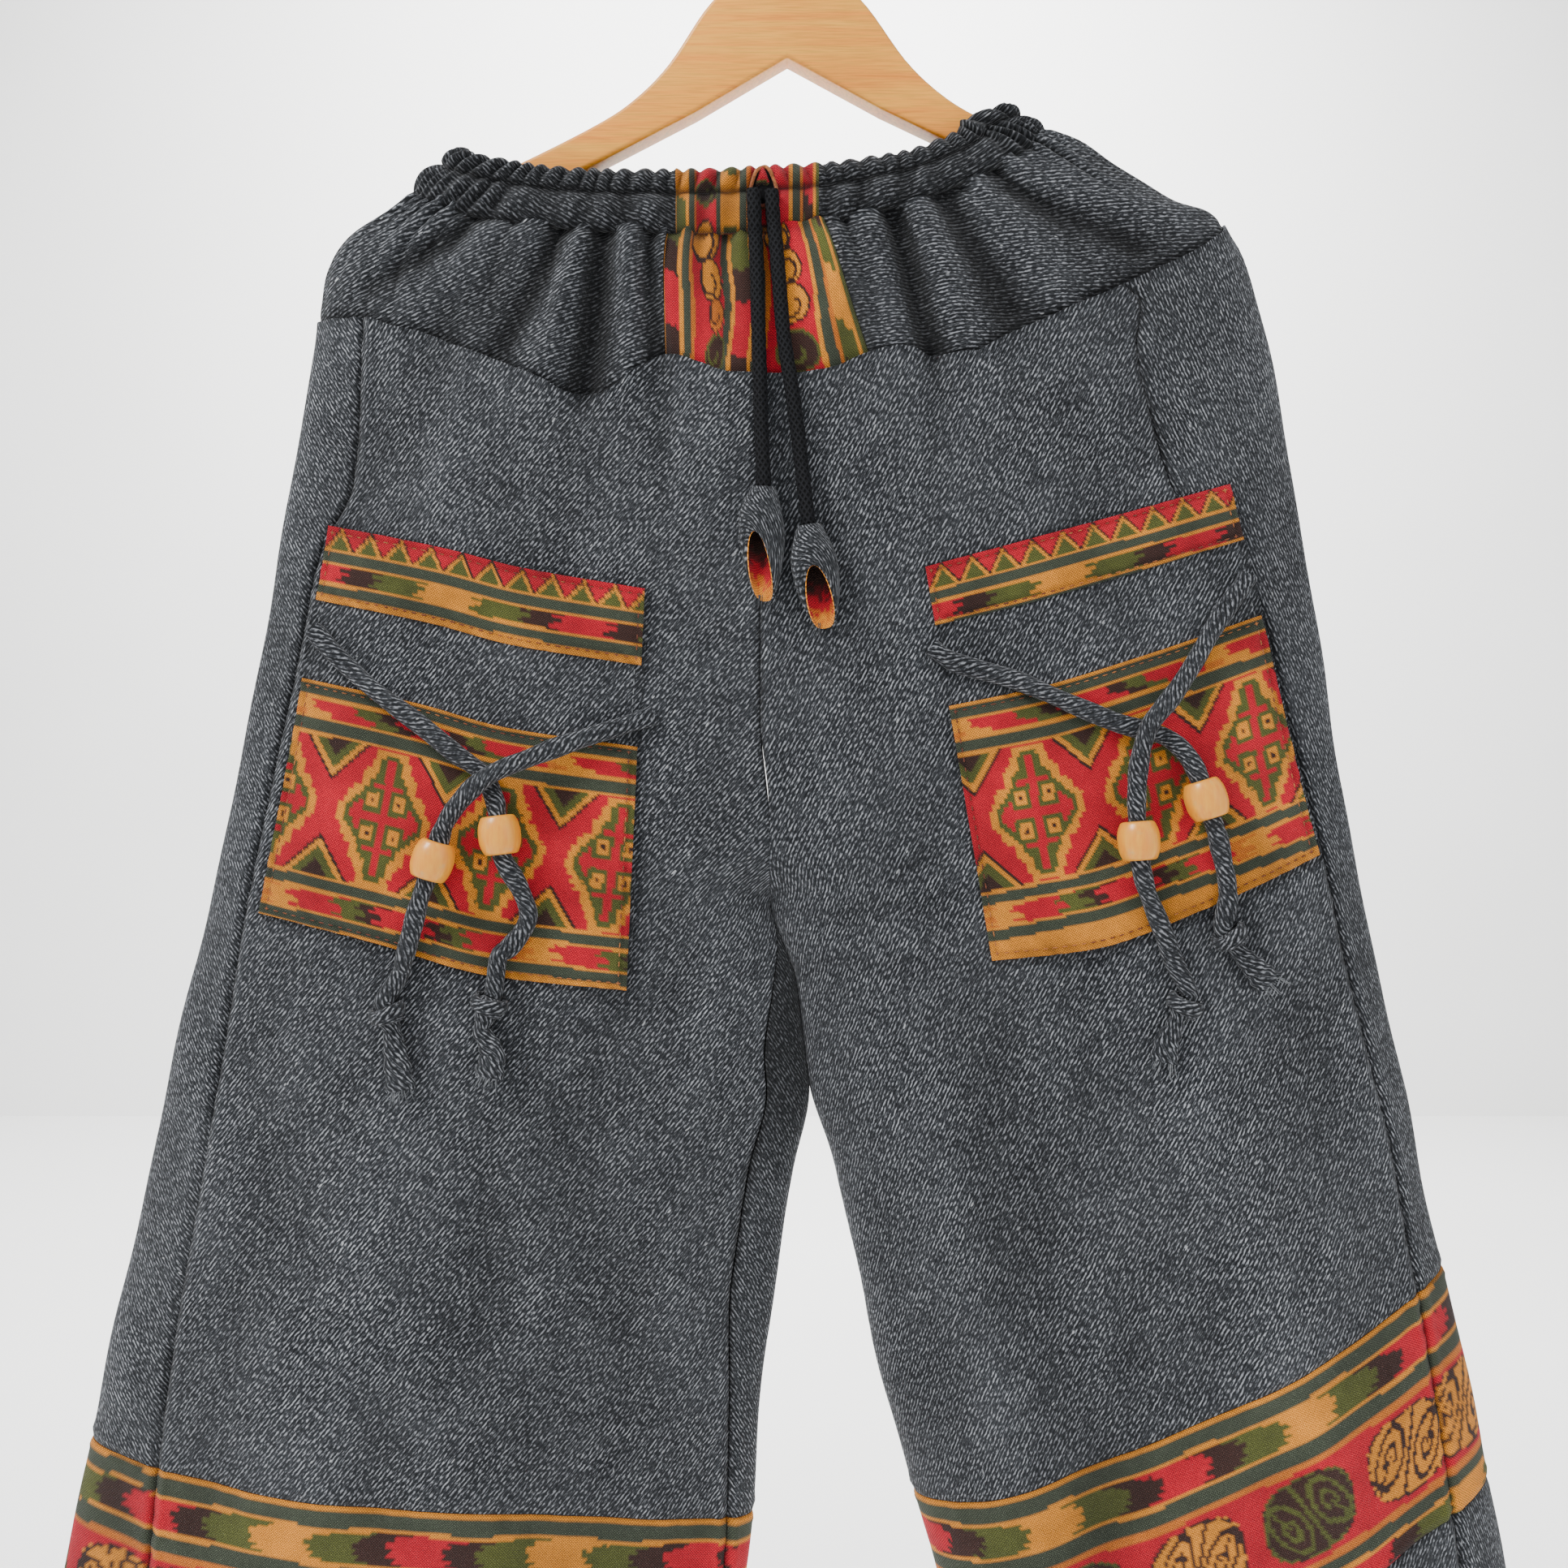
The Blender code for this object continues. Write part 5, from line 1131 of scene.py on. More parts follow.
# Tubes along a way
def tubeMesh(name, rings, material, turns, along=None, colour=None, shadeAndWear=None):
    # Rings of equal count joined into a closed tube, with flat ends; the UV map runs round and along.
    count, size, _ = rings.shape
    index = np.arange(count * size).reshape(count, size)
    after = np.roll(index, -1, axis=1)
    faces = np.stack([index[:-1], after[:-1], after[1:], index[1:]], axis=-1).reshape(-1, 4)
    if along is None:
        along = np.tile(lengthsAlong(rings.mean(axis=1))[:, None], (1, size + 1))
    uvGrid = np.stack([turns, along], axis=-1)
    corners = np.stack([uvGrid[:-1, :-1], uvGrid[:-1, 1:], uvGrid[1:, 1:], uvGrid[1:, :-1]], axis=2).reshape(-1, 2)
    mesh = bpy.data.meshes.new(name)
    allFaces = [tuple(face) for face in faces] + [tuple(index[0, ::-1]), tuple(index[-1])]
    mesh.from_pydata(rings.reshape(-1, 3).tolist(), [], allFaces)
    layer = mesh.uv_layers.new(name="cloth")
    caps = np.concatenate([uvGrid[0, :size][::-1], uvGrid[-1, :size]])
    layer.data.foreach_set("uv", np.concatenate([corners, caps]).astype(np.float32).ravel())
    if colour is not None:
        addPattern(mesh, colour.reshape(-1, 3))
    addPaintedShade(mesh, None if shadeAndWear is None else shadeAndWear.ravel())
    mesh.shade_smooth()
    mesh.set_sharp_from_angle(angle=math.radians(75))
    mesh.materials.append(material)
    piece = addObject(name, mesh)
    turnOutwards(piece)
    return piece


def turnOutwards(piece):
    # A closed shell whose volume comes out below zero is inside out.
    mesh = piece.data
    mesh.calc_loop_triangles()
    points = np.empty(len(mesh.vertices) * 3)
    mesh.vertices.foreach_get("co", points)
    corners = np.empty(len(mesh.loop_triangles) * 3, np.int32)
    mesh.loop_triangles.foreach_get("vertices", corners)
    a, b, c = np.moveaxis(points.reshape(-1, 3)[corners.reshape(-1, 3)], 1, 0)
    if np.einsum("ij,ij->i", a, np.cross(b, c)).sum() < 0:
        mesh.flip_normals()


def joinPieces(main, others):
    with bpy.context.temp_override(active_object=main, object=main, selected_objects=[main] + others,
                                   selected_editable_objects=[main] + others):
        bpy.ops.object.join()
    return main


def acrossWay(way):
    # The direction across a way in the front view.
    return unit(np.cross(way, (0.0, 1.0, 0.0)))


def wayFrames(path):
    # Directions along a path, across it in the front view, and forward.
    path = np.array(path)
    along = unit(np.gradient(path, axis=0))
    across = acrossWay(along)
    return path, along, across, np.cross(across, along)


def flatTube(name, path, halfWidth, halfDepth, material, around=16, squareness=2.6, twist=None):
    # A soft flattened tube: a folded strip of cloth. The sizes may change along it.
    path, along, across, forward = wayFrames(path)
    turn = 2 * math.pi * np.arange(around) / around
    cosine = np.sign(np.cos(turn)) * np.abs(np.cos(turn)) ** (2 / squareness)
    sine = np.sign(np.sin(turn)) * np.abs(np.sin(turn)) ** (2 / squareness)
    wide = np.broadcast_to(halfWidth, len(path))[:, None]
    deep = np.broadcast_to(halfDepth, len(path))[:, None]
    if twist is not None:
        c, s = np.cos(twist)[:, None], np.sin(twist)[:, None]
        across, forward = across * c + forward * s, forward * c - across * s
    rings = path[:, None] + across[:, None] * (wide * cosine)[..., None] + forward[:, None] * (deep * sine)[..., None]
    girth = 2 * math.pi * math.sqrt((np.mean(wide) ** 2 + np.mean(deep) ** 2) / 2)
    turns = np.tile(np.arange(around + 1) / around * girth, (len(path), 1))
    return tubeMesh(name, rings, material, turns)


def smoothWay(path, cuts=4):
    return curvePoints(path, cuts)


def threadTuft(name, tip, direction, count, length, thickness, material, seed):
    # A frayed end: short threads that fan out of a strip, each a three-sided tube.
    across = acrossWay(direction)
    pieces = []
    for k in range(count):
        a, b, c = scatter(seed + k * 3.0 + np.arange(3))
        start = tip + across * (a - 0.5) * 0.011 + np.array((0.0, (b - 0.5) * 0.003, 0.0)) - direction * 0.003
        bend = across * (a - 0.5) * 0.9 + np.array((0.0, -0.25 * b, 0.0))
        reach = length * (0.45 + 0.75 * c)
        share = np.linspace(0, 1, 6)[:, None]
        way = start + direction * share * reach + bend * share ** 2 * reach * 0.6
        taper = thickness * (1.0 - 0.6 * share[:, 0])
        pieces.append(flatTube(f"{name}{k}", way, taper, taper, material, around=4, squareness=2.0))
    return pieces


# Ties with their beads, knots and frayed tails
tieValues = {"halfWidth": 0.0045, "halfDepth": 0.0030, "lift": 0.0004, "diameter": 0.0090}
tieParts = ("leg_front", "leg_back", "pocket", "pocket_band", "pocket_patch")
cadTrees = {}


def cadTree(names):
    # The faces of some CAD nodes together, to lay a cord on.
    key = tuple(names)
    if key not in cadTrees:
        verts = []
        faces = []
        for name in names:
            mesh = nodes[name].data
            first = len(verts)
            verts += [vert.co.copy() for vert in mesh.vertices]
            faces += [[first + k for k in face.vertices] for face in mesh.polygons]
        cadTrees[key] = BVHTree.FromPolygons(verts, faces)
    return cadTrees[key]


def makeBead(name, centre, direction):
    # A barrel bead turned round its bore, with rounded rims and nearly flat ends.
    angles = np.linspace(-1, 1, 15)
    barrel = [(beadRadius * (1 - 0.16 * abs(a) ** 2.6), beadHalfHeight * 0.84 * a) for a in angles]
    rim = [(beadRadius * 0.80, beadHalfHeight * 0.93), (beadRadius * 0.72, beadHalfHeight * 0.985),
           (beadRadius * 0.62, beadHalfHeight), (beadBore + 0.0005, beadHalfHeight),
           (beadBore, beadHalfHeight * 0.95)]
    profile = [(r, -h) for r, h in reversed(rim)] + barrel + rim
    profile += [(beadBore, h) for h in np.linspace(beadHalfHeight * 0.9, -beadHalfHeight * 0.9, 4)]
    axis = np.array(direction.normalized())
    side = acrossWay(axis)
    other = np.cross(axis, side)
    rings = []
    for turn in np.linspace(0, 2 * math.pi, 49)[:-1]:
        out = side * math.cos(turn) + other * math.sin(turn)
        rings.append([np.array(centre) + out * r + axis * h for r, h in profile])
    rings = np.array(rings)
    count, size, _ = rings.shape
    faces = []
    for i in range(count):
        for j in range(size):
            k, m = (i + 1) % count, (j + 1) % size
            faces.append((i * size + j, i * size + m, k * size + m, k * size + j))
    mesh = bpy.data.meshes.new(name)
    mesh.from_pydata(rings.reshape(-1, 3).tolist(), [], faces)
    mesh.shade_smooth()
    mesh.materials.append(beadWood)
    bead = addObject(name, mesh)
    turnOutwards(bead)
    return bead


knotMiddle = 0.09    # share of the tie's end where the strip is wrapped round it


def makeTieEnd(name, points, top, seed):
    # A full body with a strip wrapped round it, then the flat tail with its frayed end.
    shares = np.linspace(knotTopShare, 3.0, 60)
    way = []
    for share in shares:
        index = min(int(share + 1), len(points) - 2)
        way.append(points[index].lerp(points[index + 1], share + 1 - index))
    wide, deep = (readTable(tieEndSections, column, shares) for column in (1, 2))
    smooth = smoothWay(way[::6] + [way[-1]], 6)
    again = np.linspace(0, 1, len(smooth))
    wide = np.interp(again, np.linspace(0, 1, len(wide)), wide)
    deep = np.interp(again, np.linspace(0, 1, len(deep)), deep) * 0.92
    folds = 1 + 0.07 * np.sin(again * 40 + seed)
    body = flatTube(name, smooth, wide * folds, deep, twillStrip, around=20, squareness=2.3)
    path, along, across, forward = wayFrames(smooth)
    middle, down, side, front = (line[int(len(path) * knotMiddle)] for line in (path, along, across, forward))
    wraps = []
    for lean, start in ((0.0042, 0.4), (-0.0030, 2.6)):
        turn = np.linspace(start, start + 5.6, 40)
        ring = (middle + side * (0.0072 * np.cos(turn))[:, None] + front * (0.0058 * np.sin(turn))[:, None]
                + down * (lean * (turn - start - 2.8) / 2.8)[:, None])
        wraps.append(wrapTube(f"{name}wrap{start}", ring, middle, down))
    tuft = threadTuft(f"{name}thread", path[-1], along[-1], 16, 0.009, 0.00022, greyThread, seed)
    return joinPieces(body, wraps + tuft)


def wrapTube(name, ring, middle, down):
    # A flat strip that runs round a knot.
    along = unit(np.gradient(ring, axis=0))
    out = ring - middle
    out = unit(out - down * (out @ down)[:, None])
    across = np.cross(along, out)
    turn = 2 * math.pi * np.arange(12) / 12
    fade = np.sin(np.linspace(0.25, math.pi - 0.25, len(ring)))[:, None]
    rings = (ring[:, None] + across[:, None] * (0.0036 * fade * np.cos(turn))[..., None]
             + out[:, None] * (0.0019 * fade * np.sin(turn))[..., None])
    return tubeMesh(name, rings, twillStrip, np.tile(np.arange(13) / 12 * 0.016, (len(ring), 1)))


def makeTies(v):
    for number, (name, rows) in enumerate(tieRows.items()):
        side = name.split("_")[0]
        tree = cadTree([f"{part}_{side}" for part in tieParts])
        end = tieEndPoints(tree, tieEndRows[name])
        top, wayUp = knotTop(end)
        route = laidRoute(tree, rows, tieRadius) + [top + wayUp * tieStraight, top + wayUp * seamGap]
        path = [point + Vector((0.0, v["lift"], 0.0)) for point in smoothWay(route)]
        share = np.linspace(0, 1, len(path))
        uneven = 1 + 0.06 * np.sin(share * 31 + number * 2) + 0.04 * np.sin(share * 67 + number)
        tie = flatTube(f"tie_{name}_cloth", path, v["halfWidth"] * uneven, v["halfDepth"] / uneven, twillStrip,
                       twist=0.22 * np.sin(share * 9 + number * 1.7))
        upper, lower = (laidOn(tree, *row[:2], tieRadius, inBead) for row in rows if row[2] == inBead)
        bead = makeBead(f"bead_{name}_wood", (upper + lower) / 2, upper - lower)
        knot = makeTieEnd(f"knot_{name}_cloth", end, top, 11.0 * number + 3)
        finishPiece(tie, "charcoal_twill", f"tie_{name}")
        finishPiece(bead, "pale_bead", f"bead_{name}")
        finishPiece(knot, "charcoal_twill", f"knot_{name}")


# Drawstrings with their cloth leaves
leafValues = {"around": 48, "down": 30, "open": 0.60, "narrow": 1.5, "wall": 0.0009, "threads": 9,
              "turns": (-122.0, -98.0)}


def makeLeaf(name, top, bottom, v, turn):
    # A tulip of folded twill, cut open slantwise in front and lined with border cloth.
    axis = np.array((bottom - top).normalized())
    length = (bottom - top).length
    across = acrossWay(axis)
    forward = np.cross(across, axis)
    shares = np.linspace(0, 1, v["down"])
    wide, deep = (readTable(leafSections, column, shares) for column in (1, 2))
    angles = 2 * math.pi * np.arange(v["around"]) / v["around"]
    facing = angles - math.radians(turn)
    shorter = 1 - v["open"] * ((1 + np.cos(facing)) / 2) ** v["narrow"]
    rings = []
    for inward in (0.0, v["wall"]):
        grid = []
        for share, w, d in zip(shares, wide, deep):
            fold = 1 - 0.20 * share * np.exp(-((np.mod(facing, 2 * math.pi) - math.pi) / 0.35) ** 2)
            flare = 1 + 0.10 * share ** 2 * np.cos(facing)
            radiusAcross = (w - inward) * fold * flare * np.cos(angles)
            radiusForward = (d - inward) * fold * flare * np.sin(angles)
            down = share * length * shorter
            grid.append(np.array(top) + across * radiusAcross[:, None] + forward * radiusForward[:, None]
                        + axis * down[:, None])
        rings.append(np.array(grid))
    outer, inner = rings
    shell = tubeMesh(name, np.concatenate([outer, inner[::-1]]), twillStrip,
                     turns=np.tile(np.arange(v["around"] + 1) / v["around"] * 0.055, (2 * v["down"], 1)))
    tip = np.argmin(np.cos(facing))
    tuft = threadTuft(f"{name}Thread", outer[-1, tip], axis, v["threads"], 0.007, 0.00022, greyThread, turn)
    joinPieces(shell, tuft)
    lining = outer + (inner - outer) * 1.06
    grid = np.concatenate([lining, lining[:, :1]], axis=1)
    uv = np.stack([np.tile(np.linspace(0, 0.05, v["around"] + 1), (v["down"], 1)),
                   np.tile(shares[:, None] * length, (1, v["around"] + 1))], axis=-1)
    picks = np.floor(uv / pickHeight)
    mixed = shares[:, None] + 0.14 * (scatter(picks[..., 0] + 17 * picks[..., 1]) - 0.5)
    names = np.full(mixed.shape, ink("brown"))
    for limit, inkName in ((0.60, "darkred"), (0.68, "crimson"), (0.84, "orange"), (0.93, "yellow")):
        names = np.where(mixed > limit, ink(inkName), names)
    thin = grid + (np.concatenate([inner - outer, (inner - outer)[:, :1]], axis=1)) * 0.4
    # Painted shade inside the cup: the lining grows darker towards the top, deep in the leaf.
    shadeAndWear = np.tile(np.clip(0.35 + 1.1 * shares[:, None] ** 2, 0, 1.2), (1, v["around"] + 1))
    inside = sheetMesh(f"{name}Lining", thin, grid, uv, border, inkColours[names], shadeAndWear)
    return shell, inside


braidTurn = 420    # how fast the braid's strands wind, in radians a metre


def makeDrawstrings(v):
    tree = cadTree(("casing_centre", "centre_panel", "leg_front_left", "leg_front_right"))
    for number, side in enumerate(sides):
        top, bottom = (laidOn(tree, x, z, leafLift) for x, z in leafEnds[side])
        wayDown = (bottom - top).normalized()
        route = laidRoute(tree, drawstringRows[side], drawstringRadius)
        route += [top - wayDown * cordBeforeLeaf, top, top + wayDown * cordInLeaf]
        path = smoothWay(route, 6)
        turns = np.tile(np.arange(25) / 24, (len(path), 1))
        frames = wayFrames(path)
        angle = 2 * math.pi * np.arange(24) / 24
        lengths = lengthsAlong(frames[0])
        lean = lengths[:, None] * braidTurn
        weave = np.maximum(np.abs(np.sin(2 * angle[None] + lean)), np.abs(np.sin(2 * angle[None] - lean)))
        radius = drawstringRadius * (0.90 + 0.13 * weave)
        rings = (frames[0][:, None] + frames[2][:, None] * (radius * np.cos(angle))[..., None]
                 + frames[3][:, None] * (radius * np.sin(angle))[..., None])
        string = tubeMesh(f"drawstring_{side}_braid", rings, black, turns)
        leaf, lining = makeLeaf(f"leaf_{side}_cloth", top, bottom, v, v["turns"][number])
        finishPiece(string, "black_cord", f"drawstring_{side}")
        finishPiece(leaf, "charcoal_twill", f"cord_leaf_{side}")
        finishPiece(lining, "border_cloth", f"cord_leaf_{side}")


makeTies(tieValues)
makeDrawstrings(leafValues)
print("cords made")


# Legs, their borders and the plain cloth below
legValues = {"fine": 6, "hipRows": 52, "forkRows": 18, "legRows": 64, "borderRows": 76, "backBorderRows": 56,
             "lowerRows": 40, "seamDepth": 0.0011, "seamWidth": 0.0016, "edgeRise": 0.0019, "forkShadow": 0.62}


forkMiddle = -0.552
forkReach = 0.080


def forkCalm(z):
    # 1 where the two legs lie against each other, 0 elsewhere.
    return bell(z - forkMiddle, forkReach, 6)


def legSeams(points, face, v, raised):
    # Grooves at the side seam and the inner seam, and a raised edge along the top of a leg.
    across, down = gridArcs(points)
    total = across[:, -1:]
    inner, outer = (across, total - across) if face == "front" else (total - across, across)
    quiet = 1 - forkCalm(points[..., 2])
    relief = seamDip(inner, v["seamDepth"], v["seamWidth"]) * quiet + seamDip(outer, v["seamDepth"], v["seamWidth"])
    relief += puckers(points[..., 2], inner, 0.013, 0.00045, 0.006) * np.exp(-inner / 0.006) * quiet
    relief += puckers(points[..., 2] + 0.004, outer, 0.012, 0.00055, 0.007)
    if raised is not None:
        relief += v["edgeRise"] * raised * bell(down, 0.004)
        relief += puckers(points[..., 0], down, 0.0105, 0.0007, 0.010)
        relief += seamDip(down[-1:] - down, 0.0007, 0.0016)
    else:
        relief += seamDip(down, 0.0006, 0.0013) + seamDip(down[-1:] - down, 0.0006, 0.0013)
        relief += puckers(points[..., 0], down, 0.016, 0.0004, 0.012)
    return relief


def makePanel(name, side, face, places, heights, v, raised=None, pattern=None):
    base = bodyPoint(side, places, heights)
    across, down = gridArcs(base)
    inward = across if face == "front" else across[:, -1:] - across
    calm = 1 - forkCalm(base[..., 2]) * bell(inward, 0.022)
    relief = clothRelief(face, base[..., 0], base[..., 2]) * calm + legSeams(base, face, v, raised)
    outer, normals = clothSurface(side, places, heights, relief)
    inner = outer - normals * cloth * wallShare
    seam = np.minimum(np.minimum(across, across[:, -1:] - across), down)
    # Painted shade and light from the relief: darker in folds and creases, lighter on ridges, darker along the seam
    # grooves.
    shadeAndWear = 1 + (relief + 0.6 * foldRelief(face, base[..., 0], base[..., 2])) / 0.010
    shadeAndWear = shadeAndWear - 0.30 * bell(seam, 0.0010)
    # Painted shadow in the gap between the legs, on the back panels near the fork.
    if face == "back":
        forkShadow = bell(inward, 0.034, 4) * bell(base[..., 2] + 0.590, 0.062, 4)
        shadeAndWear -= v["forkShadow"] * forkShadow
    material, slot, colour = twill[side], "charcoal_twill", None
    if pattern is not None:
        material, slot = border, "border_cloth"
        start = 0.0 if face == "front" else 0.013
        colour = inkColours[pattern(across + start, down + 0.0004 * np.sin(across * 90))]
        uv = np.stack([across, down], axis=-1)
    else:
        uv = legUv(bodyPoint(side, places, heights, False), side, face)
    piece = sheetMesh(f"{name}_cloth", outer, inner, uv, material, colour, shadeAndWear)
    finishPiece(piece, slot, name)
    declareSheet(piece, outer)


def underBorder(drop):
    return lambda side, places: borderZ(side, places, drop)


def makeLeg(side, v):
    hipBottom = crotchZ + crotchCurve
    for face, reader, fine in (("front", frontPlaces, v["fine"]), ("back", backPlaces, v["fine"] - 1)):
        fineReader = lambda s, z: reader(s, z, fine)
        stretches = (
            (lambda s, p: yokeSeamZ(s, p) - seamGap / 2, level(hipBottom), even(v["hipRows"])),
            (level(hipBottom), level(crotchZ), even(v["forkRows"])),
            (level(crotchZ), underBorder(-seamGap / 2), even(v["legRows"])),
        )
        grids = [columnGrid(side, fineReader, *stretch) for stretch in stretches]
        places = np.concatenate([grids[0][0]] + [grid[0][1:] for grid in grids[1:]])
        heights = np.concatenate([grids[0][1]] + [grid[1][1:] for grid in grids[1:]])
        makePanel(f"leg_{face}_{side}", side, face, places, heights, v, raised=np.sqrt(np.abs(np.sin(places))))
        rows = v["borderRows"] if face == "front" else v["backBorderRows"]
        places, heights = columnGrid(side, lambda s, z: reader(s, z, 2 * fine), underBorder(seamGap / 2),
                                     underBorder(borderHeight - seamGap / 2), even(rows))
        makePanel(f"border_{face}_{side}", side, face, places, heights, v, pattern=legPattern)
        places, heights = columnGrid(side, lambda s, z: reader(s, z, fine - 1), underBorder(borderHeight + seamGap / 2),
                                     underBorder(borderHeight + lowerLeg), even(v["lowerRows"]))
        makePanel(f"lower_{face}_{side}", side, face, places, heights, v)


# Yoke and centre panel
yokeValues = {"fine": 7, "rows": 44, "pleat": 0.0032, "fade": 0.022, "tuck": 0.0024, "seamDepth": 0.0012,
              "seamWidth": 0.0016}


def pleatPhase(places):
    # Uneven gathers: the wave runs faster and slower round the waist.
    return places * 57 + 1.9 * np.sin(places * 7.3) + 1.1 * np.sin(places * 17.9 + 1.0)


def yokeGrid(side, top, bottom, v):
    # Places and heights from just under the casing to the yoke seam.
    topZ = casingHeights(side, top)[1] + v["tuck"]
    bottomZ = yokeSeamZ(side, bottom) + seamGap / 2
    share = even(v["rows"])[:, None]
    return top + (bottom - top) * share, topZ + (bottomZ - topZ) * share


def bothFaces(reader, places, points):
    # A relief that is read on the front or on the back, where each place lies.
    x, z = points[..., 0], points[..., 2]
    return np.where(np.sin(places) > 0, reader("front", x, z), reader("back", x, z))


def makeYoke(side, v):
    top, bottom = yokeColumns(side, v["fine"])
    places, heights = yokeGrid(side, top, bottom, v)
    places[:, 0] = gapFromCentre(side, places[:, 0], heights[:, 0], seamGap / 2)
    places[:, -1] = gapFromCentre(side, places[:, -1], heights[:, -1], -seamGap / 2)
    base = bodyPoint(side, places, heights)
    across, down = gridArcs(base)
    small = bothFaces(clothRelief, places, base)
    phase = pleatPhase(top)[None]
    deep = 0.62 + 0.38 * np.sin(phase * 0.31 + 0.6)
    valley = 1.7 * np.abs(np.sin(phase / 2)) ** 0.7 - 1.0
    fading = 0.40 * np.exp(-down / (2.6 * v["fade"])) + 0.75 * np.exp(-down / v["fade"])
    pleats = v["pleat"] * valley * deep * fading
    large = bothFaces(foldRelief, places, base)
    dip = -0.0018 * bell(down - v["tuck"], 0.0028) + seamDip(across, v["seamDepth"], v["seamWidth"])
    dip -= 0.0008 * bell(down[-1:] - down, 0.0030)
    outer, normals = clothSurface(side, places, heights, small + pleats + dip)
    inner = outer - normals * cloth * wallShare
    # Painted shade: darker in the gathers and folds and under the casing, lighter on their ridges, and a painted shadow
    # above the raised top edge of the leg at the seam.
    shadeAndWear = 1 + (small + 1.9 * pleats + 1.6 * large) / 0.0065 - 0.45 * bell(down - v["tuck"], 0.0040)
    shadeAndWear -= 0.62 * bell(down[-1:] - down, 0.0028)
    piece = sheetMesh(f"yoke_{side}_cloth", outer, inner, clothUv(base, 0.25), twillYoke[side], None, shadeAndWear)
    finishPiece(piece, "charcoal_twill", f"yoke_{side}")
    declareSheet(piece, outer)


def makeCentrePanel(v):
    halves = []
    for index, side in enumerate(sides):
        top = middlePlace + (math.radians(centreEdgeTop[index]) - middlePlace) * even(centreCells * v["fine"])
        seam, _ = columnGrid(side, lambda s, z: frontPlaces(s, z, v["fine"]), yokeSeamZ, level(crotchZ), [0.0])
        bottom = seam[0][:centreCells * v["fine"] + 1]
        places, heights = yokeGrid(side, top, bottom, v)
        places[:, -1] = gapFromCentre(side, places[:, -1], heights[:, -1], -seamGap / 2)
        base = bodyPoint(side, places, heights)
        down = gridArcs(base)[1]
        phase = pleatPhase(top)[None] * 1.2
        relief = clothRelief("front", base[..., 0], base[..., 2])
        relief += v["pleat"] * 0.6 * np.sin(phase) * np.exp(-down / v["fade"])
        relief -= 0.0014 * bell(down - v["tuck"], 0.0028) + 0.0008 * bell(down[-1:] - down, 0.0030)
        edge = np.abs(base[..., 0] - base[:, -1:, 0])
        relief += seamDip(edge, 0.0009, 0.0014)
        outer, normals = clothSurface(side, places, heights, relief)
        halves.append((outer, outer - normals * cloth * wallShare, np.repeat(relief[..., None], 3, axis=-1)))
    outer, inner, relief = (np.concatenate([left[:, :0:-1], (left[:, :1] + right[:, :1]) / 2, right[:, 1:]], axis=1)
                            for left, right in zip(*halves))
    fineWay = np.linspace(0, 1, 130)
    coarse = np.linspace(0, 1, outer.shape[1])
    outer = resampled(outer, coarse, fineWay)
    inner = resampled(inner, coarse, fineWay)
    # Painted shade and light from the relief: darker in the furrow under the casing and along the seams, lighter on
    # ridges.
    shadeAndWear = 1.02 + resampled(relief, coarse, fineWay)[..., 0] / 0.0055
    across, down = gridArcs(outer)
    waving = 0.016 * np.sin(down * 95 + 3.0 * fineWay) * np.sin(math.pi * fineWay)
    colour = inkColours[centrePattern(fineWay + waving, down + patternAbovePanel)]
    piece = sheetMesh("centre_panel_cloth", outer, inner, np.stack([across, down], axis=-1), border, colour, shadeAndWear)
    finishPiece(piece, "border_cloth", "centre_panel")
    declareSheet(piece, outer)


def resampled(grid, old, new):
    # The same grid with other columns, read along each row.
    result = np.empty((grid.shape[0], len(new), 3))
    for i, row in enumerate(grid):
        for k in range(3):
            result[i, :, k] = np.interp(new, old, row[:, k])
    return result


# Waist casing: a ruffled rope of cloth above a gathered band
casingValues = {"frontColumns": 15, "backColumns": 12, "band": 0.62, "ruffle": 0.0023, "rufflePitch": 0.0088,
                "gather": 0.0021, "fullness": 0.0026}
# Rows of the profile on the turned side
turnedRows = [(0.985, -0.0026, 0.15, 0.0), (0.94, -0.0034, 0.0, 0.0), (0.6, -0.0034, 0.0, 0.0),
              (0.3, -0.0033, 0.0, 0.0), (0.0, -0.003, 0.0, 0.0)]


def casingProfile(v):
    # Up the front and down the inside: share of the height, distance out, weights of ruffles and gathers.
    rows = []
    for share in np.concatenate([np.linspace(0, v["band"], 12), np.linspace(v["band"], 1.0, 13)[1:]]):
        if share <= v["band"]:
            part = share / v["band"]
            out = v["fullness"] * math.sin(math.pi * part) ** 0.7 - 0.0004
            rows.append((share, out, 0.0, 0.35 + 0.65 * math.sin(math.pi * part)))
        else:
            part = (share - v["band"]) / (1 - v["band"])
            crown = max(math.sin(math.pi * min(part, 0.999)), 0.0) ** 0.6
            out = (v["fullness"] + 0.0004) * crown - 0.0010 * part - 0.0002
            rows.append((share, out, 0.30 + 0.70 * math.sin(math.pi * part), 0.0))
    return rows + turnedRows


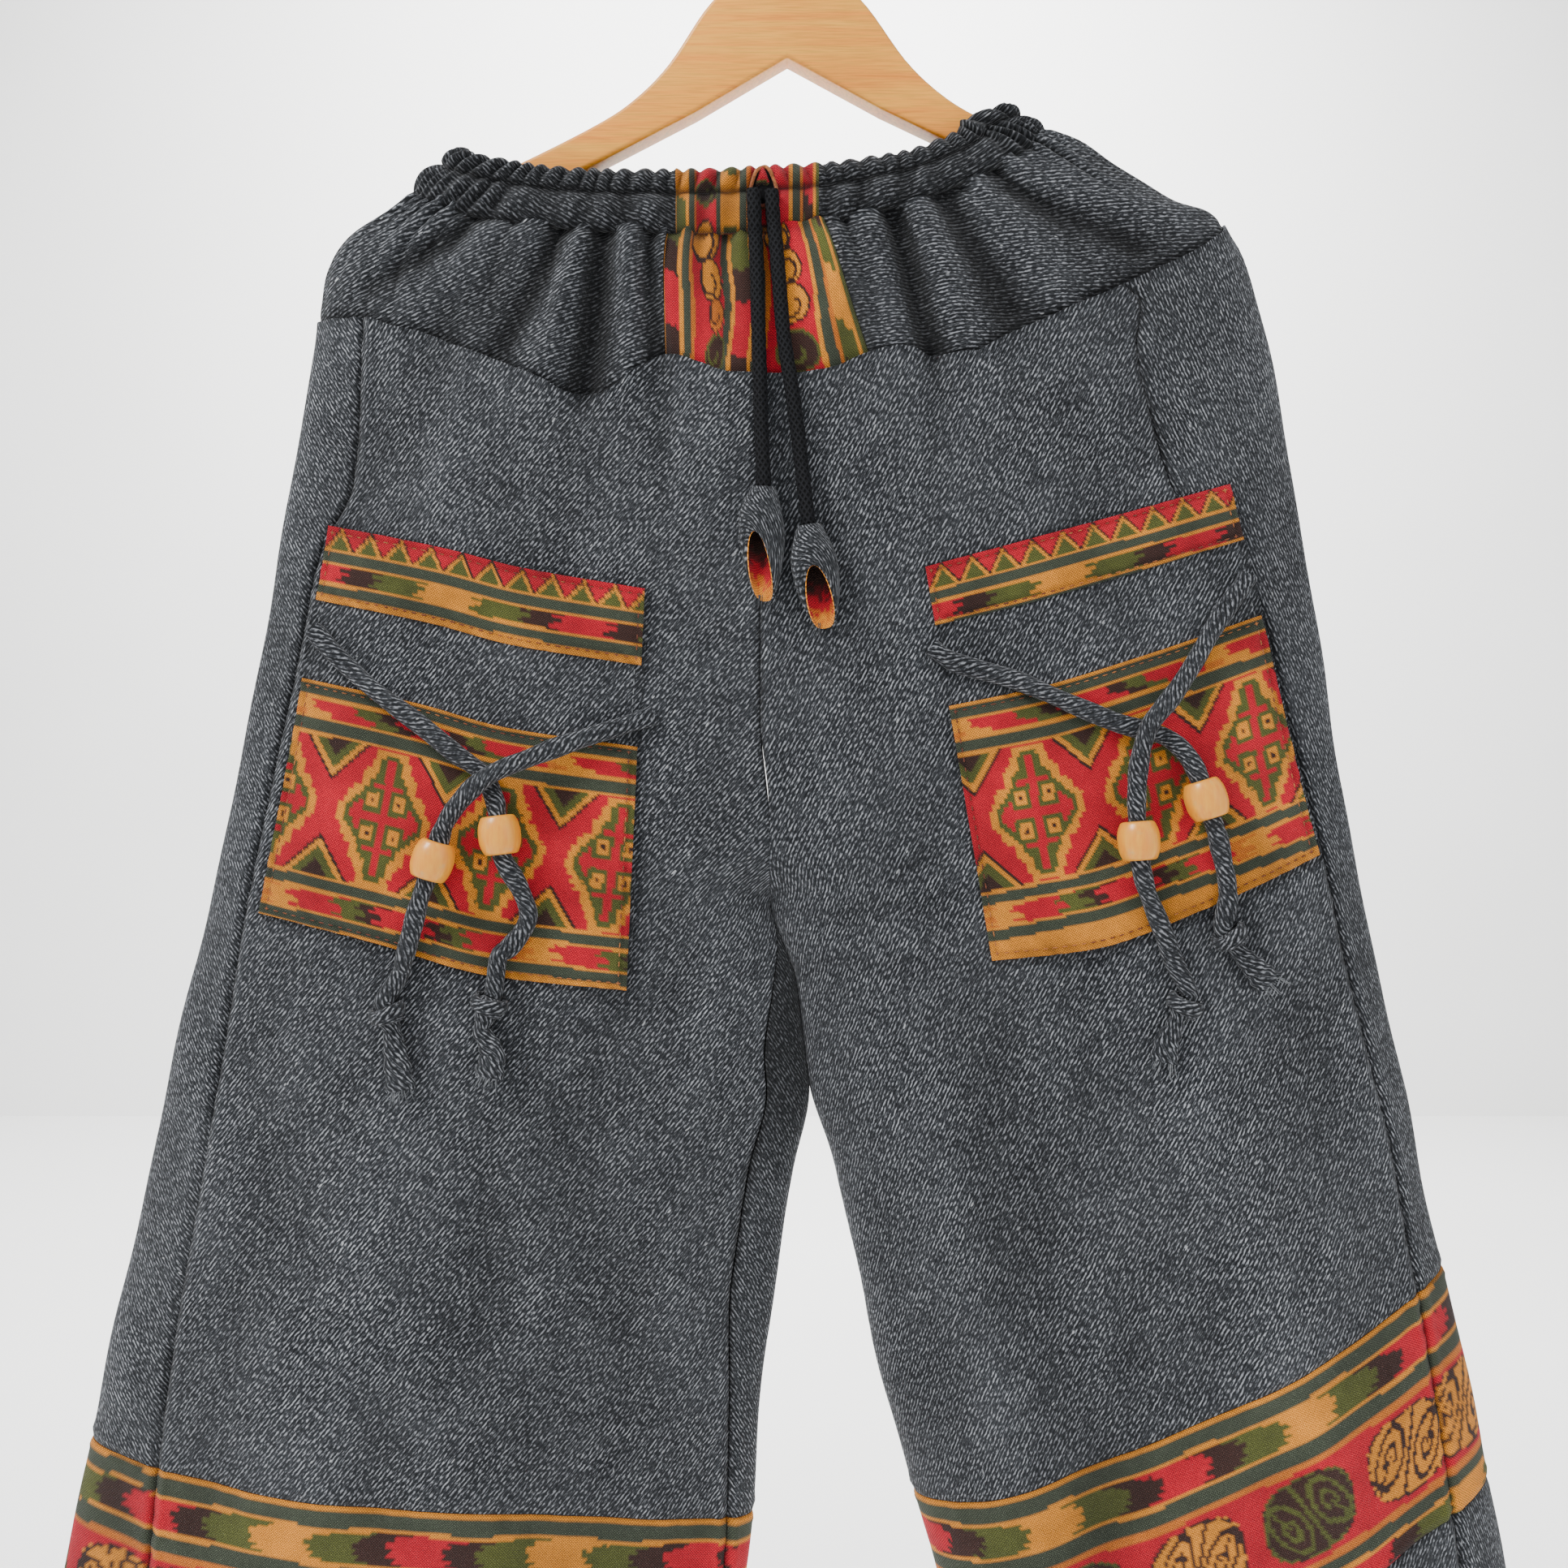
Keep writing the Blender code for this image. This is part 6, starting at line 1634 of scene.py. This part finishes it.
def fineCasingRings(side, places, gaps, v):
    top, stitching = casingHeights(side, places)
    middle = (top + stitching) / 2
    lean = np.clip((uprightBeyond - np.abs(np.degrees(places) - 180)) / leanWithin, 0.0, 1.0)
    base = bodyPoint(side, places, middle, False)
    length = lengthsAlong(base)
    gathers = np.sin(pleatPhase(places)) * (0.7 + 0.3 * np.sin(places * 11))
    profile, shadeAndWear = [], []
    for share, out, ruffle, gather in casingProfile(v):
        heights = stitching + (top - stitching) * share
        shapeZ = middle + (heights - middle) * lean
        stops = gapFromCentre(side, places, shapeZ, gaps)
        normal = bodyNormal(side, stops, shapeZ, False)
        slant = (share - v["band"]) / (1 - v["band"])
        turn = 2 * math.pi * length / v["rufflePitch"] + 2.6 * slant
        puffs = np.sin(turn + 0.9 * np.sin(length * 160) + 0.5 * np.sin(length * 57))
        puffs = 1.8 * np.abs((puffs + 1) / 2) ** 0.6 - 1.0
        rise = (out + v["ruffle"] * puffs * ruffle + v["gather"] * gathers * gather) * np.ones(len(places))
        points = bodyPoint(side, stops, shapeZ, False) + normal * rise[:, None]
        points[:, 2] += heights - shapeZ + (0.0009 * puffs if ruffle > 0 and share > 0.9 else 0.0)
        profile.append(points)
        # Painted shade: the casing is darkened overall, lighter on the puffs and gathers, darkest in the furrows at the
        # stitching and at the top of the band.
        furrow = bell(share - v["band"], 0.05) + bell(share, 0.06)
        shadeAndWear.append(0.72 + 0.30 * puffs * ruffle + 0.34 * gathers * gather - 0.45 * furrow)
    return np.stack(profile, axis=1), length, np.stack(shadeAndWear, axis=1)


def casingPiece(part, rings, lengths, material, slot, shadeAndWear, colour=None):
    down = lengthsAlong(rings[len(rings) // 2])
    down = np.append(down, down[-1] + 0.003)
    turns = np.tile(lengths[:, None], (1, len(down)))
    along = np.tile(down, (len(rings), 1))
    piece = tubeMesh(f"casing_{part}_cloth", rings, material, turns, along, colour, shadeAndWear)
    finishPiece(piece, slot, f"casing_{part}")
    # The cut strip: its gathers laid flat, its face and its turning.
    declareSheet(piece, np.moveaxis(rings[:, :-len(turnedRows)], 0, 1))


def makeCasing(side, v):
    edge = math.radians(centreEdgeTop[sides.index(side)])
    frontColumns = gathers["front"] * v["frontColumns"]
    backColumns = gathers["back"] * v["backColumns"]
    front = edge + (math.pi - edge) * np.arange(frontColumns + 1) / frontColumns
    back = math.pi + math.pi / 2 * np.arange(1, backColumns + 1) / backColumns
    places = np.concatenate([front, back])
    gaps = np.zeros(len(places))
    gaps[0] = casingGap
    rings, lengths, shadeAndWear = fineCasingRings(side, places, gaps, v)
    rings[-1, :, 0] += 0.00015 if side == "right" else -0.00015
    casingPiece(side, rings, lengths, twillYoke[side], "charcoal_twill", shadeAndWear)


def makeCentreCasing(v):
    parts = []
    columns = gathers["centre"] * v["frontColumns"]
    for index, side in enumerate(sides):
        edge = math.radians(centreEdgeTop[index])
        places = middlePlace + (edge - middlePlace) * np.arange(columns + 1) / columns
        gaps = np.zeros(columns + 1)
        gaps[-1] = -casingGap
        rings, _, shadeAndWear = fineCasingRings(side, places, gaps, v)
        parts.append(np.concatenate([rings, shadeAndWear[..., None]], axis=2))
    left, right = parts
    rings = np.concatenate([left[:0:-1], (left[:1] + right[:1]) / 2, right[1:]])
    shadeAndWear, rings = rings[..., 3], rings[..., :3]
    lengths = lengthsAlong(rings[:, 6])
    height = lengthsAlong(rings[len(rings) // 2])
    share = np.tile((lengths / lengths[-1])[:, None], (1, rings.shape[1]))
    down = np.tile(patternAbovePanel - height[None], (len(rings), 1))
    colour = inkColours[centrePattern(share, down)]
    casingPiece("centre", rings, lengths, border, "border_cloth", shadeAndWear, colour)


# Pockets, with their border pieces sewn on
pocketValues = {"soften": 10, "full": 0.0004, "edgeDip": 0.0007}
pocketSurfaces = {}


def neighbours(values):
    padded = np.pad(values, 1, mode="edge")
    return padded[:-2, 1:-1], padded[2:, 1:-1], padded[1:-1, :-2], padded[1:-1, 2:]


def smoothed(values, turns):
    for _ in range(turns):
        values = (sum(neighbours(values)) + 4 * values) / 8
    return values


def pocketFlat(side, columns, rows):
    edges = pocketRows[side]
    share = np.linspace(0.0, 1.0, len(edges["top"]))
    lines = []
    for edge in ("top", "bottom"):
        points = np.array(edges[edge])
        lines.append(np.stack([smoothValue(share, points[:, k], columns) for k in (0, 1)], axis=1))
    return lines[0] + (lines[1] - lines[0]) * rows[:, None, None]


def pocketPiece(name, side, columns, rows, v, pattern=None):
    # It lies where its CAD node lies, softened, and in front of the leg's own folds.
    flat = pocketFlat(side, columns, rows)
    tree = cadTree((name,))
    front = np.array([[frontOf(tree, x, z) for x, z in line] for line in flat])
    missing = front >= farFront
    if missing.any():
        front[missing] = np.nan
        for _ in range(6):
            around = np.nanmean(np.stack(neighbours(front)), axis=0)
            front = np.where(np.isnan(front), around, front)
    front = smoothed(front, v["soften"])
    x, z = flat[..., 0], flat[..., 1]
    waves = 0.0006 * np.sin(x * 95 + z * 60) + 0.0005 * np.sin(x * 41 - z * 110 + 2)
    points = np.stack([x, front + waves * 0.5, z], axis=-1)
    across, down = gridArcs(points)
    edge = np.minimum(np.minimum(across, across[:, -1:] - across), np.minimum(down, down[-1:] - down))
    rise = v["full"] * (1 - np.exp(-edge / 0.006)) - v["edgeDip"] * bell(edge - 0.0028, 0.0012)
    rise += puckers(points[..., 2] + points[..., 0], edge, 0.0125, 0.00045, 0.005)
    rise -= v["edgeDip"] * 0.5 * bell(edge, 0.0009)
    points[..., 1] -= rise
    inner = points + np.array((0.0, pocketCloth * 0.75, 0.0))
    if pattern is None:
        material, slot, colour = twill[side], "charcoal_twill", None
        uv = np.stack([points[..., 0], points[..., 2]], axis=-1)
    else:
        material, slot = border, "border_cloth"
        uv = np.stack([across, down], axis=-1)
        colour = inkColours[pattern(across, down)]
    # Painted shade and light from the relief: darker in the dips along the edges, lighter where the cloth is full.
    shadeAndWear = 1 + (rise - v["full"]) / 0.003 + waves / 0.006
    piece = sheetMesh(f"{name}_cloth", points, inner, uv, material, colour, shadeAndWear)
    finishPiece(piece, slot, name)
    declareSheet(piece, points)
    pocketSurfaces[name] = points


def makePocket(side, v):
    parts = pocketRows[side]
    pocketPiece(f"pocket_{side}", side, np.linspace(0, 1, 82), np.linspace(0, 1, 92), v)
    columns = np.linspace(pocketInset, 1 - pocketInset, 150)
    crosses = lambda along, down: patchPattern(along, down, parts["cross"])
    for part, count, pattern in (("band", 36, bandPattern), ("patch", 116, crosses)):
        rows = np.linspace(*parts[part], count)
        pocketPiece(f"pocket_{part}_{side}", side, columns, rows, v, pattern)


for side in sides:
    makeLeg(side, legValues)
    makeYoke(side, yokeValues)
    makeCasing(side, casingValues)
    makePocket(side, pocketValues)
    print("cloth made", side)
makeCentrePanel(yokeValues)
makeCentreCasing(casingValues)


# Stitches, laid by Geometry Nodes along lines on the cloth
stitchValues = {"length": 0.0026, "pitch": 0.0046, "thickness": 0.00034, "lift": 0.00012}


def stitchTree(material):
    tree = bpy.data.node_groups.new("stitchRows", "GeometryNodeTree")
    face = tree.interface
    face.new_socket("Geometry", in_out="INPUT", socket_type="NodeSocketGeometry")
    sockets = {name: face.new_socket(name, in_out="INPUT", socket_type="NodeSocketFloat")
               for name in ("Pitch", "Length", "Thickness")}
    face.new_socket("Geometry", in_out="OUTPUT", socket_type="NodeSocketGeometry")
    made = tree.nodes.new
    link = tree.links.new
    start, end = made("NodeGroupInput"), made("NodeGroupOutput")
    curve = made("GeometryNodeMeshToCurve")
    points = made("GeometryNodeCurveToPoints")
    points.mode = "LENGTH"
    thread = made("GeometryNodeMeshUVSphere")
    thread.inputs["Segments"].default_value = 6
    thread.inputs["Rings"].default_value = 5
    thread.inputs["Radius"].default_value = 0.5
    size = made("ShaderNodeCombineXYZ")
    uneven = made("FunctionNodeRandomValue")
    uneven.inputs[2].default_value = 0.82
    uneven.inputs[3].default_value = 1.12
    uneven.inputs["Seed"].default_value = 7
    longer = made("ShaderNodeMath")
    longer.operation = "MULTIPLY"
    place = made("GeometryNodeInstanceOnPoints")
    real = made("GeometryNodeRealizeInstances")
    cover = made("GeometryNodeSetMaterial")
    cover.inputs["Material"].default_value = material
    link(start.outputs["Geometry"], curve.inputs[0])
    link(curve.outputs[0], points.inputs[0])
    link(start.outputs["Pitch"], points.inputs["Length"])
    link(points.outputs["Points"], place.inputs["Points"])
    link(points.outputs["Rotation"], place.inputs["Rotation"])
    link(thread.outputs[0], place.inputs["Instance"])
    link(start.outputs["Thickness"], size.inputs[0])
    link(start.outputs["Thickness"], size.inputs[1])
    link(start.outputs["Length"], longer.inputs[0])
    link(uneven.outputs[1], longer.inputs[1])
    link(longer.outputs[0], size.inputs[2])
    link(size.outputs[0], place.inputs["Scale"])
    link(place.outputs[0], real.inputs[0])
    link(real.outputs[0], cover.inputs[0])
    link(cover.outputs[0], end.inputs[0])
    return tree, {name: socket.identifier for name, socket in sockets.items()}


def stitchLines(name, lines, material, slot, v):
    # One piece with the stitches along several lines of points.
    tree, sockets = stitchTree(material)
    mesh = bpy.data.meshes.new(name)
    points = []
    edges = []
    for line in lines:
        first = len(points)
        points += [tuple(point) for point in line]
        edges += [(first + k, first + k + 1) for k in range(len(line) - 1)]
    mesh.from_pydata(points, edges, [])
    guide = addObject(name + "Guide", mesh)
    rows = guide.modifiers.new("stitches", "NODES")
    rows.node_group = tree
    rows[sockets["Pitch"]] = v["pitch"]
    rows[sockets["Length"]] = v["length"]
    rows[sockets["Thickness"]] = v["thickness"] * 2
    result = plainMesh(guide)
    bpy.data.objects.remove(guide)
    result.shade_smooth()
    finishPiece(addObject(name, result), slot)
    print(name, len(result.polygons))


def insetLine(points, distance, edges, lift):
    # A line round a grid of points, this far in from the named edges.
    across, down = gridArcs(points)
    columns = points.shape[1]
    i = int(np.searchsorted(down[:, columns // 2], distance))
    j = int(np.searchsorted(across[len(points) // 2], distance))
    parts = {"top": points[i, j:-j], "bottom": points[-i - 1, j:-j],
             "first": points[i:-i, j], "last": points[i:-i, -j - 1]}
    return [parts[edge] + np.array((0.0, -lift, 0.0)) for edge in edges]


def stitchPockets(v):
    for side in sides:
        patch = pocketSurfaces[f"pocket_patch_{side}"]
        band = pocketSurfaces[f"pocket_band_{side}"]
        pocket = pocketSurfaces[f"pocket_{side}"]
        red = insetLine(patch, 0.0026, ("top", "bottom", "first", "last"), v["lift"])
        red += insetLine(band, 0.0022, ("top", "bottom", "first", "last"), v["lift"])
        stitchLines(f"pocket_stitches_{side}", red, redThread, "border_cloth", v)
        grey = insetLine(pocket, 0.0024, ("bottom", "first", "last"), v["lift"])
        stitchLines(f"pocket_grey_stitches_{side}", grey, greyThread, "charcoal_twill", v)


stitchPockets(stitchValues)


# Slit that the drawstrings leave by
slitValues = {"x": -0.0098, "top": -0.1668, "bottom": -0.1862, "halfWidth": 0.0060, "lip": 0.0009}


def makeSlit(v):
    tree = cadTree(("casing_centre", "centre_panel"))
    turn = 2 * math.pi * np.arange(49) / 48
    middle = (v["top"] + v["bottom"]) / 2
    half = (v["top"] - v["bottom"]) / 2
    ring = []
    for angle in turn:
        aside = math.copysign(abs(math.cos(angle)) ** 0.9, math.cos(angle))
        x = v["x"] + v["halfWidth"] * aside * (1 - 0.35 * math.sin(angle))
        z = middle + half * math.sin(angle)
        ring.append((x, frontOf(tree, x, z) - 0.0012, z))
    lips = flatTube("slitLips", ring, v["lip"], v["lip"], redThread, around=8, squareness=2.0)
    # Painted shade: a flat black disc in the opening stands for the shadowed inside of the casing.
    inside = [tuple(point) for point in ring[:-1]]
    mesh = bpy.data.meshes.new("slitInside")
    centre = np.mean(inside, axis=0)
    points = [tuple(centre)] + inside
    faces = [(0, k + 1, (k + 1) % 48 + 1) for k in range(48)]
    mesh.from_pydata([(x, y + 0.0005, z) for x, y, z in points], [], faces)
    mesh.materials.append(black)
    mesh.uv_layers.new(name="cloth")
    finishPiece(addObject("slitInside", mesh), "black_cord")
    finishPiece(lips, "border_cloth")


makeSlit(slitValues)


# Hanger and hook
hangerValues = {"rounding": 0.0022}


def makeHangerBoard(v):
    half = list(hangerUpper) + list(hangerEnd) + list(hangerLower)
    upper = curvePoints([(x, 0.0, z) for x, z in half[:-1]], 5)
    right = [(point.x, point.z) for point in upper] + [half[-1]]
    outline = right + [(-x, z) for x, z in right[-2:0:-1]]
    data = bpy.data.curves.new("hangerOutline", "CURVE")
    data.dimensions = "2D"
    data.fill_mode = "BOTH"
    data.extrude = hangerThickness / 2 - v["rounding"]
    data.bevel_depth = v["rounding"]
    data.offset = -v["rounding"]
    data.bevel_resolution = 5
    spline = data.splines.new("POLY")
    spline.points.add(len(outline) - 1)
    for point, (x, z) in zip(spline.points, outline):
        point.co = (x, z + hookInnerRadius, 0.0, 1.0)
    spline.use_cyclic_u = True
    outlineObject = addObject("hangerOutline", data)
    mesh = plainMesh(outlineObject)
    outlineObject.location = (0.0, 0.0, -hookInnerRadius)
    outlineObject.rotation_euler = (math.radians(90), -hangerTip, 0.0)
    bpy.context.view_layer.update()
    mesh.transform(outlineObject.matrix_world)
    bpy.data.objects.remove(outlineObject)
    mesh.materials.clear()
    mesh.materials.append(wood)
    mesh.shade_smooth()
    mesh.set_sharp_from_angle(angle=math.radians(40))
    board = addObject("hanger_board", mesh)
    weld = board.modifiers.new("weld", "WELD")
    weld.merge_threshold = 0.00001
    board.data = plainMesh(board)
    board.modifiers.clear()
    turnOutwards(board)
    finishPiece(board, "hanger_wood", "hanger")


def makeHookWire():
    middle = hookInnerRadius + hookWire
    arc = [math.radians(angle) for angle in range(205, -21, -5)]
    flat = [(middle * math.cos(a), middle * math.sin(a) - hookInnerRadius) for a in arc]
    topOfWood = hangerUpper[0][1]
    flat += [(0.0140, -0.0330), (0.0070, -0.0395), (0.0020, -0.0445), (0.0, -0.0510), (0.0, topOfWood + 0.0003)]
    route = []
    for x, z in flat:
        xTipped, zTipped = tipped(x, z)
        route.append((xTipped, 0.0, zTipped))
    way = smoothWay(route, 4)
    thickness = np.full(len(way), hookWire)
    thickness[:3] *= (0.45, 0.80, 0.95)
    hook = flatTube("hanger_hook_wire", way, thickness, thickness, steel, around=20, squareness=2.0)
    finishPiece(hook, "hook_steel", "hanger_hook")


makeHangerBoard(hangerValues)
makeHookWire()
print("hanger made")


# Floor, backdrop and lights
studioValues = {"floor": -1.34, "backdrop": 3.4, "key": 46.0, "fill": 7.0, "back": 300.0, "world": 0.92}


def makeStage(v):
    pale = Nodes("palePaint")
    place = pale.place()
    cloud = pale.ramp(pale.noise(place, 1.3, 2.0), (0.3, (0.86, 0.855, 0.84)), (0.7, (0.90, 0.895, 0.885)))
    material = pale.finish(cloud, None, 0.9)
    low, back = v["floor"], v["backdrop"]
    for name, corners in (
            ("floor", [(-9, -9, low), (9, -9, low), (9, 9, low), (-9, 9, low)]),
            ("backdrop", [(-9, back, low), (9, back, low), (9, back, 5), (-9, back, 5)])):
        mesh = bpy.data.meshes.new(name)
        mesh.from_pydata(corners, [], [(0, 1, 2, 3)])
        mesh.materials.append(material)
        addObject(name, mesh)
    for name, place, aim, size, power in (
            ("key", (-1.35, -1.0, 1.25), (0.0, 0.0, -0.5), 0.7, v["key"]),
            ("fill", (1.8, -1.6, 0.0), (0.0, 0.0, -0.6), 1.6, v["fill"]),
            ("back", (0.0, 1.6, 1.6), (0.0, 3.4, -0.3), 2.2, v["back"])):
        data = bpy.data.lights.new(name, "AREA")
        data.size = size
        data.energy = power
        lamp = addObject(name, data)
        lamp.location = place
        lamp.rotation_euler = (Vector(aim) - Vector(place)).to_track_quat("-Z", "Y").to_euler()
    world = bpy.data.worlds.new("studio")
    world.use_nodes = True
    sky = world.node_tree.nodes["Background"]
    sky.inputs[0].default_value = (0.95, 0.97, 1.0, 1.0)
    sky.inputs[1].default_value = v["world"]
    scene.world = world


makeStage(studioValues)

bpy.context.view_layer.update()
for name, width, length, area in cuts:
    print("cut", name, width, length, area)
